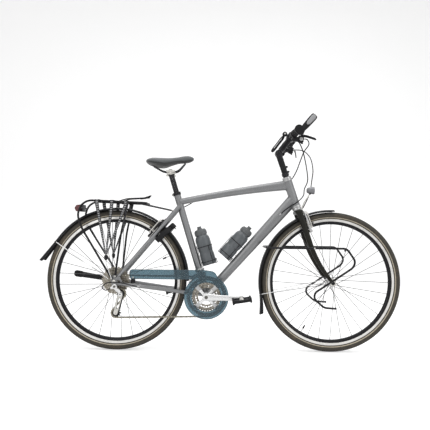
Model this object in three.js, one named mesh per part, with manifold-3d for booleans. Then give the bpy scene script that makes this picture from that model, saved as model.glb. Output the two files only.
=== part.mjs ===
// Touring bicycle with rear rack, low-rider carrier, mudguards, chain guard and two bottles.
// Units are millimetres. X runs forward, Y to the rider's left, Z up. The sizes below are measured from
// the rear axle in X, from the middle plane in Y and from the ground in Z. At the end the whole bicycle is
// moved along X, so that the origin lies on the ground below the middle of its length.

import * as THREE from 'three';
import { mergeVertices } from 'three/addons/utils/BufferGeometryUtils.js';
import Module from 'manifold-3d';

const wasm = await Module();
wasm.setup();

// Main layout
const wheelRadius = 349;
const wheelbase = 1070;
const bracketRun = 450;
const bracketDrop = 72;
const seatAngle = 73;
const headAngle = 71;
const forkRake = 44;
const rearDropoutSpan = 135;
const frontDropoutSpan = 100;

// Clearances
const gap = 0.3;
const runGap = 0.5;
const overrun = 5;

// Faceting
const wheelFacets = 28;
const tubeSides = 8;
const rodSides = 6;
const lathes = 10;
const cableSides = 5;

// Tyres and rims
const tyreWidth = 38;
const tyreHeight = 33;
const rimRadius = wheelRadius - tyreHeight;
const rimWidth = 24;
const rimWall = 1.8;
const brakeTrack = 12;
const rimDepth = 27;
const rimChannel = 9;
const rimBedWidth = 10;

// Hubs and spokes
const spokeCount = 32;
const spokeThickness = 1.5;
const spokeCrossings = 3;
const spokeStagger = 3.6;
const spokeLean = 2.4;
const frontFlange = { radius: 19, offset: 34, thickness: 3.2, barrel: 14 };
const rearFlange = { radius: 24, leftOffset: 34, rightOffset: 19, thickness: 3.4, barrel: 18 };
const axleRadius = 5;
const axleBore = 5.3;
const hubEndGap = 5;
const freewheelSpace = 2;
const axleNut = { radius: 9, length: 8, locknut: 8.5, stub: 2 };
const release = { barrel: 8, half: 8, length: 58, width: 12, thickness: 3, washer: 2, frontAngle: 214 };

// Main tubes of the frame
const seatTubeLength = 536;
const seatTubeRadius = 17;
const seatPostRadius = 13.6;
const headTubeLength = 148;
const headTubeRadius = 22;
const steererRadius = 14.3;
const headClearance = 60;
const axleToHeadTube = wheelRadius + headClearance;
const cupHeight = 9;
const cupRadius = 24;
const cupInset = 4;
const bracketShell = { radius: 21, width: 73 };
const topTube = { seatDrop: 50, headDrop: 30, arch: 7, seatDepth: 32, headDepth: 50, width: 34 };
const downTube = { headRise: 44, lowDepth: 42, headDepth: 58, width: 44, headWidth: 38 };
const seatStay = { topDrop: 70, topRadius: 11, lowRadius: 7.5, topHalfGap: 23 };
const chainStay = { frontRadius: 10, rearRadius: 8, frontHalfGap: 22, drop: 4 };
const dropout = {
  thickness: 7, height: 46, width: 34, slot: 10.4, hanger: 30, hangerWidth: 18, hangerEye: 7, slotLean: 22,
};
const stayBridgeGap = 47;
const stayBridgeRise = wheelRadius + stayBridgeGap;
const stayBridgeRadius = 6;
const chainBridge = { back: 52, half: 34, radius: 6 };
const standArm = { inset: 5, forward: 8, drop: 14, radius: 9, bossInset: 4 };
const forkRoomSize = { depth: 60, margin: 8 };
const brakeBossDrop = 38;
const brakeBossRise = rimRadius - brakeBossDrop;
const brakeBoss = { radius: 5, length: 23, span: 80, seat: 2 };
const brakeArmSize = {
  length: 104, hub: 9, ring: 12, rearOff: 11, frontOff: 19, shoe: 9, shoeGap: 1.8, shoeLength: 60,
  shoeDrop: 0.5, post: 4, postOut: 10,
};

// Seat
const seatClamp = { radius: 20.5, height: 15, lug: 9, screw: 3 };
const seatPostRise = 98;
const seatPostTop = seatTubeLength + seatPostRise;
const seatPostInsert = 150;
const seatPostRoom = 80;
const postHead = { radius: 15, width: 42, neck: 12, bolt: 5, boltOver: 5 };
const saddleSize = {
  behindPost: 125.64, abovePost: 73.7, length: 248, width: 172, thickness: 42, noseDepth: 26,
};
const rails = {
  radius: 3.5, halfGap: 22, drop: 24, frontReach: 34, rearReach: 36, tailInset: 34, tailRise: 8, noseRise: 4,
};
const railBend = 20;
const railSocket = { deeper: 3, play: 0.4 };

// Steering head and bars
const stemRiser = {
  radius: 16, foot: 14, top: 137, spacer: 22, spacerHeight: 11, knuckle: 17, knuckleWidth: 34, pin: 5,
  slotMargin: 4,
};
const cableGuides = { lowRise: 34, highRise: 60, out: 1, half: 7, radius: 6 };
const stemArm = { length: 99, angle: 53, width: 30, depth: 31, clampRadius: 21, clampWidth: 46 };
const bar = {
  radius: 12.7, gripRadius: 11.1, halfLength: 296, back: 9, drop: 20, centreRadius: 15, shoulder: 6, lap: 8,
};
const grip = {
  radius: 16.5, innerRadius: 15.5, length: 118, over: 3, ring: 19, ringLength: 12, ringInset: 2, ringOver: 5,
};
const barEnd = { length: 113, angle: 47, width: 31, thickness: 22 };
const controls = { inset: 28, bandInner: 12, bandOuter: 14, bandWall: 6, room: 40 };
const controlsInner = bar.halfLength - grip.length - controls.inset;
const controlBlock = { length: 30, width: 16, height: 12, topHeight: 5, ahead: 24, drop: 24, topDrop: 1 };
const gearPod = { width: 34.8, depth: 20.4, height: 40, ahead: 8, inward: 20, drop: 26 };
const trigger = { ahead: 10, drop: 30, tipAhead: 38, tipOut: 6, tipDrop: 48, radius: 4, tipRadius: 3 };
const brakeLever = {
  ahead: 36, out: 12, drop: 12, hub: 9, hubRoom: 11, half: 4, thickness: 4, tipThickness: 3, height: 6,
  tipHeight: 4,
};
const brakeLeverCurve = [
  { ahead: 0, out: 0, drop: 0 }, { ahead: 22, out: 14, drop: 2 }, { ahead: 32, out: 40, drop: 5 },
  { ahead: 34, out: 74, drop: 9 }, { ahead: 36, out: 98, drop: 12 },
];
const stemLever = {
  length: 112, width: 18, thickness: 14, pinBack: 2, pinRise: 13, earHalf: 9.5, ear: 3, pin: 3, pinOver: 2,
  eye: 8,
};

// Fork
const crownGap = 13;
const bladeDrop = 14;
const fork = {
  crownTop: axleToHeadTube - crownGap, crownHeight: 25, crownWidth: 118, crownDepth: 42, bladeSpan: 92,
  steererLap: 6, raceLap: 2, raceInset: 1,
};
const bladeTop = fork.crownTop - bladeDrop;
const blade = { topDepth: 31, topWidth: 24, lowDepth: 17, lowWidth: 13, straightTo: 215 };
const forkEnd = { thickness: 7, width: 30, height: 34 };
const frontBossHeight = rimRadius - brakeBossDrop;

// Mudguards
const guardGap = 13;
const guard = {
  radius: wheelRadius + guardGap, width: 52, edge: 11, wall: 2, stay: 2, stayDrop: 14, tab: 4, tabGap: 1,
};
const frontGuard = { fromAngle: 88, toAngle: 205, flare: 30, stayAngle: 190, footAngle: 168, footRadius: 26 };
const rearGuard = { fromAngle: 0, toAngle: 166, flare: 38, stayAngle: 148, footAngle: 160, footRadius: 30 };

// Drive train
const chainPitch = 12.7;
const chain = { width: 6, plateHeight: 8.6, grooveWidth: 2.6, toothReach: 1.9 };
const chainline = 54.8;
const ringTeeth = [48, 36, 26];
const ringPitch = 7.2;
const ringThickness = 1.9;
const sprocketTeeth = [11, 12, 14, 16, 18, 21, 24, 28, 34];
const sprocketPitch = 4.34;
const sprocketInUse = 2;
const pulleyTeeth = 11;
const chainringSet = {
  opening: 58, boltRadius: 40, smallRim: 11, post: 5, postOver: 2, postEnd: 1, tab: 4, tabFrom: 38, tabTo: 74,
  tabInset: 0.5,
};
const crank = {
  length: 170, angle: -1.4, hub: 19, end: 14, inner: 72, thickness: 14, spindle: 9, leftInset: 2, flare: 3,
  bossInset: 4, eyeInset: 2,
};
const crankCap = { radius: 7.5, depth: 3 };
const spider = { inset: 6, radius: 40, side: 10, thick: 7, thin: 5 };
const pedal = {
  length: 92, width: 84, thickness: 25, standOff: 6, axle: 5, axleInset: 4, axleLap: 3, endInset: 4,
  tiltAngle: 9, rail: 9,
};
const cassetteBody = { radius: 17, bore: 9, rightOver: 2.5, leftOver: 2 };
const guidePulleyDrop = 61;
const tensionPulleyDrop = 156;
const guidePulley = { x: 32, z: wheelRadius - guidePulleyDrop };
const tensionPulley = { x: 8, z: wheelRadius - tensionPulleyDrop };
const pulleySize = { hub: 6, pin: 2.5, play: 1, room: 9 };
const cagePlate = { thickness: 2, half: 5.6, guideRadius: 15, tensionRadius: 13, pinOver: 3 };

// Derailleurs
const frontMech = {
  height: 132, band: 14, bandRadius: 21, rodRadius: 4, rodReach: 49, rodStart: 10, rodForward: 2, sleeve: 18,
  sleeveWall: 4,
};
const frontCageSize = {
  half: 4, wall: 1.6, upper: 26, middle: 15, lower: 5, pin: 2.5, pinHalf: 5, pinUpper: 22, pinLower: 10,
};
const frontCageNeck = { side: 7, lowSide: 5.5, forward: 2, drop: 16, radius: 6 };
const rearMech = {
  inner: 75.5, outer: 96, knuckle: 12, pin: 4, housing: 11, housingLength: 18, cagePin: 4, pinLap: 5,
  boreLap: 4, thickness: 7, narrow: 9, wide: 13, slant: 2,
};

// Chain guard
const chainGuard = {
  radius: 109, opening: 70, wall: 2, depth: 7.5, armTop: 131, armBottom: 84, armRear: 75, out: 68.5,
  round: 16, crest: 7, crestRun: 4, corner: 5, heel: 6,
};
const guardStrut = { x: 92, length: 22, height: 26, rise: 77 };

// Carriers
const rackTube = 5;
const rackRise = 394;
const rackSlope = 10;
const rack = {
  half: 65, rear: -130, rearZ: wheelRadius + rackRise, front: 134, frontZ: wheelRadius + rackRise - rackSlope,
  footHalf: 82, crossRadius: 4, clipX: 18, nose: 16,
};
const rackBend = { outer: 24, leg: 30 };
const rackFoot = { x: -10, rise: 15 };
const rackHeel = { x: -161, rise: 258, out: 3 };
const rackTail = { x: -184, rise: 323 };
const rackTailTop = { x: -165, rise: 373 };
const rackLeg = { x: 63, kneeX: 31, kneeRise: 230, kneeOut: 5, footX: 8, footRise: 26 };
const rackBars = { rear: -110, front: 112, lamp: -172 };
const rackStay = { x: 104, inset: 2, reach: 445, back: 13, out: 1, radius: 3.5 };
const strapBall = { x: -38, y: 81, rise: 117, radius: 9 };
const strap = {
  width: 18, lowWidth: 5, thickness: 2, lowRise: 4, spread: 1.6, spreadTop: 1, drop: 22, corner: 6, inset: 3,
};
const strapSpots = { rear: -87, middle: -15, front: 52 };
const strapHook = {
  radius: 2.2, top: 4, x: -30, out: 7, drop: 60, bendX: -14, bendRise: 24, tipX: -10, tipRise: 14, side: 8,
};
const clipEye = { inner: 24, outer: 34, radius: 8.5 };
const clipWire = { radius: 2.8, y: 29, rise: 7, bend: 12 };
const clipWireRun = [{ x: 52, y: 27, rise: 406 }, { x: 120, y: 20, rise: 410 }, { x: 150, y: 14, rise: 412 }];
const clipTip = { x: 162, rise: 413 };
const lowRiderTube = 5;
const lowRider = {
  half: 105, railRise: 172, hoopGap: 10.5, bend: 16, strut: 4, upperBack: 103, upperHeight: 196.2,
  lowerAhead: 9, lowerRise: 31, lowerEndRise: 18,
};
const lowRiderRun = [
  { ahead: 52, rise: 172 }, { ahead: 94, rise: 112 }, { ahead: 84, rise: 81 }, { ahead: -22, rise: 10 },
  { ahead: -99, rise: -41 }, { ahead: -102, rise: -70 }, { ahead: -55, rise: -113 }, { ahead: 0, rise: -116 },
];

// Bottles and cages
const bottle = {
  radius: 36.5, height: 150, neck: 27, cap: 31, capHeight: 22, nozzle: 11, nozzleHeight: 14, collar: 8,
  heelInset: 3, heel: 4, shoulder: 10, lidEdge: 4, lidInset: 6,
};
const cageWire = 3.4;
const cageSize = {
  spine: 104, spineWidth: 16, upright: 96, lowRing: 14, highRing: 90, floorWidth: 12, lip: 24,
};
const seatBottle = { start: 146, off: 59 };
const downBottle = { start: 205, off: 67 };

// Lock, kickstand and lamps
const lockDrop = 22;
const ringLock = {
  centre: wheelRadius - lockDrop, outer: 59, inner: 39, height: 26, belowStayAngle: 5.48, openingAngle: 74,
  channel: 10.4, bolt: 8, crown: 15, arc: 48.8, lug: 21.1, lugRadius: 4, lugOut: 5,
};
const lockCap = { inset: 10, shoulder: 4, wide: 30, base: 24, narrow: 20 };
const lockBolt = {
  fromAngle: 42, toAngle: 232, travelAngle: 80, tabAngle: 150, tabHalfAngle: 3, slotAngle: 7, tabReach: 68,
  tabWidth: 6,
};
const kickstandDrop = 27;
const kickstand = {
  x: 62, z: wheelRadius - kickstandDrop, half: 82, length: 312, riseAngle: 9, foot: 34, leg: 8, legTip: 7,
  shoe: 10, splay: 4, outY: 99.5, hub: 11,
};
const headlamp = { rise: 70.9, forward: 94.8, radius: 19, length: 40 };
const lampStrip = { radius: 3, space: 3.3, rise: 26, reach: 22, back: 2, lap: 4 };
const tailLampRise = 357;
const tailLamp = { x: -176.4, z: wheelRadius + tailLampRise, width: 70, height: 34, depth: 32 };

// Cables
const housingRadius = 2.6;
// Beside a control: ahead of it, inward and below.
const frontBrakeBow = [
  { ahead: 39.5, inward: 3, drop: 24.3 },
  { ahead: 82.5, inward: 11, drop: 26.8 },
  { ahead: 108.5, inward: 26, drop: 43.8 },
  { ahead: 127.5, inward: 52, drop: 79.8 },
];
const frontBrakeDrop = [
  { rise: 158.5, forward: 155.9, y: 70 },
  { rise: 113.5, forward: 133, y: 54 },
  { rise: 45.9, forward: 95.9, y: 50 },
  { rise: -2.7, forward: 52.8, y: 54 },
  { rise: -22.1, forward: 29.2, y: 44 },
  { rise: -23.3, forward: 25.4, y: 24 },
];
const rearBrakeBow = [
  { ahead: 39.5, inward: 3, drop: 24.3 },
  { ahead: 60.5, inward: 7, drop: 25.4 },
  { ahead: 72.5, inward: 23, drop: 45.8 },
  { ahead: 55.5, inward: 57, drop: 75.8 },
];
const rearBrakeDrop = [
  { rise: 208.3, forward: 78.9, y: -57 },
  { rise: 169.6, forward: 52.9, y: -17 },
  { rise: 142.1, forward: 25.4, y: 20 },
  { rise: 131, forward: -7, y: 28 },
  { rise: 131.1, forward: -50.3, y: 24 },
];
const rearBrakeTubeShares = [0.824, 0.642, 0.459, 0.314, 0.186];
const rearBrakeEnd = [
  { reach: 512.7, back: -21.2, y: 44 },
  { reach: 444.3, back: 7.4, y: 52 },
  { reach: 396.6, back: 14.4, y: 46 },
  { reach: 385.6, back: 17.2, y: 24 },
];
const gearBow = [
  { ahead: 8.5, inward: 23.2, drop: 26 },
  { ahead: 28.5, inward: 30, drop: 37.8 },
  { ahead: 47.5, inward: 46, drop: 69.8 },
];
const gearDrop = [
  { rise: 202.7, forward: 98.1, y: -80 },
  { rise: 143, forward: 93.4, y: -58 },
  { rise: 103.9, forward: 84.2, y: -46 },
  { rise: 74.1, forward: 60.1, y: -38 },
  { rise: 45.1, forward: 45.9, y: -33 },
  { rise: 25.5, forward: 13.8, y: -29 },
  { rise: 16.1, forward: -23.3, y: -25.5 },
  { rise: 6, forward: -58.5, y: -23.8 },
  { rise: -9.8, forward: -95.6, y: -23 },
];
const derailleurLoop = [
  { x: 124, out: 0.1, drop: 24.3 },
  { x: 92, out: 4.3, drop: 19 },
  { x: 40, out: 26.7, drop: 4 },
  { x: -20, out: 31.7, drop: 3 },
  { x: -50, out: 27.7, drop: 24 },
  { x: -34, out: 19.7, drop: 41 },
  { x: -4.4, out: 14.7, drop: 29 },
];

// Finishes
const finish = (color, roughness, metalness) => new THREE.MeshStandardMaterial(
  { color, roughness, metalness },
);
const frameGrey = finish(0x8c8f91, 0.38, 0.55);
const blackPaint = finish(0x16171a, 0.35, 0.3);
const blackPlastic = finish(0x1d1e20, 0.6, 0);
const silver = finish(0xc3c6c8, 0.3, 0.9);
const steelGrey = finish(0x8f8d88, 0.35, 0.9);
const rubberBlack = finish(0x24241f, 0.85, 0);
const saddleGrey = finish(0x35383b, 0.75, 0);
const guardSmoke = finish(0x4f6d7c, 0.25, 0);
guardSmoke.transparent = true;
guardSmoke.opacity = 0.6;
const bottleSmoke = finish(0x50565c, 0.3, 0);
const lampRed = finish(0x5a1014, 0.3, 0);
const strapBlack = finish(0x26272b, 0.8, 0);

const bicycle = new THREE.Group();
const degrees = Math.PI / 180;
const point = (x, y, z) => new THREE.Vector3(x, y, z);
const flat = (x, y) => new THREE.Vector2(x, y);
const right = -1;
const left = 1;
const sides = [['right', right], ['left', left]];

// Closed solids and their booleans

// Turns the faces outward, whatever way round the points were given.
function faceOutward(geometry) {
  const places = geometry.attributes.position;
  const index = geometry.index.array;
  let volume = 0;
  for (let i = 0; i < index.length; i += 3) {
    const [a, b, c] = [index[i], index[i + 1], index[i + 2]].map(
      (k) => new THREE.Vector3().fromBufferAttribute(places, k),
    );
    volume += a.dot(b.cross(c));
  }
  if (volume < 0) {
    for (let i = 0; i < index.length; i += 3) [index[i], index[i + 1]] = [index[i + 1], index[i]];
  }
  return geometry;
}

function solid(geometry) {
  geometry.deleteAttribute('normal');
  geometry.deleteAttribute('uv');
  const whole = faceOutward(mergeVertices(geometry, 1e-4));
  const mesh = new wasm.Mesh({
    numProp: 3,
    vertProperties: new Float32Array(whole.attributes.position.array),
    triVerts: new Uint32Array(whole.index.array),
  });
  return new wasm.Manifold(mesh);
}

const join = (...pieces) => pieces.flat().reduce((whole, piece) => whole.add(piece));
const cut = (body, ...tools) => tools.flat().reduce((whole, tool) => whole.subtract(tool), body);

function geometryOf(body) {
  const mesh = body.getMesh();
  const geometry = new THREE.BufferGeometry();
  geometry.setAttribute('position', new THREE.BufferAttribute(new Float32Array(mesh.vertProperties), 3));
  geometry.setIndex(new THREE.BufferAttribute(new Uint32Array(mesh.triVerts), 1));
  geometry.computeVertexNormals();
  return geometry;
}

function place(name, body, material, group = bicycle) {
  const mesh = new THREE.Mesh(geometryOf(body), material);
  mesh.name = name;
  group.add(mesh);
  return mesh;
}

const moved = (body, x, y, z) => body.translate([x, y, z]);

// A matrix that carries the Z axis onto the line from one point to another.
function alongLine(from, to) {
  const forward = to.clone().sub(from).normalize();
  const up = Math.abs(forward.y) > 0.9 ? point(1, 0, 0) : point(0, 1, 0);
  const side = new THREE.Vector3().crossVectors(up, forward).normalize();
  const top = new THREE.Vector3().crossVectors(forward, side);
  return new THREE.Matrix4().makeBasis(side, top, forward).setPosition(from);
}

// Profiles: revolved, extruded, swept and lofted forms

// Revolves points of radius and height about the Y axis.
function revolveY(profile, facets = lathes) {
  return new THREE.LatheGeometry(profile.map(([r, y]) => flat(r, y)), facets);
}

// Revolves points of radius and height, then stands the axis on the line from one point to another.
function revolveAlong(profile, from, to, facets = lathes) {
  const geometry = new THREE.LatheGeometry(profile.map(([r, y]) => flat(r, y)), facets);
  geometry.rotateX(Math.PI / 2);
  return solid(geometry.applyMatrix4(alongLine(from, to)));
}

function rod(from, to, radius, facets = tubeSides, endRadius = radius) {
  const length = from.distanceTo(to);
  return revolveAlong([[0, 0], [radius, 0], [endRadius, length], [0, length]], from, to, facets);
}

// A round hole that leaves a faceted shaft of the given radius its clearance.
const bore = (from, to, radius, facets = lathes) => rod(
  from, to, (radius + gap) / Math.cos(Math.PI / facets), facets,
);

// A round bar across the bicycle, between two places on Y.
const crossRod = (x, z, fromY, toY, radius, facets = tubeSides) => rod(
  point(x, fromY, z), point(x, toY, z), radius, facets,
);

const crossBore = (x, z, fromY, toY, radius, facets = lathes) => bore(
  point(x, fromY, z), point(x, toY, z), radius, facets,
);

function box(width, depth, height, x, y, z) {
  const geometry = new THREE.BoxGeometry(width, depth, height);
  return solid(geometry.translate(x, y, z));
}

// Extrudes an outline drawn in X and Z from one place on Y to another.
function plateXZ(outline, fromY, toY, openings = []) {
  const shape = new THREE.Shape(outline.map(([x, z]) => flat(x, z)));
  for (const opening of openings) shape.holes.push(new THREE.Path(opening.map(([x, z]) => flat(x, z))));
  const geometry = new THREE.ExtrudeGeometry(shape, { depth: Math.abs(toY - fromY), bevelEnabled: false });
  geometry.rotateX(Math.PI / 2);
  return solid(geometry.translate(0, Math.max(fromY, toY), 0));
}

function circle(radius, count, x = 0, z = 0, start = 0) {
  return Array.from({ length: count }, (_, i) => {
    const angle = start + (i / count) * 2 * Math.PI;
    return [x + radius * Math.cos(angle), z + radius * Math.sin(angle)];
  });
}

function arc(radius, fromDegrees, toDegrees, steps, x = 0, z = 0) {
  return Array.from({ length: steps + 1 }, (_, i) => {
    const angle = (fromDegrees + ((toDegrees - fromDegrees) * i) / steps) * degrees;
    return [x + radius * Math.cos(angle), z + radius * Math.sin(angle)];
  });
}

// A route of straight runs with rounded corners. Its sections lie at the listed points only.
class BentRoute extends THREE.Curve {
  constructor(points) {
    super();
    this.points = points;
  }

  getUtoTmapping(u) {
    return u;
  }

  getPoint(t, target = new THREE.Vector3()) {
    const at = Math.min(Math.max(t, 0), 1) * (this.points.length - 1);
    const i = Math.min(Math.floor(at + 1e-9), this.points.length - 2);
    return target.copy(this.points[i]).lerp(this.points[i + 1], at - i);
  }

  getTangent(t, target = new THREE.Vector3()) {
    const last = this.points.length - 1;
    const i = Math.round(Math.min(Math.max(t, 0), 1) * last);
    const before = this.points[Math.max(i, 1)].clone().sub(this.points[Math.max(i, 1) - 1]).normalize();
    const after = this.points[Math.min(i, last - 1) + 1].clone().sub(
      this.points[Math.min(i, last - 1)],
    ).normalize();
    return target.copy(before.add(after).normalize());
  }
}

// Rounds the inner corners of a polyline with a few points on a curve of the given reach.
function rounded(corners, reach, steps = 3) {
  const points = [corners[0]];
  for (let i = 1; i < corners.length - 1; i += 1) {
    const [before, corner, after] = [corners[i - 1], corners[i], corners[i + 1]];
    const near = Math.min(reach, 0.49 * corner.distanceTo(before), 0.49 * corner.distanceTo(after));
    const start = corner.clone().lerp(before, near / corner.distanceTo(before));
    const end = corner.clone().lerp(after, near / corner.distanceTo(after));
    const bend = new THREE.QuadraticBezierCurve3(start, corner, end);
    points.push(...bend.getPoints(steps));
  }
  points.push(corners[corners.length - 1]);
  return points;
}

// A round tube along a list of points.
function tube(points, radius, facets = rodSides) {
  const shape = new THREE.Shape(circle(radius, facets).map(([x, y]) => flat(x, y)));
  const route = new BentRoute(points);
  const geometry = new THREE.ExtrudeGeometry(
    shape, { steps: points.length - 1, extrudePath: route, bevelEnabled: false },
  );
  return solid(geometry);
}

// A smooth round cable through a few points, with a section every few diameters.
function cable(points, radius, steps) {
  const curve = new THREE.CatmullRomCurve3(points, false, 'centripetal');
  return tube(curve.getSpacedPoints(steps), radius, cableSides);
}

// Skins a row of sections, each a list of points in space with the same count, and closes both ends.
function loft(sections, outline) {
  const count = sections[0].length;
  const places = sections.flat().flatMap((p) => [p.x, p.y, p.z]);
  const index = [];
  for (let s = 0; s < sections.length - 1; s += 1) {
    for (let i = 0; i < count; i += 1) {
      const [a, b] = [s * count + i, s * count + ((i + 1) % count)];
      index.push(a, b, a + count, b, b + count, a + count);
    }
  }
  const last = (sections.length - 1) * count;
  for (const [a, b, c] of THREE.ShapeUtils.triangulateShape(outline, [])) {
    index.push(a, c, b);
    index.push(last + a, last + b, last + c);
  }
  const geometry = new THREE.BufferGeometry();
  geometry.setAttribute('position', new THREE.Float32BufferAttribute(places, 3));
  geometry.setIndex(index);
  return solid(geometry);
}

// Skins sections that follow one another around a closed loop.
function loopLoft(sections) {
  const count = sections[0].length;
  const index = [];
  sections.forEach((_, s) => {
    const next = (s + 1) % sections.length;
    for (let i = 0; i < count; i += 1) {
      const j = (i + 1) % count;
      const [a, b, c, d] = [s * count + i, s * count + j, next * count + i, next * count + j];
      index.push(a, b, c, b, d, c);
    }
  });
  const geometry = new THREE.BufferGeometry();
  geometry.setAttribute(
    'position', new THREE.Float32BufferAttribute(sections.flat().flatMap((p) => [p.x, p.y, p.z]), 3),
  );
  geometry.setIndex(index);
  return solid(geometry);
}

// A loft of ellipses along the line through the given stations.
function ellipseLoft(stations, facets = tubeSides) {
  const outline = circle(1, facets).map(([x, y]) => flat(x, y));
  const sections = stations.map(({ at, along, depth, width }) => {
    const forward = along.clone().normalize();
    const across = point(0, 1, 0);
    const depthWay = new THREE.Vector3().crossVectors(across, forward).normalize();
    return outline.map(
      (p) => at.clone().addScaledVector(depthWay, (p.x * depth) / 2).addScaledVector(
        across, (p.y * width) / 2,
      ),
    );
  });
  return loft(sections, outline);
}

// Reference points and directions of the frame
const rearAxle = point(0, 0, wheelRadius);
const frontAxle = point(wheelbase, 0, wheelRadius);
const bracket = point(bracketRun, 0, wheelRadius - bracketDrop);
const seatUp = point(-Math.cos(seatAngle * degrees), 0, Math.sin(seatAngle * degrees));
const headUp = point(-Math.cos(headAngle * degrees), 0, Math.sin(headAngle * degrees));
const headForward = point(Math.sin(headAngle * degrees), 0, Math.cos(headAngle * degrees));
const steeringFoot = frontAxle.clone().addScaledVector(headForward, -forkRake);

const onSeatLine = (height, forward = 0, y = 0) =>
  bracket.clone().addScaledVector(seatUp, height).add(point(forward * seatUp.z, y, -forward * seatUp.x));
const onHeadLine = (height, forward = 0, y = 0) =>
  steeringFoot.clone().addScaledVector(headUp, height).addScaledVector(headForward, forward).add(
    point(0, y, 0),
  );
const headTubeTop = axleToHeadTube + headTubeLength;

// Point on the arched middle line of the top tube, and how far it lies to the side.
const topFrom = onSeatLine(seatTubeLength - topTube.seatDrop);
const topTo = onHeadLine(headTubeTop - topTube.headDrop);
const onTopTube = (share, y) =>
  topFrom.clone().lerp(topTo, share).add(point(0, y, topTube.arch * 4 * share * (1 - share)));

// Point on a seat stay at a distance from the rear axle, and the way rearward of the stays.
const stayTop = onSeatLine(seatTubeLength - seatStay.topDrop);
const stayReach = Math.hypot(stayTop.x, stayTop.z - wheelRadius);
const stayUp = point(stayTop.x / stayReach, 0, (stayTop.z - wheelRadius) / stayReach);
const stayBack = point(-stayUp.z, 0, stayUp.x);
const lockAngle = Math.atan2(stayUp.z, stayUp.x) / degrees - ringLock.belowStayAngle;
const dropoutMiddle = rearDropoutSpan / 2 + dropout.thickness / 2 + gap;
const stayHalf = (reach) => dropoutMiddle + ((seatStay.topHalfGap - dropoutMiddle) * reach) / stayReach;
const onStay = (reach, back, y) =>
  point(stayUp.x * reach + stayBack.x * back, y, wheelRadius + stayUp.z * reach + stayBack.z * back);

const hangerBolt = { x: dropout.hangerWidth * 0.4, z: wheelRadius - dropout.hanger + dropout.hangerEye };

const releaseCamY = (span, thickness) => span / 2 + thickness + 2 * gap + release.washer + release.barrel;

// Wheels

function tyre() {
  const half = tyreWidth / 2;
  const seat = rimRadius - rimChannel + gap;
  const lip = rimWidth / 2 - rimWall - gap;
  const bulge = wheelRadius - tyreWidth / 2;
  const profile = [
    [seat, lip], [rimRadius + gap, lip], [bulge, half], [bulge + half * 0.65, half * 0.78],
    [wheelRadius, half * 0.3],
  ];
  const whole = [...profile, ...profile.slice().reverse().map(([r, y]) => [r, -y])];
  whole.push(whole[0]);
  return solid(revolveY(whole, wheelFacets));
}

function rim() {
  const half = rimWidth / 2;
  const inner = half - rimWall;
  const outerHalf = [
    [rimRadius, half], [rimRadius - brakeTrack, half], [rimRadius - rimDepth, rimBedWidth / 2],
  ];
  const outer = [...outerHalf, ...outerHalf.slice().reverse().map(([r, y]) => [r, -y])];
  const channel = [
    [rimRadius, -inner], [rimRadius - rimChannel, -inner], [rimRadius - rimChannel, inner],
    [rimRadius, inner],
  ];
  const whole = [...outer, ...channel, outer[0]];
  return solid(revolveY(whole, wheelFacets));
}

// Spokes leave each flange as tangents, cross their neighbours and end at the rim bed, evenly spaced.
function spokes(flanges, startAngle) {
  const perFlange = spokeCount / 2;
  const step = (2 * Math.PI) / perFlange;
  const lean = spokeCrossings * step;
  const rimEnd = (rimRadius - rimDepth) * Math.cos(Math.PI / wheelFacets) - gap - spokeThickness / 4;
  const pieces = [];
  for (const [flangeIndex, flange] of flanges.entries()) {
    for (let i = 0; i < perFlange; i += 1) {
      const pull = i % 2 === 0 ? 1 : -1;
      const rimAngle = startAngle + (i + flangeIndex / 2) * step;
      const hubAngle = rimAngle + pull * lean;
      const hubHole = flange.radius - spokeStagger;
      const hubY = flange.offset + pull * spokeLean;
      const from = point(hubHole * Math.cos(hubAngle), hubY, hubHole * Math.sin(hubAngle));
      const to = point(
        rimEnd * Math.cos(rimAngle), Math.sign(flange.offset) * gap, rimEnd * Math.sin(rimAngle),
      );
      pieces.push(rod(from, to, spokeThickness * 0.75, 3));
    }
  }
  return pieces;
}

function hub(span, flanges, barrelRadius, startAngle, rightEnd) {
  const end = span / 2 - hubEndGap;
  const profile = [[axleBore, -rightEnd], [barrelRadius * 0.7, -rightEnd]];
  for (const flange of flanges.slice().sort((a, b) => a.offset - b.offset)) {
    const half = flange.thickness / 2;
    profile.push([barrelRadius, flange.offset - half * 2], [flange.radius, flange.offset - half]);
    profile.push([flange.radius, flange.offset + half], [barrelRadius, flange.offset + half * 2]);
  }
  profile.push([barrelRadius * 0.7, end], [axleBore, end], profile[0]);
  const shell = solid(revolveY(profile, lathes));
  return join(shell, ...spokes(flanges, startAngle));
}

// A fixed axle: threaded body between the fork ends or dropouts, and a nut outside on the right.
function axle(span, thickness) {
  const reach = span / 2 + thickness + gap;
  const { radius: nut, length: nutLength, locknut, stub } = axleNut;
  const face = span / 2 - gap;
  const profile = [
    [0, -reach - nutLength], [nut * 0.6, -reach - nutLength], [nut, -reach - nutLength * 0.6], [nut, -reach],
    [axleRadius - gap, -reach], [axleRadius - gap, -face], [locknut, -face],
    [locknut, -face + hubEndGap - runGap],
    [axleRadius, -face + hubEndGap - runGap], [axleRadius, face - hubEndGap + runGap],
    [locknut, face - hubEndGap + runGap], [locknut, face], [axleRadius - gap, face],
    [axleRadius - gap, reach + stub],
    [0, reach + stub],
  ];
  return solid(revolveY(profile, 8));
}

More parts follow.
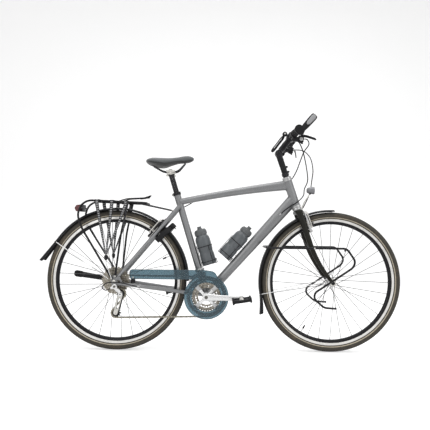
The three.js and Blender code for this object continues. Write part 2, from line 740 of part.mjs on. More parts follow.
// A quick-release lever on the left: a round cam barrel across the axle's end and the lever along the stay.
function releaseLever(span, thickness, direction) {
  const { barrel, half, length, width, thickness: thick } = release;
  const camY = releaseCamY(span, thickness);
  const across = point(-direction.z, 0, direction.x);
  const centre = point(0, camY, 0);
  const cam = rod(
    centre.clone().addScaledVector(across, -half), centre.clone().addScaledVector(across, half), barrel, 10,
  );
  const tip = point(direction.x * length, camY + barrel * 0.6, direction.z * length);
  const outline = circle(1, 6).map(([x, y]) => flat(x, y));
  const stationShares = [[0, 0.9, 1], [0.45, 0.75, 0.8], [0.85, 1, 0.93], [1, 0.5, 0.53]];
  const sections = stationShares.map(([share, widthShare, thickShare]) => {
    const at = centre.clone().lerp(tip, share);
    return outline.map((p) => at.clone().addScaledVector(across, (p.x * width * widthShare) / 2)
      .add(point(0, p.y * thick * thickShare, 0)));
  });
  return join(cam, loft(sections, outline));
}

function addWheel(prefix, centre, flanges, barrel, span, startAngle, rightEnd) {
  const parts = [
    ['tyre', tyre(), rubberBlack],
    ['rim', rim(), steelGrey],
    ['hub', hub(span, flanges, barrel, startAngle, rightEnd), silver],
  ];
  for (const [name, body, material] of parts) {
    place(`${prefix}_${name}`, body, material).position.copy(centre);
  }
}

const frontFlanges = [
  { ...frontFlange, offset: -frontFlange.offset },
  { ...frontFlange },
];
const rearFlanges = [
  { ...rearFlange, offset: -rearFlange.rightOffset },
  { ...rearFlange, offset: rearFlange.leftOffset },
];
const spokeStep = (2 * Math.PI) / spokeCount;
const lockSpokeAngle = lockAngle * degrees + spokeStep / 2;
const freewheelGap = rearFlange.rightOffset + rearFlange.thickness + freewheelSpace;
addWheel('rear', rearAxle, rearFlanges, rearFlange.barrel, rearDropoutSpan, lockSpokeAngle, freewheelGap);
addWheel(
  'front', frontAxle, frontFlanges, frontFlange.barrel, frontDropoutSpan, 0, frontDropoutSpan / 2 - hubEndGap,
);

place('rear_axle', axle(rearDropoutSpan, dropout.thickness), steelGrey).position.copy(rearAxle);
place('front_axle', axle(frontDropoutSpan, forkEnd.thickness), blackPlastic).position.copy(frontAxle);
place('rear_release_lever', releaseLever(rearDropoutSpan, dropout.thickness, stayUp), silver).position.copy(
  rearAxle,
);
const frontLeverWay = point(
  Math.cos(release.frontAngle * degrees), 0, Math.sin(release.frontAngle * degrees),
);
const frontLever = releaseLever(frontDropoutSpan, forkEnd.thickness, frontLeverWay);
place('front_release_lever', frontLever, silver).position.copy(frontAxle);

// Frame

function mainTriangle() {
  const seatTube = rod(onSeatLine(0), onSeatLine(seatTubeLength), seatTubeRadius, 8);
  const headTube = rod(onHeadLine(axleToHeadTube), onHeadLine(headTubeTop), headTubeRadius, 10);
  const lowCup = rod(onHeadLine(axleToHeadTube), onHeadLine(axleToHeadTube + cupHeight), cupRadius, 10);
  const topCup = rod(onHeadLine(headTubeTop - cupHeight), onHeadLine(headTubeTop), cupRadius, 10);
  const topShares = [0, 0.25, 0.5, 0.75, 1];
  const topStations = topShares.map((share) => ({
    at: onTopTube(share, 0),
    along: topTo.clone().sub(topFrom),
    depth: THREE.MathUtils.lerp(topTube.seatDepth, topTube.headDepth, share * share),
    width: topTube.width,
  }));
  const downFrom = bracket.clone();
  const downTo = onHeadLine(axleToHeadTube + downTube.headRise);
  const downShares = [0, 0.5, 1];
  const downStations = downShares.map((share) => ({
    at: downFrom.clone().lerp(downTo, share),
    along: downTo.clone().sub(downFrom),
    depth: THREE.MathUtils.lerp(downTube.lowDepth, downTube.headDepth, share),
    width: THREE.MathUtils.lerp(downTube.width, downTube.headWidth, share),
  }));
  const shell = crossRod(
    bracket.x, bracket.z, -bracketShell.width / 2, bracketShell.width / 2, bracketShell.radius, 10,
  );
  return join(
    seatTube, headTube, lowCup, topCup, ellipseLoft(topStations, 8), ellipseLoft(downStations, 8), shell,
  );
}

// One side of the rear triangle: both stays, the dropout with its slot, and the brake boss.
function rearSide(side) {
  const y = side * dropoutMiddle;
  const stay = rod(
    onStay(dropout.height * 0.72, 0, y), onStay(stayReach, 0, side * seatStay.topHalfGap), seatStay.lowRadius,
    8, seatStay.topRadius,
  );
  const low = point(dropout.width * 0.7, y, wheelRadius - dropout.height * 0.24);
  const front = point(bracket.x, side * chainStay.frontHalfGap, bracket.z + chainStay.drop);
  const chainTube = rod(low, front, chainStay.rearRadius, 8, chainStay.frontRadius);
  const top = dropout.height;
  const wide = dropout.width;
  const hang = side === right ? dropout.hanger : dropout.height * 0.36;
  const outline = [
    [-wide * 0.5, top * 0.2], [-wide * 0.36, top * 0.62], [stayUp.x * top * 0.8, stayUp.z * top],
    [wide * 0.95, top * 0.3],
    [wide * 1.3, -top * 0.16], [wide * 0.9, -top * 0.46], [wide * 0.5, -top * 0.4],
    [dropout.hangerWidth * 0.9, -hang],
    [-dropout.hangerWidth * 0.1, -hang * 1.07], [-wide * 0.34, -top * 0.3],
  ];
  const plate = moved(
    plateXZ(outline, y - dropout.thickness / 2, y + dropout.thickness / 2), 0, 0, wheelRadius,
  );
  const boss = rod(
    onStay(brakeBossRise, -brakeBoss.seat, side * (brakeBoss.span / 2)),
    onStay(brakeBossRise, brakeBoss.length, side * (brakeBoss.span / 2)), brakeBoss.radius, 8,
  );
  return join(stay, chainTube, plate, boss);
}

// The collar that pinches the seat tube's slot, with its bolt behind.
function seatClampRing() {
  const low = onSeatLine(seatTubeLength - seatClamp.height);
  const ring = rod(low, onSeatLine(seatTubeLength), seatClamp.radius, 10);
  const bolt = rod(
    onSeatLine(seatTubeLength - seatClamp.height / 2, -seatTubeRadius - seatClamp.screw, -seatClamp.lug),
    onSeatLine(seatTubeLength - seatClamp.height / 2, -seatTubeRadius - seatClamp.screw, seatClamp.lug),
    seatClamp.lug * 0.6, 8,
  );
  return join(ring, bolt);
}

// Band of the front derailleur and the rod on which its cage slides.
function derailleurMount() {
  const { height, band, bandRadius, rodRadius, rodStart, rodReach, rodForward } = frontMech;
  const ring = rod(onSeatLine(height - band / 2), onSeatLine(height + band / 2), bandRadius, 10);
  const axis = onSeatLine(height, rodForward);
  return join(ring, crossRod(axis.x, axis.z, -rodStart, -rodReach, rodRadius, 8));
}

function frame() {
  const bridge = rod(
    onStay(stayBridgeRise, 0, stayHalf(stayBridgeRise)), onStay(stayBridgeRise, 0, -stayHalf(stayBridgeRise)),
    stayBridgeRadius, 8,
  );
  const chainBridgeX = bracket.x - chainBridge.back;
  const chainBridgeZ = THREE.MathUtils.lerp(wheelRadius, bracket.z, chainBridgeX / bracket.x);
  const lowBridge = crossRod(
    chainBridgeX, chainBridgeZ, -chainBridge.half, chainBridge.half, chainBridge.radius, 8,
  );
  const standBoss = crossRod(
    kickstand.x, kickstand.z, dropoutMiddle - standArm.bossInset, kickstand.half - gap, kickstand.hub, 10,
  );
  const standRoot = rod(
    point(kickstand.x, dropoutMiddle, kickstand.z),
    point(kickstand.x + standArm.forward, dropoutMiddle - standArm.inset, wheelRadius - standArm.drop),
    standArm.radius, 8,
  );
  const hangerPin = crossRod(hangerBolt.x, hangerBolt.z, -dropoutMiddle, -rearMech.outer, rearMech.pin, 8);
  const pieces = [seatClampRing(), derailleurMount(), standBoss, standRoot, hangerPin];
  const body = join(mainTriangle(), ...sides.map(([, side]) => rearSide(side)), bridge, lowBridge, ...pieces);
  const steererBore = bore(
    onHeadLine(axleToHeadTube - overrun), onHeadLine(headTubeTop + overrun), steererRadius, 10,
  );
  const forkRoom = rod(
    onHeadLine(axleToHeadTube - forkRoomSize.depth), onHeadLine(axleToHeadTube),
    cupRadius + forkRoomSize.margin, 8,
  );
  const postBore = bore(
    onSeatLine(seatTubeLength - seatPostInsert - seatPostRoom), onSeatLine(seatTubeLength + overrun),
    seatPostRadius, 10,
  );
  const spindleBore = crossBore(
    bracket.x, bracket.z, -bracketShell.width, bracketShell.width, crank.spindle, 10,
  );
  const axleSlots = sides.map(([, side]) => {
    const y = side * dropoutMiddle;
    const half = dropout.slot / 2;
    const slot = [...arc(half, 0, 180, 6), [-half, -dropout.height], [half, -dropout.height]];
    return moved(
      plateXZ(slot, y - dropout.thickness, y + dropout.thickness).rotate([0, -dropout.slotLean, 0]), 0, 0,
      wheelRadius,
    );
  });
  return cut(body, steererBore, forkRoom, postBore, spindleBore, ...axleSlots);
}
place('frame', frame(), frameGrey);

// Seat post and saddle

const postHeadAt = onSeatLine(seatPostTop);
const saddleTop = postHeadAt.z + saddleSize.abovePost;
const saddleRear = postHeadAt.x - saddleSize.behindPost;
const railLow = saddleTop - saddleSize.thickness - rails.drop;

// The rails dip from the shell under the nose to the clamp and rise again to the rear.
function rail(side, radius, deeper) {
  const y = side * rails.halfGap;
  const front = saddleRear + saddleSize.length * 0.8 + deeper;
  const tail = saddleRear + rails.tailInset - deeper;
  const points = [
    point(front, y * 0.3, saddleTop - saddleSize.noseDepth + rails.noseRise + deeper),
    point(postHeadAt.x + rails.frontReach, y, railLow),
    point(postHeadAt.x - rails.rearReach, y, railLow),
    point(tail, y * 1.5, saddleTop - saddleSize.thickness + rails.tailRise + deeper),
  ];
  return tube(rounded(points, railBend, 2), radius, 6);
}

function seatPost() {
  const head = postHeadAt;
  const half = postHead.width / 2;
  const post = rod(onSeatLine(seatTubeLength - seatPostInsert), head, seatPostRadius, 10);
  const cradle = crossRod(head.x, railLow, -half, half, postHead.radius, 10);
  const neck = rod(onSeatLine(seatPostTop - postHead.neck), point(head.x, 0, railLow), seatPostRadius, 10);
  const bolt = crossRod(
    head.x, railLow, -half - postHead.boltOver, half + postHead.boltOver, postHead.bolt, 8,
  );
  return join(post, cradle, neck, bolt, ...[left, right].map((side) => rail(side, rails.radius, 0)));
}
place('seat_post', seatPost(), blackPaint);

// The saddle is lofted from rear to nose: wide and crowned behind, drawn in at the waist, round at the nose.
function saddle() {
  const outline = [];
  const count = 16;
  for (let i = 0; i < count; i += 1) {
    const angle = (i / count) * 2 * Math.PI;
    const [c, s] = [Math.cos(angle), Math.sin(angle)];
    const flatten = s < 0 ? 0.55 : 1;
    outline.push(flat(Math.sign(c) * Math.abs(c) ** 0.7, s * flatten));
  }
  const stationShares = [
    { along: 0, width: 0.42, rise: -0.42, depth: 0.3 }, { along: 0.05, width: 0.8, rise: -0.16, depth: 0.72 },
    { along: 0.16, width: 1, rise: -0.02, depth: 1 }, { along: 0.33, width: 0.92, rise: -0.01, depth: 1.02 },
    { along: 0.48, width: 0.6, rise: 0.03, depth: 0.9 }, { along: 0.64, width: 0.34, rise: 0.12, depth: 0.7 },
    { along: 0.82, width: 0.27, rise: 0.32, depth: 0.62 },
    { along: 0.94, width: 0.23, rise: 0.36, depth: 0.52 },
    { along: 1, width: 0.1, rise: 0.16, depth: 0.2 },
  ];
  const half = saddleSize.thickness / 2;
  const sections = stationShares.map(({ along, width, rise, depth }) => {
    const top = saddleTop + rise * half;
    const middle = top - depth * half;
    return outline.map((p) => point(
      saddleRear + along * saddleSize.length,
      (p.x * width * saddleSize.width) / 2,
      middle + p.y * depth * half,
    ));
  });
  const body = loft(sections, outline);
  const socket = rails.radius + gap + railSocket.play;
  const bores = [left, right].map((side) => rail(side, socket, railSocket.deeper));
  return cut(body, ...bores);
}
place('saddle', saddle(), saddleGrey);

// Fork, headset and steering head

const forkEndY = frontDropoutSpan / 2 + forkEnd.thickness / 2 + gap;
const bladeShare = (height) => 1 - height / bladeTop;
const bladeY = (height) => THREE.MathUtils.lerp(fork.bladeSpan / 2, forkEndY, bladeShare(height));
const bladeWidth = (height) => THREE.MathUtils.lerp(blade.topWidth, blade.lowWidth, bladeShare(height));

function forkBlade(side) {
  const bendShares = [1, 0.51, 0.19, 0.047];
  const heights = [bladeTop, ...bendShares.map((share) => share * blade.straightTo)];
  const stations = heights.map((height, i) => {
    const bend = Math.max(0, 1 - height / blade.straightTo);
    const forward = forkRake * bend ** 1.9;
    const next = heights[i + 1] ?? 0;
    const nextForward = forkRake * Math.max(0, 1 - next / blade.straightTo) ** 1.9;
    return {
      at: onHeadLine(height, forward, side * bladeY(height)),
      along: onHeadLine(next, nextForward).sub(onHeadLine(height, forward)),
      depth: THREE.MathUtils.lerp(blade.topDepth, blade.lowDepth, bladeShare(height)),
      width: bladeWidth(height),
    };
  });
  return ellipseLoft(stations, 8);
}

function forkSide(side) {
  const y = side * forkEndY;
  const [half, tall] = [forkEnd.width / 2, forkEnd.height / 2];
  const outline = [
    [-half, tall * 0.5], [-half * 0.5, tall * 1.4], [half * 0.7, tall * 1.2], [half, 0],
    [half * 0.8, -tall * 0.8], [-half * 0.8, -tall * 0.8],
  ];
  const plate = moved(
    plateXZ(outline, y - forkEnd.thickness / 2, y + forkEnd.thickness / 2), wheelbase, 0, wheelRadius,
  );
  const slotHalf = dropout.slot / 2;
  const slotOutline = [
    ...arc(slotHalf, 0, 180, 6), [-slotHalf, -forkEnd.height], [slotHalf, -forkEnd.height],
  ];
  const slot = moved(
    plateXZ(slotOutline, y - forkEnd.thickness, y + forkEnd.thickness), wheelbase, 0, wheelRadius,
  );
  const bossY = side * (brakeBoss.span / 2);
  const bossAt = frontBossHeight;
  const boss = rod(
    onHeadLine(bossAt, 0, bossY), onHeadLine(bossAt, brakeArmSize.frontOff + brakeArmSize.ring, bossY),
    brakeBoss.radius, 8,
  );
  return { body: join(forkBlade(side), plate, boss), slot };
}

function forkBody() {
  const low = fork.crownTop - fork.crownHeight;
  const steerer = rod(
    onHeadLine(low + fork.steererLap), onHeadLine(headTubeTop + stemRiser.spacerHeight), steererRadius, 10,
  );
  const race = rod(
    onHeadLine(fork.crownTop - fork.raceLap), onHeadLine(axleToHeadTube - gap), cupRadius - fork.raceInset,
    10,
  );
  const crownAt = onHeadLine(fork.crownTop - fork.crownHeight / 2);
  const crownHalf = fork.crownWidth / 2;
  const stationShares = [
    [-1, 0.62, 0.5], [-0.75, 0.9, 0.85], [-0.35, 1, 1], [0.35, 1, 1], [0.75, 0.9, 0.85], [1, 0.62, 0.5],
  ];
  const outline = circle(1, 8).map(([x, y]) => flat(x, y));
  const sections = stationShares.map(([share, depthShare, heightShare]) => outline.map((p) => crownAt.clone()
    .addScaledVector(headForward, (p.x * fork.crownDepth * depthShare) / 2)
    .addScaledVector(headUp, (p.y * fork.crownHeight * heightShare) / 2)
    .add(point(0, share * crownHalf, 0))));
  const crown = loft(sections, outline);
  const halves = [left, right].map(forkSide);
  return cut(join(crown, steerer, race, ...halves.map((h) => h.body)), ...halves.map((h) => h.slot));
}
place('fork', forkBody(), blackPaint);

// The riser sits on the head tube behind a silver spacer, and ends in the tilting joint's knuckle.
const stemPivot = onHeadLine(headTubeTop + stemRiser.top, 0);
function stemRiserBody() {
  const base = headTubeTop + gap;
  const spacer = rod(onHeadLine(base), onHeadLine(base + stemRiser.spacerHeight), stemRiser.spacer, 10);
  const column = rod(onHeadLine(base), stemPivot, stemRiser.foot, 10, stemRiser.radius);
  const knuckle = crossRod(
    stemPivot.x, stemPivot.z, -stemRiser.knuckleWidth / 4, stemRiser.knuckleWidth / 4, stemRiser.knuckle, 10,
  );
  const guides = [cableGuides.lowRise, cableGuides.highRise].map((rise) => {
    const at = onHeadLine(headTubeTop + rise, stemRiser.radius + cableGuides.out);
    return crossRod(at.x, at.z, -cableGuides.half, cableGuides.half, cableGuides.radius, 6);
  });
  const steererBore = bore(
    onHeadLine(headTubeTop - overrun), onHeadLine(base + stemRiser.spacerHeight), steererRadius, 10,
  );
  const pin = crossBore(
    stemPivot.x, stemPivot.z, -stemRiser.knuckleWidth, stemRiser.knuckleWidth, stemRiser.pin, 8,
  );
  const earRooms = [left, right].map((side) => crossRod(
    stemPivot.x, stemPivot.z, (side * stemRiser.knuckleWidth) / 4, side * stemRiser.knuckleWidth,
    stemRiser.knuckle + 2 * runGap, 10,
  ));
  return cut(join(spacer, column, knuckle, ...guides), steererBore, pin, ...earRooms);
}
place('stem_riser', stemRiserBody(), blackPaint);

const armAngle = stemArm.angle * degrees;
const armAlong = point(Math.cos(armAngle), 0, Math.sin(armAngle));
const armAcross = point(-Math.sin(armAngle), 0, Math.cos(armAngle));
const barCentre = stemPivot.clone().addScaledVector(armAlong, stemArm.length);
const onArm = (along, across, y = 0) =>
  stemPivot.clone().addScaledVector(armAlong, along).addScaledVector(armAcross, across).add(point(0, y, 0));

const leverPin = onArm(stemArm.length - stemLever.pinBack, stemArm.clampRadius + stemLever.pinRise);

// The arm forks around the knuckle, and its front end closes on the bar with a cap.
function stemArmBody() {
  const ears = crossRod(
    stemPivot.x, stemPivot.z, -stemRiser.knuckleWidth / 2, stemRiser.knuckleWidth / 2, stemRiser.knuckle, 10,
  );
  const stations = [0, 0.5, 1].map((share) => ({
    at: onArm(stemArm.length * share, 0),
    along: armAlong,
    depth: THREE.MathUtils.lerp(stemArm.depth, stemArm.depth * 0.9, share),
    width: THREE.MathUtils.lerp(stemRiser.knuckleWidth, stemArm.width, share),
  }));
  const arm = ellipseLoft(stations, 8);
  const clamp = crossRod(
    barCentre.x, barCentre.z, -stemArm.clampWidth / 2, stemArm.clampWidth / 2, stemArm.clampRadius, 10,
  );
  const { earHalf, ear, pin: pinRadius, pinOver } = stemLever;
  const leverEars = [left, right].map((side) => rod(
    onArm(stemArm.length, stemArm.clampRadius - ear, side * earHalf),
    leverPin.clone().add(point(0, side * earHalf, 0)), ear, 6,
  ));
  const leverPivot = crossRod(leverPin.x, leverPin.z, -earHalf - pinOver, earHalf + pinOver, pinRadius, 8);
  const knuckleSlot = crossRod(
    stemPivot.x, stemPivot.z, -stemRiser.knuckleWidth / 4 - runGap, stemRiser.knuckleWidth / 4 + runGap,
    stemRiser.knuckle + stemRiser.slotMargin, 10,
  );
  const pin = crossRod(
    stemPivot.x, stemPivot.z, -stemRiser.knuckleWidth / 2, stemRiser.knuckleWidth / 2, stemRiser.pin, 8,
  );
  const barBore = crossBore(
    barCentre.x, barCentre.z, -stemArm.clampWidth, stemArm.clampWidth, bar.centreRadius, 10,
  );
  return cut(join(cut(join(ears, arm), knuckleSlot), clamp, pin, ...leverEars, leverPivot), barBore);
}

// The closing lever lies along the top of the arm. Its eye turns between two small ears by the bar.
function stemLeverBody() {
  const eyeHalf = stemLever.earHalf - stemLever.ear - runGap;
  const eye = crossRod(leverPin.x, leverPin.z, -eyeHalf, eyeHalf, stemLever.eye, 10);
  const half = stemLever.width / 2;
  const outline = circle(1, 8).map(([x, y]) => flat(x, y));
  const shares = [[0.05, 0.5, 0.6], [0.2, 1, 1], [0.8, 1, 1], [0.96, 0.8, 0.8], [1, 0.4, 0.4]];
  const sections = shares.map(([share, widthShare, depthShare]) => outline.map((p) => leverPin.clone()
    .addScaledVector(armAlong, -share * stemLever.length)
    .addScaledVector(armAcross, (p.y * stemLever.thickness * depthShare) / 2)
    .add(point(0, p.x * half * widthShare, 0))));
  const pinBore = crossBore(leverPin.x, leverPin.z, -stemLever.width, stemLever.width, stemLever.pin, 8);
  return cut(join(eye, loft(sections, outline)), pinBore);
}
place('stem_arm', stemArmBody(), blackPaint);
place('stem_lever', stemLeverBody(), blackPlastic);

// Handlebar: thick at the clamp, thinner at the grips, with the ends swept back and down.
const barEndPoint = (side) => barCentre.clone().add(point(-bar.back, side * bar.halfLength, -bar.drop));
const alongBar = (side, y) => barCentre.clone().lerp(barEndPoint(side), y / bar.halfLength);
function handlebar() {
  const half = stemArm.clampWidth / 2 + bar.shoulder;
  const middle = crossRod(barCentre.x, barCentre.z, -half, half, bar.centreRadius, 12);
  const arms = [left, right].map(
    (side) => rod(alongBar(side, half - bar.lap), barEndPoint(side), bar.radius, 12, bar.gripRadius),
  );
  return join(middle, ...arms);
}
place('handlebar', handlebar(), blackPaint);

// A grip with its outer ring, and the flat ergonomic bar end that rises from it.
function gripBody(side) {
  const start = bar.halfLength - grip.length;
  const body = rod(
    alongBar(side, start), alongBar(side, bar.halfLength + grip.over), grip.innerRadius, 10, grip.radius,
  );
  const ring = rod(
    alongBar(side, bar.halfLength - grip.ringLength + grip.ringInset),
    alongBar(side, bar.halfLength + grip.ringOver), grip.ring, 12,
  );
  const angle = barEnd.angle * degrees;
  const along = point(Math.cos(angle), 0, Math.sin(angle));
  const across = point(-Math.sin(angle), 0, Math.cos(angle));
  const root = alongBar(side, bar.halfLength - grip.ringLength / 2 + grip.ringInset);
  const outline = circle(1, 8).map(([x, y]) => flat(x, y));
  const shares = [[0, 0.7, 1], [0.25, 0.9, 1], [0.93, 0.98, 0.85], [1, 0.7, 0.6]];
  const sections = shares.map(([share, widthShare, depthShare]) => outline.map((p) => root.clone()
    .addScaledVector(along, share * barEnd.length)
    .addScaledVector(across, (p.x * barEnd.width * widthShare) / 2)
    .add(point(0, (p.y * barEnd.thickness * depthShare) / 2 - side * share * barEnd.thickness * 0.4, 0))));
  const barRoom = bore(
    alongBar(side, start - overrun), alongBar(side, bar.halfLength + gap), bar.radius - gap, 10,
  );
  return cut(join(body, ring, loft(sections, outline)), barRoom);
}
for (const [name, side] of sides) place(`grip_${name}`, gripBody(side), rubberBlack);

// Brake and shift controls: clamp band, lever bracket in front and gear pod below.
const controlAt = (side) => alongBar(side, controlsInner);
const leverPivot = (side) => controlAt(side).add(
  point(brakeLever.ahead, side * brakeLever.out, -brakeLever.drop),
);
function controlBody(side) {
  const { bandInner, bandOuter, bandWall, room } = controls;
  const at = controlAt(side);
  const band = rod(
    alongBar(side, controlsInner - bandInner), alongBar(side, controlsInner + bandOuter),
    bar.radius + bandWall, 10,
  );
  const { length, width, height, topHeight, ahead, drop, topDrop } = controlBlock;
  const lowBlock = box(length, width, height, at.x + ahead, at.y, at.z - drop);
  const topBlock = box(length, width, topHeight, at.x + ahead, at.y, at.z - topDrop);
  const podOutline = circle(1, 8).map(([x, y]) => flat(x, y));
  const podShares = [[0, 0.6], [0.2, 1], [0.8, 1], [1, 0.6]];
  const podSections = podShares.map(([share, sizeShare]) => podOutline.map((p) => point(
    at.x + gearPod.ahead + (p.x * gearPod.height * sizeShare) / 2,
    at.y + side * (share * gearPod.width - gearPod.inward),
    at.z - gearPod.drop + (p.y * gearPod.depth * sizeShare) / 2,
  )));
  const pod = loft(podSections, podOutline);
  const paddle = rod(
    point(at.x + trigger.ahead, at.y, at.z - trigger.drop),
    point(at.x + trigger.tipAhead, at.y + side * trigger.tipOut, at.z - trigger.tipDrop), trigger.radius, 6,
    trigger.tipRadius,
  );
  const barRoom = bore(
    alongBar(side, controlsInner - room), alongBar(side, controlsInner + room), bar.radius - gap, 10,
  );
  const pivot = leverPivot(side);
  const roomHalf = point(0, 0, brakeLever.half + gap);
  const leverRoom = rod(pivot.clone().sub(roomHalf), pivot.clone().add(roomHalf), brakeLever.hubRoom, 10);
  return cut(join(band, lowBlock, topBlock, pod, paddle), barRoom, leverRoom);
}

// A brake lever: hub on an upright pin, then the blade curving out along the grip.
function leverBody(side) {
  const pivot = leverPivot(side);
  const half = point(0, 0, brakeLever.half);
  const hubDisc = rod(pivot.clone().sub(half), pivot.clone().add(half), brakeLever.hub, 8);
  const places = brakeLeverCurve.map(
    ({ ahead, out, drop }) => pivot.clone().add(point(ahead, side * out, -drop)),
  );
  const path = new THREE.CatmullRomCurve3(places);
  const outline = circle(1, 6).map(([x, y]) => flat(x, y));
  const steps = 6;
  const sections = Array.from({ length: steps + 1 }, (_, i) => {
    const share = i / steps;
    const at = path.getPointAt(share);
    const tangent = path.getTangentAt(share);
    const out = point(tangent.y, -tangent.x, 0).normalize().multiplyScalar(side);
    const thick = THREE.MathUtils.lerp(brakeLever.thickness, brakeLever.tipThickness, share);
    const tall = i === steps ? brakeLever.tipHeight : brakeLever.height;
    return outline.map((p) => at.clone().addScaledVector(out, p.x * thick).add(point(0, 0, p.y * tall)));
  });
  return join(hubDisc, loft(sections, outline));
}
for (const [name, side] of sides) {
  place(`control_${name}`, controlBody(side), blackPlastic);
  place(`brake_lever_${name}`, leverBody(side), blackPaint);
}

// Rim brakes: each arm turns on its boss, carries a shoe beside the brake track and reaches up to the cable.

function brakeArm(side, at, base, offNear) {
  const bossY = side * (brakeBoss.span / 2);
  const mid = offNear + brakeArmSize.ring / 2;
  const pivotRing = rod(
    at(base, offNear + gap, bossY), at(base, offNear + brakeArmSize.ring, bossY), brakeArmSize.hub, 8,
  );
  const outline = circle(1, 6).map(([x, y]) => flat(x, y));
  const stationShares = [[0, 0, 1], [0.3, 0.06, 0.9], [0.85, -0.03, 0.7], [1, -0.12, 0.6]];
  const sections = stationShares.map(([rise, out, size]) => outline.map((p) => at(
    base + rise * brakeArmSize.length,
    mid + p.y * size * brakeArmSize.ring * 0.5,
    bossY + side * out * brakeArmSize.length + p.x * size * brakeArmSize.hub * 0.75,
  )));
  const trackMiddle = rimRadius - brakeTrack / 2;
  const shoeY = side * (rimWidth / 2 + brakeArmSize.shoeGap + brakeArmSize.shoe / 2);
  const shoeAt = (along) => at(trackMiddle - brakeArmSize.shoeDrop, mid + along, shoeY);
  const shoe = rod(
    shoeAt(-brakeArmSize.shoeLength / 2), shoeAt(brakeArmSize.shoeLength / 2), brakeArmSize.shoe / 2, 6,
  );
  const post = rod(
    at(trackMiddle, mid, shoeY), at(trackMiddle, mid, bossY + side * brakeArmSize.postOut), brakeArmSize.post,
    6,
  );
  const bossRoom = bore(
    at(base, -offNear, bossY), at(base, offNear + brakeArmSize.ring + overrun, bossY), brakeBoss.radius, 8,
  );
  return cut(join(pivotRing, loft(sections, outline), shoe, post), bossRoom);
}
for (const [name, side] of sides) {
  place(`rear_brake_${name}`, brakeArm(side, onStay, brakeBossRise, brakeArmSize.rearOff), silver);
  place(`front_brake_${name}`, brakeArm(side, onHeadLine, frontBossHeight, brakeArmSize.frontOff), silver);
}

// Mudguards: a rolled channel around the wheel, with a flared flap at its low end and wire stays.

// Section of the channel in radius and width, outside then inside.
function guardSection() {
  const half = guard.width / 2;
  const inner = half - guard.wall;
  const [edge, wall] = [guard.edge, guard.wall];
  const outside = [
    [-edge, -half], [-edge * 0.25, -half * 0.8], [0, 0], [-edge * 0.25, half * 0.8], [-edge, half],
  ];
  const inside = [
    [-edge, inner], [-edge * 0.25 - wall, inner * 0.8], [-wall, 0], [-edge * 0.25 - wall, -inner * 0.8],
    [-edge, -inner],
  ];
  return [...outside, ...inside].map(([r, y]) => flat(r, y));
}

function mudguard(centre, { fromAngle, toAngle, flare }) {
  const section = guardSection();
  const steps = 12;
  const flareFrom = 0.86;
  const sections = Array.from({ length: steps + 1 }, (_, i) => {
    const share = i / steps;
    const angle = THREE.MathUtils.lerp(fromAngle, toAngle, share) * degrees;
    const lift = share > flareFrom ? flare * ((share - flareFrom) / (1 - flareFrom)) ** 2 : 0;
    const flatten = share > flareFrom ? 1 - 0.5 * ((share - flareFrom) / (1 - flareFrom)) : 1;
    return section.map((p) => {
      const r = guard.radius + lift + p.x * flatten;
      return point(centre.x + r * Math.cos(angle), p.y, centre.z + r * Math.sin(angle));
    });
  });
  return loft(sections, section);
}

const onCircle = (centre, radius, angle, y) =>
  point(centre.x + radius * Math.cos(angle * degrees), y, centre.z + radius * Math.sin(angle * degrees));

// A wire stay from the guard's edge to the eyelet by the axle, on one side.
function guardStay(centre, { stayAngle, footAngle, footRadius }, side, span) {
  const half = guard.width / 2 + guard.stay * 0.6;
  const footY = span / 2 - guard.stay - gap;
  return tube([
    onCircle(centre, guard.radius, stayAngle, side * half),
    onCircle(centre, guard.radius - guard.stayDrop, stayAngle, side * half),
    onCircle(centre, footRadius, footAngle, side * footY),
  ], guard.stay, 6);
}

function frontMudguard() {
  const shell = mudguard(frontAxle, frontGuard);
  const stays = [left, right].map((side) => guardStay(frontAxle, frontGuard, side, frontDropoutSpan));
  const crownFoot = onHeadLine(fork.crownTop - fork.crownHeight);
  const way = crownFoot.clone().sub(frontAxle).normalize();
  const tab = rod(
    frontAxle.clone().addScaledVector(way, guard.radius - guard.wall * 1.5),
    crownFoot.clone().addScaledVector(way, -guard.tabGap), guard.tab, 8,
  );
  return join(shell, ...stays, tab);
}
place('front_mudguard', frontMudguard(), blackPlastic);

function rearMudguard() {
  const shell = mudguard(rearAxle, rearGuard);
  const stays = [left, right].map((side) => guardStay(rearAxle, rearGuard, side, rearDropoutSpan));
  const strut = rod(
    rearAxle.clone().addScaledVector(stayUp, guard.radius - guard.wall * 2),
    rearAxle.clone().addScaledVector(stayUp, stayBridgeRise - stayBridgeRadius - gap), guard.tab, 8,
  );
  return join(shell, ...stays, strut);
}
place('rear_mudguard', rearMudguard(), blackPlastic);

// Drive train

const pitchRadius = (teeth) => chainPitch / (2 * Math.sin(Math.PI / teeth));

// Outline of a toothed wheel: a tip and a root for each tooth, cut flat at the tip.
function toothed(teeth, start = 0) {
  const pitch = pitchRadius(teeth);
  const tip = pitch + chain.toothReach;
  const root = pitch - chain.plateHeight * 0.42;
  const step = (2 * Math.PI) / teeth;
  return Array.from({ length: teeth }, (_, i) => {
    const angle = start + i * step;
    return [
      [tip * Math.cos(angle - step * 0.1), tip * Math.sin(angle - step * 0.1)],
      [root * Math.cos(angle + step * 0.4), root * Math.sin(angle + step * 0.4)],
    ];
  }).flat();
}

const slotY = -chainline;
const crankAngle = crank.angle * degrees;

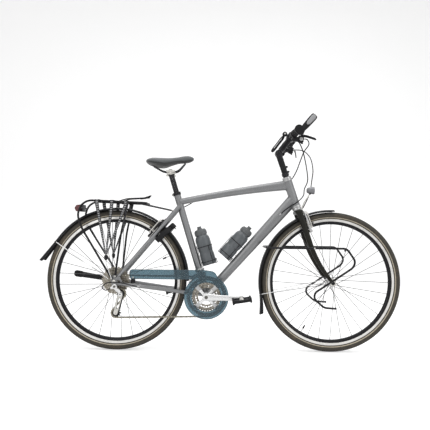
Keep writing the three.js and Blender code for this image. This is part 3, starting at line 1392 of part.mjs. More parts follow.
// Three chainrings on a four-armed spider, outer ring largest, in line with the sprocket in use.
function chainrings() {
  const { opening, boltRadius, smallRim, post, postOver, postEnd } = chainringSet;
  const { tab, tabFrom, tabTo, tabInset } = chainringSet;
  const last = ringTeeth.length - 1;
  const openings = [opening, boltRadius, pitchRadius(ringTeeth[last]) - smallRim];
  const rings = ringTeeth.map((teeth, i) => {
    const y = slotY + i * ringPitch;
    const half = ringThickness / 2;
    const rim = i === 0 ? toothed(teeth) : circle(
      pitchRadius(teeth) + chain.toothReach / 2, Math.round(teeth * 0.8),
    );
    return plateXZ(rim, y - half, y + half, [circle(openings[i], 12)]);
  });
  const around = circle(1, 4, 0, 0, Math.PI / 4);
  const posts = around.map(([x, z]) => crossRod(
    x * boltRadius, z * boltRadius, slotY - postOver, slotY + last * ringPitch + postEnd, post, 6,
  ));
  const tabs = around.map(([x, z]) => rod(
    point(x * tabFrom, slotY - tabInset, z * tabFrom), point(x * tabTo, slotY - tabInset, z * tabTo), tab, 4,
  ));
  return join(...rings, ...posts, ...tabs);
}

// Right arm with its spider, the spindle through the bracket, and the left arm opposite.
function crankArm(side) {
  const inner = side === right ? crank.inner : crank.inner - crank.leftInset;
  const outline = circle(1, 8).map(([x, y]) => flat(x, y));
  const flip = side === right ? 0 : Math.PI;
  const axis = point(Math.cos(crankAngle + flip), 0, Math.sin(crankAngle + flip));
  const across = point(-axis.z, 0, axis.x);
  const shares = [[0, 1, 0.9], [0.12, 0.9, 1], [0.5, 0.72, 0.85], [0.9, 0.7, 0.8], [1, 0.7, 0.8]];
  const sections = shares.map(([share, wide, thick]) => outline.map((p) => point(0, 0, 0)
    .addScaledVector(axis, share * crank.length)
    .addScaledVector(across, p.x * crank.hub * wide)
    .add(point(
      0, side * (inner + crank.thickness / 2 + share * crank.flare) + (p.y * crank.thickness * thick) / 2, 0,
    ))));
  const arm = loft(sections, outline);
  const boss = crossRod(
    0, 0, side * (inner - crank.bossInset), side * (inner + crank.thickness), crank.hub, 10,
  );
  const end = axis.clone().multiplyScalar(crank.length);
  const eye = crossRod(
    end.x, end.z, side * (inner + crank.eyeInset), side * (inner + crank.thickness + crank.flare), crank.end,
    8,
  );
  const eyeBore = crossBore(
    end.x, end.z, side * (inner - crank.end), side * (inner + 2 * crank.end), pedal.axle, 8,
  );
  const face = inner + crank.thickness;
  const cap = crossRod(0, 0, side * (face - crankCap.depth), side * (face + overrun), crankCap.radius, 8);
  return cut(join(arm, boss, eye), eyeBore, cap);
}

function crankset() {
  const spindle = crossRod(0, 0, -crank.inner - crank.eyeInset, crank.inner, crank.spindle, 10);
  const arms = circle(spider.radius, 4, 0, 0, Math.PI / 4).map(([x, z]) => rod(
    point(0, spider.inset - crank.inner, 0), point(x, slotY - spider.side, z), spider.thick, 6, spider.thin,
  ));
  return join(crankArm(right), crankArm(left), spindle, ...arms);
}
place('crankset', crankset(), silver).position.copy(bracket);
place('chainrings', chainrings(), steelGrey).position.copy(bracket);

// Pedals: a flat cage of two toothed rails and cross pieces around the axle's body.
function pedalBody(side) {
  const nearY = crank.inner + crank.thickness + pedal.standOff + gap;
  const farY = nearY + pedal.width;
  const half = pedal.length / 2;
  const frameBox = box(pedal.length, pedal.width, pedal.thickness * 0.6, 0, side * (nearY + farY) / 2, 0);
  const holes = [-1, 1].map((way) => box(
    half - pedal.rail * 1.9, pedal.width - pedal.rail * 2, pedal.thickness * 2,
    way * (half * 0.5 + pedal.rail * 0.1), side * (nearY + farY) / 2, 0,
  ));
  const bumps = [-1, 1].flatMap((way) => [0.2, 0.5, 0.8].map((share) => box(
    pedal.rail, pedal.rail * 1.4, pedal.thickness, way * (half - pedal.rail / 2),
    side * (nearY + pedal.width * share), 0,
  )));
  const barrel = crossRod(
    0, 0, side * (nearY + runGap), side * (farY - pedal.endInset), pedal.thickness * 0.46, 10,
  );
  const spindle = crossRod(
    0, 0, side * (crank.inner + pedal.axleInset), side * (nearY + pedal.axleLap), pedal.axle, 8,
  );
  return join(cut(frameBox, ...holes), barrel, spindle, ...bumps).rotate([0, -pedal.tiltAngle, 0]);
}
for (const [name, side] of sides) {
  const flip = side === right ? 0 : Math.PI;
  const end = point(
    bracket.x + crank.length * Math.cos(crankAngle + flip), 0,
    bracket.z + crank.length * Math.sin(crankAngle + flip),
  );
  place(`pedal_${name}`, pedalBody(side), blackPlastic).position.copy(end);
}

// Nine sprockets on the freewheel body, largest nearest the spokes.
const sprocketY = (i) => -chainline + sprocketPitch * (i - sprocketInUse);
function cassette() {
  const half = ringThickness / 2;
  const last = sprocketTeeth.length - 1;
  const wheelOutline = (teeth, i) => (i === sprocketInUse ? toothed(teeth) : circle(
    pitchRadius(teeth) + chain.toothReach / 2, Math.round(teeth * 0.6),
  ));
  const cogs = sprocketTeeth.map(
    (teeth, i) => plateXZ(wheelOutline(teeth, i), sprocketY(i) - half, sprocketY(i) + half),
  );
  const { radius, bore: inner, rightOver, leftOver } = cassetteBody;
  const body = crossRod(0, 0, sprocketY(0) - rightOver, sprocketY(last) + leftOver, radius, 10);
  const axleRoom = crossRod(0, 0, -rearDropoutSpan, 0, inner + gap, 8);
  return cut(join(body, ...cogs), axleRoom);
}
place('cassette', cassette(), steelGrey).position.copy(rearAxle);

// The chain's line: tangents between the wheels it wraps, in the order it travels, and arcs around them.
const wraps = [
  { at: flat(bracket.x, bracket.z), radius: pitchRadius(ringTeeth[0]), turn: 1 },
  { at: flat(tensionPulley.x, tensionPulley.z), radius: pitchRadius(pulleyTeeth), turn: 1 },
  { at: flat(guidePulley.x, guidePulley.z), radius: pitchRadius(pulleyTeeth), turn: -1 },
  { at: flat(0, wheelRadius), radius: pitchRadius(sprocketTeeth[sprocketInUse]), turn: 1 },
];

function chainLine() {
  const lines = wraps.map((from, i) => {
    const to = wraps[(i + 1) % wraps.length];
    const away = to.at.clone().sub(from.at);
    const angle = away.angle() + Math.asin((to.turn * to.radius - from.turn * from.radius) / away.length());
    const normal = flat(Math.sin(angle), -Math.cos(angle));
    return {
      start: from.at.clone().addScaledVector(normal, -from.turn * from.radius),
      end: to.at.clone().addScaledVector(normal, -to.turn * to.radius),
    };
  });
  const path = [];
  wraps.forEach((wheel, i) => {
    const before = lines[(i + wraps.length - 1) % wraps.length].end.clone().sub(wheel.at).angle();
    let after = lines[i].start.clone().sub(wheel.at).angle();
    while (wheel.turn > 0 && after > before) after -= 2 * Math.PI;
    while (wheel.turn < 0 && after < before) after += 2 * Math.PI;
    const length = Math.abs(after - before) * wheel.radius;
    path.push({ length, along: (s) => {
      const angle = before + ((after - before) * s) / length;
      const out = flat(Math.cos(angle), Math.sin(angle));
      return {
        at: wheel.at.clone().addScaledVector(out, wheel.radius), normal: out.multiplyScalar(wheel.turn),
      };
    } });
    const run = lines[i].end.clone().sub(lines[i].start);
    const way = run.clone().normalize();
    path.push({ length: run.length(), along: (s) => ({
      at: lines[i].start.clone().addScaledVector(way, s), normal: flat(-way.y, way.x),
    }) });
  });
  return path;
}

function chainBody() {
  const path = chainLine();
  const total = path.reduce((sum, piece) => sum + piece.length, 0);
  const links = 2 * Math.round(total / chainPitch / 2);
  const halfWidth = chain.width / 2;
  const coveredRun = path.length - 1;
  const sections = [];
  for (let i = 0; i < links; i += 1) {
    let s = (total * i) / links;
    let piece = 0;
    while (s > path[piece].length) {
      s -= path[piece].length;
      piece += 1;
    }
    if (piece === coveredRun) continue;
    const { at, normal } = path[piece].along(s);
    const half = chain.plateHeight / 2;
    const corners = [[half, halfWidth], [half, -halfWidth], [-half, -halfWidth], [-half, halfWidth]];
    sections.push(corners.map(([out, y]) => point(at.x + normal.x * out, slotY + y, at.y + normal.y * out)));
  }
  const teeth = [ringTeeth[0], pulleyTeeth, pulleyTeeth, sprocketTeeth[sprocketInUse]];
  const facets = [32, 12, 12, 14];
  const grooves = wraps.map((wheel, i) => {
    const reach = (pitchRadius(teeth[i]) + chain.toothReach + gap) / Math.cos(Math.PI / facets[i]);
    return crossRod(
      wheel.at.x, wheel.at.y, slotY - chain.grooveWidth / 2, slotY + chain.grooveWidth / 2, reach, facets[i],
    );
  });
  return cut(loopLoft(sections), ...grooves);
}
place('chain', chainBody(), steelGrey);

// Rear derailleur: body on the hanger's pin, and the cage with its two pulleys.
const pulleyY = slotY;
function pulley() {
  const half = ringThickness / 2;
  const wheel = plateXZ(toothed(pulleyTeeth), pulleyY - half, pulleyY + half);
  const hubHalf = cagePlate.half - pulleySize.play;
  const hubPiece = crossRod(0, 0, pulleyY - hubHalf, pulleyY + hubHalf, pulleySize.hub, 8);
  const pinRoom = crossRod(
    0, 0, pulleyY - pulleySize.room, pulleyY + pulleySize.room, pulleySize.pin + gap, 8,
  );
  return cut(join(wheel, hubPiece), pinRoom);
}
place('guide_pulley', pulley(), blackPlastic).position.set(guidePulley.x, 0, guidePulley.z);
place('tension_pulley', pulley(), blackPlastic).position.set(tensionPulley.x, 0, tensionPulley.z);

const cageSide = pulleyY - cagePlate.half - cagePlate.thickness - runGap;
function derailleurCage() {
  const [g, t] = [guidePulley, tensionPulley];
  const lean = Math.atan2(t.z - g.z, t.x - g.x) / degrees;
  const outline = [
    ...arc(cagePlate.guideRadius, lean + 90, lean + 270, 5, g.x, g.z),
    ...arc(cagePlate.tensionRadius, lean - 90, lean + 90, 5, t.x, t.z),
  ];
  const plates = [-1, 1].map((way) => {
    const from = pulleyY + way * cagePlate.half;
    return plateXZ(outline, from, from + way * cagePlate.thickness);
  });
  const outside = pulleyY - cagePlate.half - pulleySize.play;
  const pinEnd = pulleyY + cagePlate.half + cagePlate.pinOver;
  const pins = [g, t].map(({ x, z }) => crossRod(x, z, outside, pinEnd, pulleySize.pin, 8));
  const pivot = crossRod(
    g.x, g.z, outside, cageSide - rearMech.housingLength + rearMech.pinLap, rearMech.cagePin, 8,
  );
  return join(...plates, ...pins, pivot);
}
place('derailleur_cage', derailleurCage(), blackPaint);

function derailleurBody() {
  const { inner, outer, knuckle: radius, housing, housingLength } = rearMech;
  const knuckle = crossRod(hangerBolt.x, hangerBolt.z, -inner, -outer + gap, radius, 10);
  const from = point(hangerBolt.x, -(inner + outer) / 2, hangerBolt.z);
  const to = point(guidePulley.x, cageSide - housingLength * 0.6, guidePulley.z);
  const outline = circle(1, 6).map(([x, y]) => flat(x, y));
  const { narrow, wide, thickness, slant } = rearMech;
  const stations = [
    { share: 0, half: narrow }, { share: 0.3, half: wide }, { share: 0.7, half: wide },
    { share: 1, half: narrow },
  ];
  const sections = stations.map(({ share, half }) => outline.map((p) => from.clone().lerp(to, share)
    .add(point(p.x * half, p.y * thickness, -slant * p.x))));
  const pivotHousing = crossRod(
    guidePulley.x, guidePulley.z, cageSide, cageSide - housingLength, housing, 10,
  );
  const hangerBore = crossBore(hangerBolt.x, hangerBolt.z, 0, -outer * 2, rearMech.pin, 8);
  const cageBore = crossBore(
    guidePulley.x, guidePulley.z, cageSide + overrun, cageSide - housingLength + rearMech.boreLap,
    rearMech.cagePin, 8,
  );
  return cut(join(knuckle, pivotHousing, loft(sections, outline)), hangerBore, cageBore);
}
place('rear_derailleur', derailleurBody(), silver);

// Front derailleur cage: two plates around the chain, and the sleeve that slides on the rod of the frame.
function frontCage() {
  const reach = pitchRadius(ringTeeth[0]);
  const { half, wall, upper, middle, lower, pin, pinHalf, pinUpper, pinLower } = frontCageSize;
  const plateOutline = [
    ...arc(reach + upper, 92, 128, 3, bracket.x, bracket.z),
    ...arc(reach + middle, 142, 142.5, 1, bracket.x, bracket.z),
    ...arc(reach + lower, 142, 92, 4, bracket.x, bracket.z),
  ];
  const outer = plateXZ(plateOutline, slotY - half - wall, slotY - half);
  const inner = plateXZ(plateOutline, slotY + half, slotY + half + wall);
  const bridge = (radius, angle) => {
    const at = onCircle(bracket, radius, angle, 0);
    return crossRod(at.x, at.z, slotY - pinHalf, slotY + pinHalf, pin, 6);
  };
  const bridges = [bridge(reach + pinUpper, 100), bridge(reach + pinLower, 138)];
  const { height, rodStart, rodForward, rodRadius, sleeve: sleeveEnd, sleeveWall } = frontMech;
  const axis = onSeatLine(height, rodForward);
  const sleeve = crossRod(axis.x, axis.z, slotY + half, slotY + sleeveEnd, rodRadius + sleeveWall, 10);
  const neck = rod(
    point(axis.x, slotY + frontCageNeck.side, axis.z),
    point(axis.x + frontCageNeck.forward, slotY + frontCageNeck.lowSide, axis.z - frontCageNeck.drop),
    frontCageNeck.radius, 6,
  );
  const rodBore = crossBore(axis.x, axis.z, -rodStart, slotY + half - overrun, rodRadius, 8);
  return cut(join(outer, inner, ...bridges, sleeve, neck), rodBore);
}
place('front_derailleur_cage', frontCage(), silver);

// Chain guard: a see-through half shell over the upper run and around the ring, open at the crank.
function chainGuardBody() {
  const [cx, cz] = [bracket.x, bracket.z];
  const top = chainGuard.armTop;
  const bottom = chainGuard.armBottom;
  const r = chainGuard.radius;
  const rear = chainGuard.armRear;
  const { round, crest, crestRun, corner, heel } = chainGuard;
  const shape = (inset) => {
    const rr = r - inset;
    const upper = top - inset;
    const lower = bottom + inset;
    const end = 180 - Math.asin(lower / rr) / degrees;
    return [
      ...arc(rr, end - 360, 58, 14, cx, cz), [cx + rr * 0.36, cz + upper - inset - crest],
      [cx + crestRun, cz + upper],
      [rear + round, cz + upper], [rear + inset + crestRun, cz + upper - corner],
      [rear + inset, cz + upper - round],
      [rear + inset, cz + lower + heel], [rear + inset + heel, cz + lower],
    ];
  };
  const outline = shape(0);
  const face = -chainGuard.out;
  const hole = circle(chainGuard.opening, 16, cx, cz);
  const panel = plateXZ(outline, face, face - chainGuard.wall, [hole]);
  const rim1 = plateXZ(
    outline, face + chainGuard.depth, face - chainGuard.wall / 2, [shape(chainGuard.wall)],
  );
  const { x: strutX, length, height, rise } = guardStrut;
  const strut = box(length, chainGuard.wall * 2, height, strutX, face + chainGuard.wall, cz + rise);
  return join(panel, rim1, strut);
}
place('chain_guard', chainGuardBody(), guardSmoke);

// Rear carrier: one tube bent round the deck and down to the dropouts, with cross bars, legs and stays.
const deckZ = (x) => THREE.MathUtils.mapLinear(x, rack.rear, rack.front, rack.rearZ, rack.frontZ);
function rearRack() {
  const { half, front, nose, footHalf, crossRadius } = rack;
  const corners = [
    [rackFoot.x, footHalf, wheelRadius + rackFoot.rise],
    [rackHeel.x, half + rackHeel.out, wheelRadius + rackHeel.rise],
    [rackTail.x, half, wheelRadius + rackTail.rise], [rackTailTop.x, half, wheelRadius + rackTailTop.rise],
    [rack.rear, half, rack.rearZ], [front + nose, half, deckZ(front + nose)],
  ];
  const sidePoints = (side) => corners.map(([x, y, z]) => point(x, side * y, z));
  const loop = tube(
    rounded([...sidePoints(right), ...sidePoints(left).reverse()], rackBend.outer, 2), rackTube, 6,
  );
  const { x: legX, kneeX, kneeRise, kneeOut, footX, footRise } = rackLeg;
  const legs = [left, right].map((side) => tube(rounded([
    point(legX, side * half, deckZ(legX)), point(kneeX, side * (half + kneeOut), wheelRadius + kneeRise),
    point(footX, side * footHalf, wheelRadius + footRise),
  ], rackBend.leg, 2), rackTube, 6));
  const eyeletFace = dropoutMiddle + dropout.thickness / 2 + gap;
  const eyeletAt = [[rackFoot.x, rackFoot.rise], [footX, footRise]];
  const eyelets = [left, right].flatMap((side) => eyeletAt.map(([x, rise]) => crossRod(
    x, wheelRadius + rise, side * eyeletFace, side * footHalf, rackTube * 0.7, 6,
  )));
  const bars = [rackBars.rear, rack.clipX, rackBars.front].map(
    (x) => crossRod(x, deckZ(x), -half, half, crossRadius, 6),
  );
  const lampBar = crossRod(rackBars.lamp, tailLamp.z, -half, half, crossRadius, 6);
  const { x: stayX, inset, reach, back, out, radius } = rackStay;
  const stays = [left, right].map((side) => rod(
    point(stayX, side * (half - inset), deckZ(stayX)), onStay(reach, back, side * (stayHalf(reach) + out)),
    radius, 6,
  ));
  return join(loop, ...legs, ...eyelets, ...bars, lampBar, ...stays);
}
place('rear_rack', rearRack(), blackPaint);

function tailLampBody() {
  const { x, z, width, height, depth } = tailLamp;
  const half = height / 2;
  const outline = [
    [x, z - half], [x, z + half], [x - depth * 0.7, z + half * 0.9], [x - depth, z],
    [x - depth * 0.75, z - half],
  ];
  return plateXZ(outline, -width / 2, width / 2);
}
place('tail_lamp', tailLampBody(), lampRed);

// Three elastic bands across the deck. On each side they meet at a ball, and a hook holds it to the eyelet.
const strapBallAt = (side) => point(strapBall.x, side * strapBall.y, wheelRadius + strapBall.rise);
function strapBand(x) {
  const { width, lowWidth, thickness, lowRise, spread, spreadTop, drop, corner, inset } = strap;
  const top = deckZ(x) + rackTube + gap + thickness / 2;
  const outer = rack.half + rackTube + gap + thickness / 2;
  const turn = Math.SQRT1_2;
  const ball = strapBallAt(left);
  const half = [
    [ball.x, ball.y, ball.z + lowRise, lowWidth, 1, 0], [x, outer + spread, top - drop, width, 1, 0],
    [x, outer + spreadTop, top - rackTube, width, 1, 0],
    [x, rack.half + corner, top - gap, width, turn, turn],
    [x, rack.half - inset, top, width, 0, 1],
  ];
  const route = [...half, ...half.slice().reverse().map(([px, y, z, w, ny, nz]) => [px, -y, z, w, -ny, nz])];
  const outline = [flat(-1, -1), flat(1, -1), flat(1, 1), flat(-1, 1)];
  const sections = route.map(([px, y, z, w, ny, nz]) => outline.map((p) => point(
    px + (p.x * w) / 2, y + (p.y * thickness * ny) / 2, z + (p.y * thickness * nz) / 2,
  )));
  return loft(sections, outline);
}

function luggageStraps() {
  const { radius: ball } = strapBall;
  const profile = [[0, -ball], [ball * 0.7, -ball * 0.7], [ball, 0], [ball * 0.7, ball * 0.7], [0, ball]];
  const balls = [left, right].map((side) => {
    const at = strapBallAt(side);
    return revolveAlong(profile, at, at.clone().setZ(at.z + ball), 8);
  });
  const { radius, top, x, out, drop, bendX, bendRise, tipX, tipRise, side: hookSide } = strapHook;
  const hooks = [left, right].map((side) => {
    const at = strapBallAt(side);
    return tube([
      point(at.x, at.y, at.z - top), point(x, at.y + side * out, at.z - drop),
      point(bendX, side * (rack.footHalf + hookSide), wheelRadius + bendRise),
      point(tipX, side * (rack.footHalf + hookSide), wheelRadius + tipRise),
    ], radius, 6);
  });
  return join(...Object.values(strapSpots).map(strapBand), ...balls, ...hooks);
}
place('luggage_straps', luggageStraps(), strapBlack);

// Spring clip over the deck: two eyes on a cross bar and a wire that narrows to its tip.
function rackClip() {
  const [x, z] = [rack.clipX, deckZ(rack.clipX)];
  const eyes = [left, right].map(
    (side) => crossRod(x, z, side * clipEye.inner, side * clipEye.outer, clipEye.radius, 10),
  );
  const wirePoints = (side) => [
    point(x, side * clipWire.y, z + clipWire.rise),
    ...clipWireRun.map((at) => point(at.x, side * at.y, wheelRadius + at.rise)),
  ];
  const tip = point(clipTip.x, 0, wheelRadius + clipTip.rise);
  const wire = tube(
    rounded([...wirePoints(left), tip, ...wirePoints(right).reverse()], clipWire.bend, 2), clipWire.radius, 6,
  );
  const barRoom = crossBore(x, z, -rack.half, rack.half, rack.crossRadius, 8);
  return cut(join(...eyes, wire), barRoom);
}
place('rack_clip', rackClip(), steelGrey);

// Ring lock between the seat stays: a C around the tyre, open toward the hub, with the bolt in its channel.
const lockOut = point(Math.cos(lockAngle * degrees), 0, Math.sin(lockAngle * degrees));
const lockAlong = point(-lockOut.z, 0, lockOut.x);
const lockCentre = rearAxle.clone().addScaledVector(lockOut, ringLock.centre);

// Turns an outline drawn in the plane of the lock into a plate centred on that plane.
function lockPlate(outline, thickness) {
  const shape = new THREE.Shape(outline.map(([out, y]) => flat(out, y)));
  const geometry = new THREE.ExtrudeGeometry(shape, { depth: thickness, bevelEnabled: false });
  geometry.translate(0, 0, -thickness / 2);
  geometry.applyMatrix4(
    new THREE.Matrix4().makeBasis(lockOut, point(0, 1, 0), lockAlong.clone().negate()).setPosition(
      lockCentre,
    ),
  );
  return solid(geometry);
}

// Sector of a ring in the plane of the lock. Angles run from the way to the hub.
const lockSector = (inner, outer, from, to, thickness, steps) => lockPlate(
  [...arc(outer, 180 + from, 180 + to, steps), ...arc(inner, 180 + to, 180 + from, steps)], thickness,
);

function ringLockBody() {
  const { inner, outer, height, openingAngle, channel, arc: middle, crown } = ringLock;
  const half = openingAngle / 2;
  const body = lockSector(inner, outer, half, 360 - half, height, 18);
  const { inset, shoulder, wide, base, narrow } = lockCap;
  const cap = lockPlate([
    [outer - inset, -base], [outer - shoulder, -wide], [outer + crown, -narrow], [outer + crown, narrow],
    [outer - shoulder, wide], [outer - inset, base],
  ], height);
  const { travelAngle, tabAngle, slotAngle, tabReach, tabWidth } = lockBolt;
  const room = lockSector(middle - channel / 2, middle + channel / 2, half - 5, 365 - half, channel, 18);
  const slotFrom = tabAngle - travelAngle - slotAngle;
  const slot = lockSector(
    middle, tabReach + overrun, slotFrom, tabAngle + slotAngle, tabWidth + 2 * runGap, 5,
  );
  const lugs = [left, right].map((side) => {
    const at = lockCentre.clone().add(point(0, side * (inner + ringLock.lugOut), 0));
    return rod(at, at.clone().addScaledVector(lockAlong, ringLock.lug), ringLock.lugRadius, 6);
  });
  return cut(join(body, cap, ...lugs), room, slot);
}
place('ring_lock', ringLockBody(), blackPlastic);

function lockShackle() {
  const { arc: middle, bolt } = ringLock;
  const { fromAngle, toAngle, tabAngle, tabHalfAngle, tabReach, tabWidth } = lockBolt;
  const body = lockSector(middle - bolt / 2, middle + bolt / 2, fromAngle, toAngle, bolt, 14);
  const tab = lockSector(middle, tabReach, tabAngle - tabHalfAngle, tabAngle + tabHalfAngle, tabWidth, 2);
  return join(body, tab);
}
place('lock_shackle', lockShackle(), steelGrey);

// Side stand on the left: its hub turns on the frame's boss and the leg lies back along the stay.
function sideStand() {
  const {
    x, z, half, length, riseAngle, foot, leg, legTip, shoe: shoeRadius, splay, outY, hub: radius,
  } = kickstand;
  const turn = crossRod(x, z, half, outY + leg, radius, 12);
  const lean = riseAngle * degrees;
  const tip = point(x - length * Math.cos(lean), outY + splay, z + length * Math.sin(lean));
  const root = point(x, outY, z);
  const share = 1 - foot / length;
  const stem = rod(root, tip, leg, 8, legTip);
  const shoe = rod(root.clone().lerp(tip, share), tip, shoeRadius, 8);
  return join(turn, stem, shoe);
}
place('kickstand', sideStand(), blackPaint);

// Bottles and their wire cages. Each is built upright and then laid against its tube.
function inCage(geometry, from, along) {
  const forward = new THREE.Vector3().crossVectors(point(0, 1, 0), along);
  return geometry.applyMatrix4(
    new THREE.Matrix4().makeBasis(forward, point(0, 1, 0), along).setPosition(from),
  );
}

function bottleBody(from, along) {
  const { radius, height, neck, cap, capHeight, nozzle, nozzleHeight } = bottle;
  const { heelInset, heel, shoulder, lidEdge, lidInset } = bottle;
  const collar = height + bottle.collar;
  const lid = collar + capHeight;
  const profile = [
    [0, 0], [radius - heelInset, 0], [radius, heel], [radius, height - shoulder], [neck, height],
    [neck, collar],
    [cap, collar], [cap, lid - lidEdge], [cap - lidInset, lid], [nozzle, lid], [nozzle, lid + nozzleHeight],
    [0, lid + nozzleHeight],
  ];
  return solid(inCage(revolveY(profile, 14).rotateX(Math.PI / 2), from, along));
}

const cageInner = (bottle.radius + gap) / Math.cos(Math.PI / 12);
const cageOuter = cageInner + cageWire;
function bottleCage(from, along) {
  const ring = (low, high) => solid(inCage(revolveY(
    [[cageInner, low], [cageOuter, low], [cageOuter, high], [cageInner, high], [cageInner, low]], 12,
  ).rotateX(Math.PI / 2), from, along));
  const bar = (width, depth, height, x, y, z) => solid(
    inCage(new THREE.BoxGeometry(width, depth, height).translate(x, y, z), from, along),
  );
  const middle = (cageInner + cageOuter) / 2 - gap;
  const { spine: high, spineWidth, upright, lowRing, highRing, floorWidth, lip: lipHeight } = cageSize;
  const low = -cageWire - gap;
  const spine = bar(cageWire * 0.8, spineWidth, high - low, -middle, 0, (low + high) / 2);
  const uprights = [left, right].map(
    (side) => bar(cageWire, cageWire, upright, middle * 0.5, side * middle * 0.86, upright / 2),
  );
  const floor = bar(2 * middle, floorWidth, cageWire, 0, 0, low + cageWire / 2);
  const lip = bar(cageWire, floorWidth, lipHeight, middle, 0, lipHeight / 2 + low);
  return join(
    ring(lowRing, lowRing + cageWire), ring(highRing, highRing + cageWire), spine, ...uprights, floor, lip,
  );
}

const seatBottleFrom = onSeatLine(seatBottle.start, seatBottle.off);
const downAlong = onHeadLine(axleToHeadTube + downTube.headRise).sub(bracket).normalize();
const downUp = point(-downAlong.z, 0, downAlong.x);
const downBottleFrom = bracket.clone().addScaledVector(downAlong, downBottle.start).addScaledVector(
  downUp, downBottle.off,
);
place('bottle_cage_seat', bottleCage(seatBottleFrom, seatUp), blackPaint);
place('bottle_cage_down', bottleCage(downBottleFrom, downAlong), blackPaint);
place('bottle_seat', bottleBody(seatBottleFrom, seatUp), bottleSmoke);
place('bottle_down', bottleBody(downBottleFrom, downAlong), bottleSmoke);

// Low-rider carrier: a hoop behind the wheel joins the two side rails, which curl down around the axle.
function lowRiderCarrier() {
  const {
    half, railRise, hoopGap, bend, strut, upperBack, upperHeight, lowerAhead, lowerRise, lowerEndRise,
  } = lowRider;
  const hoop = { ahead: -Math.sqrt(guard.radius ** 2 - railRise ** 2) - hoopGap, rise: railRise };
  const sidePoints = (side) => [hoop, ...lowRiderRun].map(({ ahead, rise }) =>
    frontAxle.clone().add(point(ahead, side * half, rise)));
  const loop = tube(rounded([...sidePoints(right).reverse(), ...sidePoints(left)], bend, 2), lowRiderTube, 6);
  const bladeFace = bladeY(upperHeight) + bladeWidth(upperHeight) / 2 + 2 * gap;
  const endFace = frontDropoutSpan / 2 + forkEnd.thickness + 5 * gap;
  const { x, z } = frontAxle;
  const struts = [left, right].flatMap((side) => [
    rod(
      point(x - upperBack, side * half, z + railRise), point(x - upperBack, side * bladeFace, z + railRise),
      strut, 6,
    ),
    rod(
      point(x + lowerAhead, side * half, z + lowerRise),
      point(x + lowerAhead, side * endFace, z + lowerEndRise), strut * 0.8, 6,
    ),
  ]);
  return join(loop, ...struts);
}
place('low_rider', lowRiderCarrier(), blackPaint);

// Head lamp on a strip from the front of the crown.
function headLamp() {
  const { rise, forward: ahead, radius, length } = headlamp;
  const { x, z } = onHeadLine(fork.crownTop + rise, ahead);
  const profile = [[0, 0], [radius * 0.6, 0], [radius * 0.92, length * 0.4], [radius, length], [0, length]];
  const body = revolveAlong(profile, point(x - length / 2, 0, z), point(x + length / 2, 0, z), 12);
  const forward = fork.crownDepth / 2 + gap + lampStrip.space;
  const strip = tube([
    onHeadLine(fork.crownTop - fork.crownHeight, forward), onHeadLine(fork.crownTop, forward),
    onHeadLine(fork.crownTop + lampStrip.rise, forward + lampStrip.reach),
    point(x - lampStrip.back, 0, z - radius + lampStrip.lap),
  ], lampStrip.radius, 6);
  return join(body, strip);
}
place('headlamp', headLamp(), blackPlastic);

// Cable housings: each leaves its control in a bow ahead of the bar and runs down to the frame or fork.
// The rear brake's housing crosses before the stem and lies on the left of the top tube.
const inBow = (side, run) => run.map(({ ahead, inward, drop }) =>
  controlAt(side).add(point(ahead, -side * inward, -drop)));
const onHead = (run) => run.map(({ rise, forward, y }) => onHeadLine(axleToHeadTube + rise, forward, y));
const besideTube = topTube.width / 2 + housingRadius + 4 * gap;
const rearBrakeRun = [
  ...inBow(right, rearBrakeBow), ...onHead(rearBrakeDrop),
  ...rearBrakeTubeShares.map((share) => onTopTube(share, besideTube)),
  ...rearBrakeEnd.map(({ reach, back, y }) => onStay(reach, back, y)),
];
const derailleurRun = derailleurLoop.map(
  ({ x, out, drop }) => point(x, -dropoutMiddle - out, wheelRadius - drop),
);
const cables = [
  { name: 'front_brake', run: [...inBow(left, frontBrakeBow), ...onHead(frontBrakeDrop)], steps: 20 },
  { name: 'rear_brake', run: rearBrakeRun, steps: 44 },
  { name: 'gears', run: [...inBow(right, gearBow), ...onHead(gearDrop)], steps: 20 },
  { name: 'rear_derailleur', run: derailleurRun, steps: 14 },
];
for (const { name, run, steps } of cables) {
  place(`cable_${name}`, cable(run, housingRadius, steps), blackPlastic);
}

// The origin is brought under the middle of the length.
const extent = new THREE.Box3().setFromObject(bicycle);
bicycle.position.x = -(extent.min.x + extent.max.x) / 2;

export default bicycle;
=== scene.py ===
"""Looks of a touring bicycle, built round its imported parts.

Shapes are modelled in millimetres: forward of the rear axle, left of the middle plane, above the ground.
piece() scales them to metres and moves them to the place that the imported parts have.
"""

import math

import bmesh
import bpy
from mathutils import Matrix, Vector


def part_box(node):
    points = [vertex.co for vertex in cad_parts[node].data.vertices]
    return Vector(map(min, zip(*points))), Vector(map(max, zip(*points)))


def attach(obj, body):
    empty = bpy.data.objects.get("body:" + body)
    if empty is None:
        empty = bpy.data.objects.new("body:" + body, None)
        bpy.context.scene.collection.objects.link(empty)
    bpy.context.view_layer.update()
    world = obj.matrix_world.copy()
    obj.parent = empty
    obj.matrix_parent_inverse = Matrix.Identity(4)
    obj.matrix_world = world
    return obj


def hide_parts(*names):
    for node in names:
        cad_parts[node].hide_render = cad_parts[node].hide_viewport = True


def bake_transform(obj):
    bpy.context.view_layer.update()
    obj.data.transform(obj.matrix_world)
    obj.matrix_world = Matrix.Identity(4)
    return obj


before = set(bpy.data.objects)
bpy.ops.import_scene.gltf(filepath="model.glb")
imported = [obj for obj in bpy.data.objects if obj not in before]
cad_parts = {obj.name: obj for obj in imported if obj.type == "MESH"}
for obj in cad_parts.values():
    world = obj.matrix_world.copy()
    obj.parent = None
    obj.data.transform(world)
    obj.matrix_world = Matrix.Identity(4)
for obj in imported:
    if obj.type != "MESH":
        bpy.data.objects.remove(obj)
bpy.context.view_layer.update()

rear_low, rear_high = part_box("rear_tyre")
TO_ROW = Matrix.Translation(((rear_low.x + rear_high.x) / 2, 0, 0)) @ Matrix.Scale(0.001, 4)

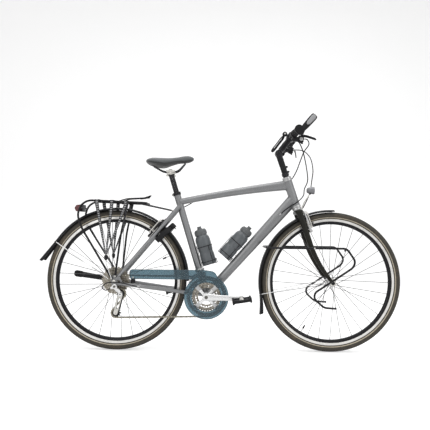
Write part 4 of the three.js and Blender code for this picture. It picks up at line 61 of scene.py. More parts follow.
SIDES = (("right", -1), ("left", 1))
WHEEL_RADIUS = 349
WHEELBASE = 1070
BRACKET_DROP = 72
RAKE = 44
HEAD_LOW = 409
HEAD_TOP = HEAD_LOW + 148
BRAKE_BOSS = 278
CHAIN_PITCH = 12.7
LOCK_RISE = 44.5
FORWARD = Vector((1, 0, 0))
ACROSS = Vector((0, 1, 0))
UPRIGHT = Vector((0, 0, 1))


def spot(x, y, z):
    return Vector((x, y, z))


def tilted(degrees):
    """The way that leans back from the ground at this angle."""
    return Vector((-math.cos(math.radians(degrees)), 0, math.sin(math.radians(degrees))))


REAR_AXLE = spot(0, 0, WHEEL_RADIUS)
FRONT_AXLE = spot(WHEELBASE, 0, WHEEL_RADIUS)
BRACKET = spot(450, 0, WHEEL_RADIUS - BRACKET_DROP)
SEAT_UP = tilted(73)
HEAD_UP = tilted(71)
HEAD_FORWARD = spot(HEAD_UP.z, 0, -HEAD_UP.x)
STEERING_FOOT = FRONT_AXLE - HEAD_FORWARD * RAKE


def on_seat(height, forward=0.0, y=0.0):
    return BRACKET + SEAT_UP * height + spot(forward * SEAT_UP.z, y, -forward * SEAT_UP.x)


def on_head(height, forward=0.0, y=0.0):
    return STEERING_FOOT + HEAD_UP * height + HEAD_FORWARD * forward + spot(0, y, 0)


STAY_REACH = (on_seat(466) - REAR_AXLE).length
STAY_UP = (on_seat(466) - REAR_AXLE).normalized()
STAY_BACK = spot(-STAY_UP.z, 0, STAY_UP.x)
DROPOUT_MIDDLE = 71.3
KNUCKLE = spot(7.2, 0, 326)
STAND_BOSS = spot(62, 0, 322)


def on_stay(reach, back=0.0, y=0.0):
    return REAR_AXLE + STAY_UP * reach + STAY_BACK * back + spot(0, y, 0)


def stay_half(reach):
    return DROPOUT_MIDDLE + (23 - DROPOUT_MIDDLE) * reach / STAY_REACH


def on_circle(centre, radius, degrees, y=0.0):
    angle = math.radians(degrees)
    return centre + spot(radius * math.cos(angle), y, radius * math.sin(angle))


# Closed forms

def standing(foot, way):
    """The matrix that stands an upright form on foot, pointing along way."""
    up = way.normalized()
    hint = FORWARD if abs(up.dot(ACROSS)) > 0.95 else ACROSS
    side = hint.cross(up).normalized()
    turn = Matrix((side, up.cross(side), up)).transposed().to_4x4()
    return Matrix.Translation(foot) @ turn


def turned(profile, foot, way, steps, loop=False):
    """Spins (radius, height) pairs about the line from foot along way."""
    bm = bmesh.new()
    verts = [bm.verts.new((radius, 0, height)) for radius, height in profile]
    pairs = list(zip(verts, verts[1:])) + ([(verts[-1], verts[0])] if loop else [])
    edges = [bm.edges.new(pair) for pair in pairs]
    bmesh.ops.spin(
        bm, geom=verts + edges, cent=(0, 0, 0), axis=(0, 0, 1), angle=math.tau, steps=steps, use_merge=True
    )
    bmesh.ops.remove_doubles(bm, verts=bm.verts, dist=0.002)
    bm.transform(standing(foot, way))
    return bm


def sleeve(inner, outer, start, end, foot, way, ease, steps):
    """A ring between two heights above foot, or a disc where inner is 0, with its outer edges eased."""
    out, up = ease if isinstance(ease, tuple) else (ease, ease)
    profile = [(inner, start), (outer - out, start), (outer, start + up)]
    profile += [(outer, end - up), (outer - out, end), (inner, end)]
    return turned(profile, foot, way, steps, loop=inner > 0)


def rod(start, end, radius, ease, steps, end_radius=None):
    """A round bar with eased ends."""
    end_radius = radius if end_radius is None else end_radius
    length = (end - start).length
    ease = min(ease, radius * 0.4, end_radius * 0.4, length * 0.4)
    profile = [(0, 0), (radius - ease, 0), (radius, ease)]
    profile += [(end_radius, length - ease), (end_radius - ease, length), (0, length)]
    return turned(profile, start, end - start, steps)


def cross_rod(centre, from_y, to_y, radius, ease=0.6, steps=24):
    start, end = spot(centre.x, from_y, centre.z), spot(centre.x, to_y, centre.z)
    return rod(start, end, radius, ease, steps)


def pipe(points, radius, sides, closed=False, radii=None):
    """A round tube whose middle runs through the points."""
    line = bpy.data.curves.new("run", "CURVE")
    line.dimensions = "3D"
    line.bevel_depth = radius
    line.bevel_resolution = (sides - 4) // 2
    line.use_fill_caps = not closed
    run = line.splines.new("POLY")
    run.points.add(len(points) - 1)
    for i, place in enumerate(points):
        run.points[i].co = (*place, 1)
        run.points[i].radius = radii[i] if radii else 1
    run.use_cyclic_u = closed
    holder = bpy.data.objects.new("run", line)
    mesh = bpy.data.meshes.new_from_object(holder)
    bpy.data.objects.remove(holder)
    bpy.data.curves.remove(line)
    bm = bmesh.new()
    bm.from_mesh(mesh)
    bpy.data.meshes.remove(mesh)
    return bm


def round_corner(before, corner, after, near, steps):
    """Points on the curve that cuts a corner, from near the corner on one side to near it on the other."""
    start = corner + (before - corner).normalized() * near
    end = corner + (after - corner).normalized() * near
    shares = [i / steps for i in range(steps + 1)]
    return [start * (1 - t) ** 2 + corner * 2 * t * (1 - t) + end * t * t for t in shares]


def rounded(corners, reach, steps):
    """The corners of a line of points, rounded."""
    points = [corners[0]]
    for before, corner, after in zip(corners, corners[1:], corners[2:]):
        near = min(reach, 0.49 * (corner - before).length, 0.49 * (corner - after).length)
        points += round_corner(before, corner, after, near, steps)
    return points + [corners[-1]]


def rounded_outline(corners, reach):
    """A closed outline of pairs, with its corners rounded."""
    corners = [Vector(pair) for pair in corners]
    points = []
    for before, corner, after in zip(corners[-1:] + corners[:-1], corners, corners[1:] + corners[:1]):
        near = min(reach, 0.45 * (corner - before).length, 0.45 * (corner - after).length)
        points += round_corner(before, corner, after, near, 4)
    return [(p.x, p.y) for p in points]


def smooth_line(places, steps):
    """A smooth line through the places, its points about evenly spread."""
    p = [places[0] * 2 - places[1], *places, places[-1] * 2 - places[-2]]
    points = []
    for a, b, c, d in zip(p, p[1:], p[2:], p[3:]):
        for i in range(steps):
            t = i / steps
            points.append(0.5 * (
                2 * b + (c - a) * t + (2 * a - 5 * b + 4 * c - d) * t**2 + (3 * b - a - 3 * c + d) * t**3
            ))
    return points + [places[-1]]


def lofted(stations, sides, power):
    """Skins rings that each have a centre and two half axes. A power below 1 squares them."""
    bm = bmesh.new()
    rings = []
    for centre, half_a, half_b in stations:
        verts = bmesh.ops.create_circle(bm, cap_ends=False, segments=sides, radius=1)["verts"]
        for v in verts:
            c, s = (math.copysign(abs(w) ** power, w) for w in v.co.xy)
            v.co = centre + half_a * c + half_b * s
        rings.append(list({edge for v in verts for edge in v.link_edges}))
    return skinned(bm, rings)


def stations_between(start, end, way_a, way_b, rows):
    """Rings for lofted: each row has a share of the way from start to end, and two half sizes."""
    return [(start.lerp(end, share), way_a * a, way_b * b) for share, a, b in rows]


def skinned(bm, rings):
    """Joins each ring of edges to the next and closes both ends."""
    for ring, following in zip(rings, rings[1:]):
        bmesh.ops.bridge_loops(bm, edges=ring + following)
    for ring in (rings[0], rings[-1]):
        bmesh.ops.edgeloop_fill(bm, edges=ring)
    return bm


def plate(outline, from_y, to_y, holes, edge):
    """A flat plate between two places across, from an outline in x and z, its edges eased."""
    bm = bmesh.new()
    edges = []
    for loop in (outline, *holes):
        verts = [bm.verts.new((x, from_y, z)) for x, z in loop]
        edges += [bm.edges.new((a, b)) for a, b in zip(verts, verts[1:] + verts[:1])]
    if holes:
        bmesh.ops.triangle_fill(bm, use_beauty=True, edges=edges)
    else:
        bmesh.ops.edgeloop_fill(bm, edges=edges)
    raised = bmesh.ops.extrude_face_region(bm, geom=bm.faces[:])["geom"]
    bmesh.ops.translate(
        bm, vec=(0, to_y - from_y, 0), verts=[v for v in raised if isinstance(v, bmesh.types.BMVert)],
    )
    bmesh.ops.recalc_face_normals(bm, faces=bm.faces)
    if edge:
        ease_edges(bm, edge, 1)
    return bm


def ease_edges(bm, size, segments):
    sharp = [e for e in bm.edges if len(e.link_faces) == 2 and e.calc_face_angle() > 0.6]
    bmesh.ops.bevel(
        bm, geom=sharp, offset=size, offset_type="OFFSET", affect="EDGES", segments=segments, profile=0.5,
        material=-1, clamp_overlap=True,
    )


def block(centre, size, edge, turn=0, segments=2):
    """A box with rounded edges. turn is its angle in the plane of the bicycle, in degrees."""
    bm = bmesh.new()
    bmesh.ops.create_cube(bm, size=1)
    bmesh.ops.scale(bm, vec=size, verts=bm.verts)
    ease_edges(bm, edge, segments)
    if turn:
        bmesh.ops.rotate(
            bm, cent=(0, 0, 0), matrix=Matrix.Rotation(math.radians(-turn), 3, "Y"), verts=bm.verts,
        )
    return placed(bm, centre)


def placed(form, place):
    bmesh.ops.translate(form, vec=place, verts=form.verts)
    return form


def arc(radius, start, end, steps, x=0.0, z=0.0):
    """Points on an arc, in x and z."""
    turns = [math.radians(start + (end - start) * i / steps) for i in range(steps + 1)]
    return [(x + radius * math.cos(t), z + radius * math.sin(t)) for t in turns]


def circle(radius, count, x=0.0, z=0.0, start=0.0):
    return arc(radius, start, start + 360, count, x, z)[:-1]


def bolt(head, way, radius, height):
    """A cap screw with its hexagon socket, the top of its head at head and pointing along way."""
    way = way.normalized()
    socket = radius * 0.55
    profile = [(0, -height * 0.5), (socket, -height * 0.5), (socket, 0)]
    profile += [(radius - 0.5, 0), (radius, -0.5), (radius, -height), (0, -height)]
    return turned(profile, head, way, 18)


class Shape:
    """Closed forms gathered into one piece, each with the number of its finish."""

    def __init__(self):
        self.bm = bmesh.new()

    def add(self, form, finish=0):
        for face in form.faces:
            face.material_index = finish
        mesh = bpy.data.meshes.new("form")
        form.to_mesh(mesh)
        form.free()
        self.bm.from_mesh(mesh)
        bpy.data.meshes.remove(mesh)
        return self


def shaped(*forms):
    shape = Shape()
    for form in forms:
        shape.add(form)
    return shape


def piece(name, shape, body, finishes, nodes, angle=38, paint=None):
    """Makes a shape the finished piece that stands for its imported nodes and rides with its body."""
    bm = shape.bm
    bmesh.ops.recalc_face_normals(bm, faces=bm.faces)
    if paint:
        for face in bm.faces:
            face.material_index = paint(face.calc_center_median(), face.normal)
    bm.transform(TO_ROW)
    mesh = bpy.data.meshes.new(name)
    bm.to_mesh(mesh)
    bm.free()
    made = bpy.data.objects.new(name, mesh)
    bpy.context.scene.collection.objects.link(made)
    for finish in finishes:
        mesh.materials.append(finish)
    mesh.polygons.foreach_set("use_smooth", [True] * len(mesh.polygons))
    mesh.set_sharp_from_angle(angle=math.radians(angle))
    if body:
        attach(made, body)
    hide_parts(*nodes)
    return made


# Finishes

class Finish:
    """A procedural material: tone that wanders, roughness that follows it, and a fine grain in the bump."""

    def __init__(
        self, name, colour, roughness, metallic=0.0, mottle=(45, 0.12), grain=(900, 0.12, 0.0003),
        sway=0.06,
    ):
        self.material = bpy.data.materials.new(name)
        self.material.use_nodes = True
        self.tree = self.material.node_tree
        self.shader = self.tree.nodes["Principled BSDF"]
        self.shader.inputs["Metallic"].default_value = metallic
        self.coords = self.tree.nodes.new("ShaderNodeTexCoord")
        scale, amount = mottle
        patches = self.noise(scale, 5, 0.6)
        dark = [c * (1 - amount) for c in colour]
        light = [min(1, c * (1 + amount)) for c in colour]
        self.tone = self.ramp(patches.outputs["Fac"], [(0.3, dark), (0.7, light)])
        self.link(self.tone, self.shader.inputs["Base Color"])
        spread = self.between(patches.outputs["Fac"], 0.3, 0.7, roughness - sway, roughness + sway)
        self.link(spread, self.shader.inputs["Roughness"])
        size, strength, depth = grain
        self.bump(self.noise(size, 3, 0.55).outputs["Fac"], strength, depth)

    def node(self, kind, **values):
        made = self.tree.nodes.new(kind)
        for key, value in values.items():
            if key in made.inputs:
                made.inputs[key].default_value = value
            else:
                setattr(made, key, value)
        return made

    def link(self, source, target):
        self.tree.links.new(source, target)

    def noise(self, scale, detail, rough, vector=None):
        made = self.node("ShaderNodeTexNoise", Scale=scale, Detail=detail, Roughness=rough)
        self.link(vector or self.coords.outputs["Object"], made.inputs["Vector"])
        return made

    def moved(self, move=(0, 0, 0), scale=(1, 1, 1)):
        made = self.node("ShaderNodeMapping", Location=move, Scale=scale)
        self.link(self.coords.outputs["Object"], made.inputs["Vector"])
        return made.outputs["Vector"]

    def ramp(self, source, stops):
        made = self.node("ShaderNodeValToRGB")
        while len(made.color_ramp.elements) < len(stops):
            made.color_ramp.elements.new(0.5)
        for element, (place, colour) in zip(made.color_ramp.elements, stops):
            element.position = place
            element.color = (*colour, 1)
        self.link(source, made.inputs["Fac"])
        return made.outputs["Color"]

    def between(self, source, low, high, to_low, to_high):
        made = self.node("ShaderNodeMapRange")
        for socket, value in zip(("From Min", "From Max", "To Min", "To Max"), (low, high, to_low, to_high)):
            made.inputs[socket].default_value = value
        self.link(source, made.inputs["Value"])
        return made.outputs["Result"]

    def math(self, operation, a, b=None):
        made = self.node("ShaderNodeMath", operation=operation)
        for socket, value in zip(made.inputs, (a, b)):
            if value is None:
                continue
            if isinstance(value, (int, float)):
                socket.default_value = value
            else:
                self.link(value, socket)
        return made.outputs["Value"]

    def bump(self, height, strength, depth):
        """Adds a layer of relief over what is there."""
        made = self.node("ShaderNodeBump", Strength=strength, Distance=depth)
        self.link(height, made.inputs["Height"])
        normal = self.shader.inputs["Normal"]
        if normal.is_linked:
            self.link(normal.links[0].from_socket, made.inputs["Normal"])
        self.link(made.outputs["Normal"], normal)
        return self

    def mix(self, amount, colour):
        """Lays a colour over the tone where amount is 1."""
        made = self.node("ShaderNodeMix", data_type="RGBA")
        self.link(amount, made.inputs[0])
        self.link(self.tone, made.inputs[6])
        made.inputs[7].default_value = (*colour, 1)
        self.tone = made.outputs[2]
        self.link(self.tone, self.shader.inputs["Base Color"])
        return self

    def worn(self, colour):
        """Rubs the raised edges to another colour."""
        shape = self.node("ShaderNodeNewGeometry")
        edge = self.between(shape.outputs["Pointiness"], 0.53, 0.6, 0, 0.7)
        patchy = self.between(self.noise(160, 4, 0.7).outputs["Fac"], 0.45, 0.6, 0, 1)
        return self.mix(self.math("MULTIPLY", edge, patchy), colour)

    def set(self, **values):
        for key, value in values.items():
            self.shader.inputs[key.replace("_", " ")].default_value = value
        return self

    def deep_black(self, **values):
        """Holds back the mirrored light, so that a black finish stays black."""
        return self.set(Specular_IOR_Level=0.14, **values)


def flaked_paint():
    """Metallic grey: fine flakes under a clear coat."""
    made = Finish(
        "frame_paint", (0.168, 0.17, 0.173), 0.36, 0.62, mottle=(9, 0.05), grain=(1500, 0.05, 0.0002),
    )
    flakes = made.node("ShaderNodeTexVoronoi", Scale=1400)
    made.link(made.coords.outputs["Object"], flakes.inputs["Vector"])
    sparkle = made.between(
        made.math("FRACT", made.math("MULTIPLY", flakes.outputs["Distance"], 7.0)), 0.6, 1, 0, 0.3,
    )
    made.mix(sparkle, (0.5, 0.51, 0.53))
    return made.set(Coat_Weight=0.35, Coat_Roughness=0.12)


def brushed(name, colour, roughness):
    """Metal with fine lines that run across its height."""
    made = Finish(name, colour, roughness, 0.95, mottle=(30, 0.08), grain=(1800, 0.05, 0.0001))
    lines = made.noise(160, 5, 0.6, made.moved(scale=(1, 1, 30)))
    return made.bump(lines.outputs["Fac"], 0.12, 0.0001)


def ringed(name, colour, roughness, centre, spacing):
    """Metal turned on a lathe: fine rings round an axle."""
    made = Finish(name, colour, roughness, 0.95, mottle=(25, 0.1), grain=(1500, 0.06, 0.0001))
    rings = made.node("ShaderNodeTexWave", wave_type="RINGS", rings_direction="Y", Scale=spacing)
    rings.inputs["Distortion"].default_value = 0.4
    made.link(made.moved(move=-(TO_ROW @ centre)), rings.inputs["Vector"])
    return made.bump(rings.outputs["Fac"], 0.25, 0.0001)


def wheel_angle(made, centre):
    """How far round the axle a point of the wheel is, and how far from the wheel's middle plane."""
    split = made.node("ShaderNodeSeparateXYZ")
    made.link(made.moved(move=-(TO_ROW @ centre)), split.inputs["Vector"])
    x, y, z = (split.outputs[i] for i in range(3))
    return made.math("ARCTAN2", z, x), y


def tread_rubber(name, centre):
    """Tread: slanted sipes and shoulder blocks, dust in the low places."""
    made = Finish(name, (0.035, 0.033, 0.029), 0.82, mottle=(22, 0.3), grain=(700, 0.5, 0.0004))
    angle, y = wheel_angle(made, centre)
    lean = made.math("MULTIPLY", made.math("ABSOLUTE", y), 26.0)
    cuts = made.math(
        "SINE", made.math("MULTIPLY", made.math("ADD", angle, made.math("MULTIPLY", lean, 0.12)), 110.0),
    )
    made.bump(made.between(cuts, -0.75, -0.35, 0, 1), 0.9, 0.0012)
    made.mix(made.between(made.noise(14, 6, 0.7).outputs["Fac"], 0.5, 0.75, 0, 0.35), (0.11, 0.09, 0.065))
    return made.set(Specular_IOR_Level=0.3)


def wall_rubber(name, centre):
    """Tyre wall: fine radial ribs, a little brown from use."""
    made = Finish(name, (0.05, 0.045, 0.037), 0.72, mottle=(30, 0.25), grain=(900, 0.3, 0.0002))
    angle, _ = wheel_angle(made, centre)
    made.bump(made.math("SINE", made.math("MULTIPLY", angle, 900.0)), 0.15, 0.0002)
    made.mix(made.between(made.noise(9, 6, 0.75).outputs["Fac"], 0.52, 0.72, 0, 0.5), (0.16, 0.115, 0.07))
    return made.set(Specular_IOR_Level=0.3)


def woven_strap():
    """Elastic braid, black with pale flecks in a zigzag, from the band's own length and width."""
    made = Finish("strap_braid", (0.018, 0.018, 0.02), 0.85, mottle=(60, 0.2), grain=(1200, 0.3, 0.0003))
    along = made.node("ShaderNodeAttribute", attribute_name="along").outputs["Fac"]
    aside = made.node("ShaderNodeAttribute", attribute_name="aside").outputs["Fac"]
    zigzag = made.math("PINGPONG", made.math("MULTIPLY", aside, 3.0), 1.0)
    rows = made.math(
        "SINE",
        made.math("MULTIPLY", made.math("ADD", along, made.math("MULTIPLY", zigzag, 0.005)), 560.0),
    )
    fleck = made.between(rows, 0.35, 0.6, 0, 1)
    middle = made.between(made.math("ABSOLUTE", aside), 0.5, 0.62, 0.9, 0)
    made.mix(made.math("MULTIPLY", fleck, middle), (0.55, 0.55, 0.56))
    ribs = made.math("SINE", made.math("MULTIPLY", along, 2600.0))
    return made.bump(ribs, 0.4, 0.0004)


def leather(name, colour):
    made = Finish(name, colour, 0.58, mottle=(12, 0.1), grain=(2600, 0.15, 0.0001))
    cells = made.node("ShaderNodeTexVoronoi", Scale=620, feature="DISTANCE_TO_EDGE")
    made.link(made.coords.outputs["Object"], cells.inputs["Vector"])
    made.bump(made.between(cells.outputs["Distance"], 0, 0.25, 0, 1), 0.35, 0.0004)
    return made.set(Sheen_Weight=0.15, Sheen_Roughness=0.5)


def clear_plastic(name, colour, roughness, clear):
    made = Finish(name, colour, roughness, mottle=(14, 0.06), grain=(300, 0.03, 0.0002), sway=0.03)
    return made.set(Transmission_Weight=clear, IOR=1.45)


frame_paint = flaked_paint().material
black_gloss = Finish(
    "black_paint", (0.009, 0.009, 0.01), 0.3, mottle=(20, 0.15),
).worn((0.1, 0.1, 0.11)).deep_black(Coat_Weight=0.05, Coat_Roughness=0.15).material
fork_paint = Finish(
    "fork_paint", (0.014, 0.0135, 0.0105), 0.4, 0.1, mottle=(16, 0.2),
).deep_black(Coat_Weight=0.06, Coat_Roughness=0.2).material
tube_black = Finish(
    "carrier_paint", (0.008, 0.008, 0.009), 0.42, mottle=(30, 0.2), grain=(1100, 0.3, 0.0003),
).worn((0.12, 0.12, 0.13)).deep_black().material
black_plastic = Finish(
    "moulded_black", (0.013, 0.013, 0.014), 0.52, mottle=(40, 0.15), grain=(1400, 0.35, 0.0003),
).deep_black().material
guard_black = Finish(
    "mudguard_black", (0.012, 0.012, 0.014), 0.36, mottle=(12, 0.15), grain=(220, 0.08, 0.0003),
).deep_black().material
grip_rubber = Finish(
    "grip_rubber", (0.018, 0.018, 0.019), 0.8, mottle=(50, 0.2), grain=(1600, 0.5, 0.0004),
).deep_black().material
grip_grey = Finish("grip_grey", (0.3, 0.3, 0.31), 0.6, mottle=(30, 0.1), grain=(1300, 0.4, 0.0003)).material
block_rubber = Finish(
    "block_rubber", (0.02, 0.02, 0.021), 0.75, mottle=(60, 0.2), grain=(1000, 0.5, 0.0004),
).deep_black().material
alloy = brushed("alloy", (0.62, 0.62, 0.62), 0.27).material
alloy_grey = brushed("alloy_grey", (0.4, 0.4, 0.4), 0.34).material
cast_alloy = Finish(
    "cast_alloy", (0.5, 0.49, 0.46), 0.36, 0.9, mottle=(50, 0.18), grain=(600, 0.2, 0.0002),
).worn((0.75, 0.74, 0.72)).material
spoke_steel = Finish("spoke_steel", (0.07, 0.07, 0.074), 0.35, 0.5, mottle=(80, 0.1)).material
bright_steel = Finish("bright_steel", (0.55, 0.55, 0.55), 0.25, 0.95, mottle=(80, 0.1)).material
dark_steel = Finish("dark_steel", (0.12, 0.115, 0.105), 0.4, 0.85, mottle=(60, 0.3)).material
cog_steel = Finish(
    "cog_steel", (0.17, 0.15, 0.12), 0.38, 0.85, mottle=(35, 0.35), grain=(700, 0.2, 0.0002),
).worn((0.5, 0.48, 0.43)).material
chain_steel = Finish("chain_steel", (0.17, 0.155, 0.12), 0.4, 0.85, mottle=(120, 0.35)).material
saddle_top = leather("saddle_cover", (0.082, 0.088, 0.092)).material
saddle_side = leather("saddle_side", (0.02, 0.021, 0.022)).material
strap_braid = woven_strap().material
guard_smoke = clear_plastic("guard_smoke", (0.11, 0.195, 0.24), 0.12, 0.74).material
bottle_smoke = clear_plastic("bottle_smoke", (0.12, 0.132, 0.142), 0.3, 0.4).material
bottle_cap = Finish("bottle_cap", (0.085, 0.09, 0.094), 0.45, mottle=(25, 0.12)).material
lamp_red = clear_plastic("lamp_red", (0.12, 0.006, 0.01), 0.14, 0.25).material
lamp_clear = clear_plastic("lamp_clear", (0.95, 0.96, 0.97), 0.05, 0.85).material
lamp_shell = Finish("lamp_shell", (0.2, 0.2, 0.21), 0.35, 0.5, mottle=(30, 0.12)).material
mirror = Finish("reflector", (0.85, 0.85, 0.86), 0.1, 1.0, mottle=(60, 0.05)).material
amber = clear_plastic("pedal_reflector", (0.8, 0.26, 0.02), 0.15, 0.3).material
wall_stripe = Finish("tyre_stripe", (0.42, 0.37, 0.28), 0.45, mottle=(60, 0.2)).material
rim_black = Finish("rim_black", (0.008, 0.008, 0.01), 0.3, mottle=(15, 0.15)).deep_black(
    Coat_Weight=0.08, Coat_Roughness=0.1,
).material
pad_rubber = Finish(
    "pad_rubber", (0.04, 0.038, 0.036), 0.8, mottle=(90, 0.2), grain=(900, 0.5, 0.0004),
).material


# Wheels

def tyre_section():
    """Half round casing with two grooves on each side of the tread's middle."""
    crown = []
    for i in range(37):
        y = 15.2 * (1 - i / 18)
        groove = 1.2 if any(abs(abs(y) - middle) < 0.95 for middle in (4.3, 9.8)) else 0.0
        crown.append((WHEEL_RADIUS - 6.4 * (abs(y) / 15.2) ** 2.3 - groove, y))
    wall = [
        (340.6, 16.8), (337.4, 18.3), (333, 18.95), (328.6, 18.5), (324.4, 16.7), (320.6, 13.9),
        (317.4, 11.5), (314, 10.2), (309, 9.8),
    ]
    return crown + [(r, -y) for r, y in wall] + wall[::-1]


def rim_section():
    half = [
        (316.2, 10.7), (316.2, 11.6), (315.7, 12), (304.6, 12), (304.1, 11.5), (303.4, 11.8),
        (298.6, 10.7), (293.4, 8.3), (290, 5.4), (288.8, 2.6),
    ]
    channel = [(310.5, -10.3), (307.6, -9), (306.6, 0), (307.6, 9), (310.5, 10.3)]
    return half + [(r, -y) for r, y in half[::-1]] + channel


def spoke_set(centre, flanges, start):
    """Three-cross lacing: each spoke with its bent head at the flange and its nipple in the rim."""
    shape = Shape()
    step = 360 / 16
    for index, (radius, offset) in enumerate(flanges):
        for i in range(16):
            pull = 1 if i % 2 == 0 else -1
            rim_angle = start + (i + index / 2) * step
            hub = on_circle(centre, radius - 3.6, rim_angle + pull * 3 * step, offset + pull * 2.4)
            end = on_circle(centre, 289.5, rim_angle, math.copysign(0.3, offset))
            way = (end - hub).normalized()
            shape.add(pipe([hub, end - way * 8], 1.3, 6))
            shape.add(rod(end - way * 13, end + way * 1.5, 1.9, 0.4, 8), 1)
            shape.add(rod(hub - ACROSS * pull * 3.4, hub + ACROSS * pull * 0.6, 1.7, 0.4, 8, end_radius=1.1))
    return shape


def hub_section(flanges, barrel, right_end, left_end):
    profile = [(5.4, -right_end), (barrel * 0.72, -right_end), (barrel * 0.78, -right_end + 1)]
    for radius, offset in sorted(flanges, key=lambda f: f[1]):
        half = [(barrel, 4.5), (barrel + 2, 2.6), (radius - 1, 1.6), (radius, 0.8)]
        profile += [(r, offset - out) for r, out in half]
        profile += [(r, offset + out) for r, out in half[::-1]]
    return profile + [(barrel * 0.78, left_end - 1), (barrel * 0.72, left_end), (5.4, left_end)]


def wheel(prefix, centre, flanges, barrel, ends, spoke_start, valve_angle):
    body = f"{prefix}_wheel"

    def tyre_paint(place, normal):
        out = math.hypot(place.x - centre.x, place.z - centre.z)
        if out > 340.4:
            return 0
        return 2 if 321.2 < out < 323.9 and abs(place.y) > 12 else 1

    tread = tread_rubber(f"{prefix}_tread", centre).material
    wall = wall_rubber(f"{prefix}_tyre_wall", centre).material
    tyre = shaped(turned(tyre_section(), centre, ACROSS, 144, loop=True))
    piece(
        f"{prefix}_tyre_skin", tyre, body, [tread, wall, wall_stripe], [f"{prefix}_tyre"], 50,
        tyre_paint,
    )

    track = ringed(f"{prefix}_brake_track", (0.6, 0.59, 0.57), 0.3, centre, 900).material

    def rim_paint(place, normal):
        out = math.hypot(place.x - centre.x, place.z - centre.z)
        return 1 if out > 304.2 and abs(place.y) > 11.2 else 0

    rim = shaped(turned(rim_section(), centre, ACROSS, 144, loop=True))
    piece(f"{prefix}_rim_hoop", rim, body, [rim_black, track], [f"{prefix}_rim"], 30, rim_paint)
    inner, outer = on_circle(centre, 252, valve_angle), on_circle(centre, 290, valve_angle)
    valve = Shape().add(rod(inner + (outer - inner) * 0.3, outer, 3, 0.4, 12))
    valve.add(rod(inner, inner + (outer - inner) * 0.5, 3.6, 0.8, 12, end_radius=4.2), 1)
    piece(f"{prefix}_valve", valve, body, [alloy, black_plastic], [f"{prefix}_rim"])

    laced = spoke_set(centre, flanges, spoke_start)
    piece(f"{prefix}_spokes", laced, body, [spoke_steel, alloy_grey], [f"{prefix}_hub"], 50)
    shell = shaped(turned(hub_section(flanges, barrel, *ends), centre, ACROSS, 48, loop=True))
    for radius, offset in flanges:
        for i in range(8):
            out = on_circle(centre, (radius + barrel) / 2 - 0.5, i * 45 + 11, offset)
            shell.add(rod(out - ACROSS * 1.95, out + ACROSS * 1.95, 1.6, 0.2, 10), 1)
    piece(f"{prefix}_hub_shell", shell, body, [alloy, dark_steel], [f"{prefix}_hub"])


wheel("rear", REAR_AXLE, [(24, -19), (24, 34)], 18, (24.4, 62.5), LOCK_RISE + 360 / 64, 25)
wheel("front", FRONT_AXLE, [(19, -34), (19, 34)], 14, (45, 45), 0, 240)


def axle(name, centre, span, thickness, body, finish):
    """Fixed axle: locknuts inside the ends and an acorn nut outside on the right."""
    reach = span / 2 + thickness + 0.3
    face = span / 2 - 0.3
    acorn = [(0, 8), (3.6, 7.6), (6.4, 6), (8.6, 4), (8.6, 0.8), (9.2, 0), (4.7, 0)]
    locknut = [(4.7, 0), (8.2, 0), (8.5, 1), (8.5, 4.5), (5, 4.5)]
    profile = [(radius, -reach - out) for radius, out in acorn]
    profile += [(radius, -face + deep) for radius, deep in locknut]
    profile += [(radius, face - deep) for radius, deep in locknut[::-1]]
    profile += [(4.7, reach + 2), (0, reach + 2)]
    piece(f"{name}_rod", shaped(turned(profile, centre, ACROSS, 24)), body, [finish], [name])


axle("rear_axle", REAR_AXLE, 135, 7, "frame", cast_alloy)
axle("front_axle", FRONT_AXLE, 100, 7, "steering", black_plastic)


def release_lever(name, centre, cam_y, way):
    """Cam barrel across the axle's end and the flat lever that closes it."""
    across = spot(-way.z, 0, way.x)
    middle = centre + ACROSS * cam_y
    shape = shaped(rod(middle - across * 8, middle + across * 8, 7.8, 1, 24))
    shape.add(rod(middle - across * 8.4, middle + across * 8.4, 3.4, 0.4, 16), 1)
    tip = middle + way * 57 + ACROSS * 4.8
    rows = ((0, 5, 2.8), (0.3, 4.5, 2.4), (0.6, 5, 2.4), (0.88, 6, 2.6), (0.97, 5, 2.2), (1, 2.4, 1))
    shape.add(lofted(stations_between(middle, tip, across, ACROSS, rows), 20, 0.8))
    piece(f"{name}_arm", shape, name, [alloy, dark_steel], [name])


release_lever("rear_release_lever", REAR_AXLE, 67.5 + 7 + 0.6 + 10, STAY_UP)
release_lever(
    "front_release_lever", FRONT_AXLE, 50 + 7 + 0.6 + 10,
    spot(math.cos(math.radians(214)), 0, math.sin(math.radians(214))),
)


# Frame

def tube_line(start, end, halves, end_halves, arch, steps, bend=1.0):
    """A tube whose section runs from one half depth and half width to another."""
    way = (end - start).normalized()
    depth_way = way.cross(ACROSS).normalized()
    stations = []
    for i in range(steps + 1):
        share = i / steps
        mix = share**bend
        depth = halves[0] + (end_halves[0] - halves[0]) * mix
        width = halves[1] + (end_halves[1] - halves[1]) * mix
        stations.append((
            start.lerp(end, share) + spot(0, 0, arch * 4 * share * (1 - share)), depth_way * depth,
            ACROSS * width,
        ))
    return lofted(stations, 36, 0.94)


def bead(start, way, half_depth, half_width, post, post_way, post_radius):
    """The weld where a tube meets a round post: its outline, carried along the tube to the post."""
    way, post_way = way.normalized(), post_way.normalized()
    depth_way = way.cross(ACROSS).normalized()
    points = []
    for i in range(64):
        t = math.tau * i / 64
        place = start + depth_way * (half_depth * math.cos(t)) + ACROSS * (half_width * math.sin(t))
        a = way - post_way * way.dot(post_way)
        b = (place - post) - post_way * (place - post).dot(post_way)
        qa, qb, qc = a.dot(a), 2 * a.dot(b), b.dot(b) - post_radius**2
        root = max(0, qb * qb - 4 * qa * qc)
        reach = (-qb - math.sqrt(root)) / (2 * qa)
        ripple = 0.25 * math.sin(i * math.tau / 64 * 40)
        points.append(place + way * (reach + ripple))
    return pipe(points, 1.7, 8, closed=True)


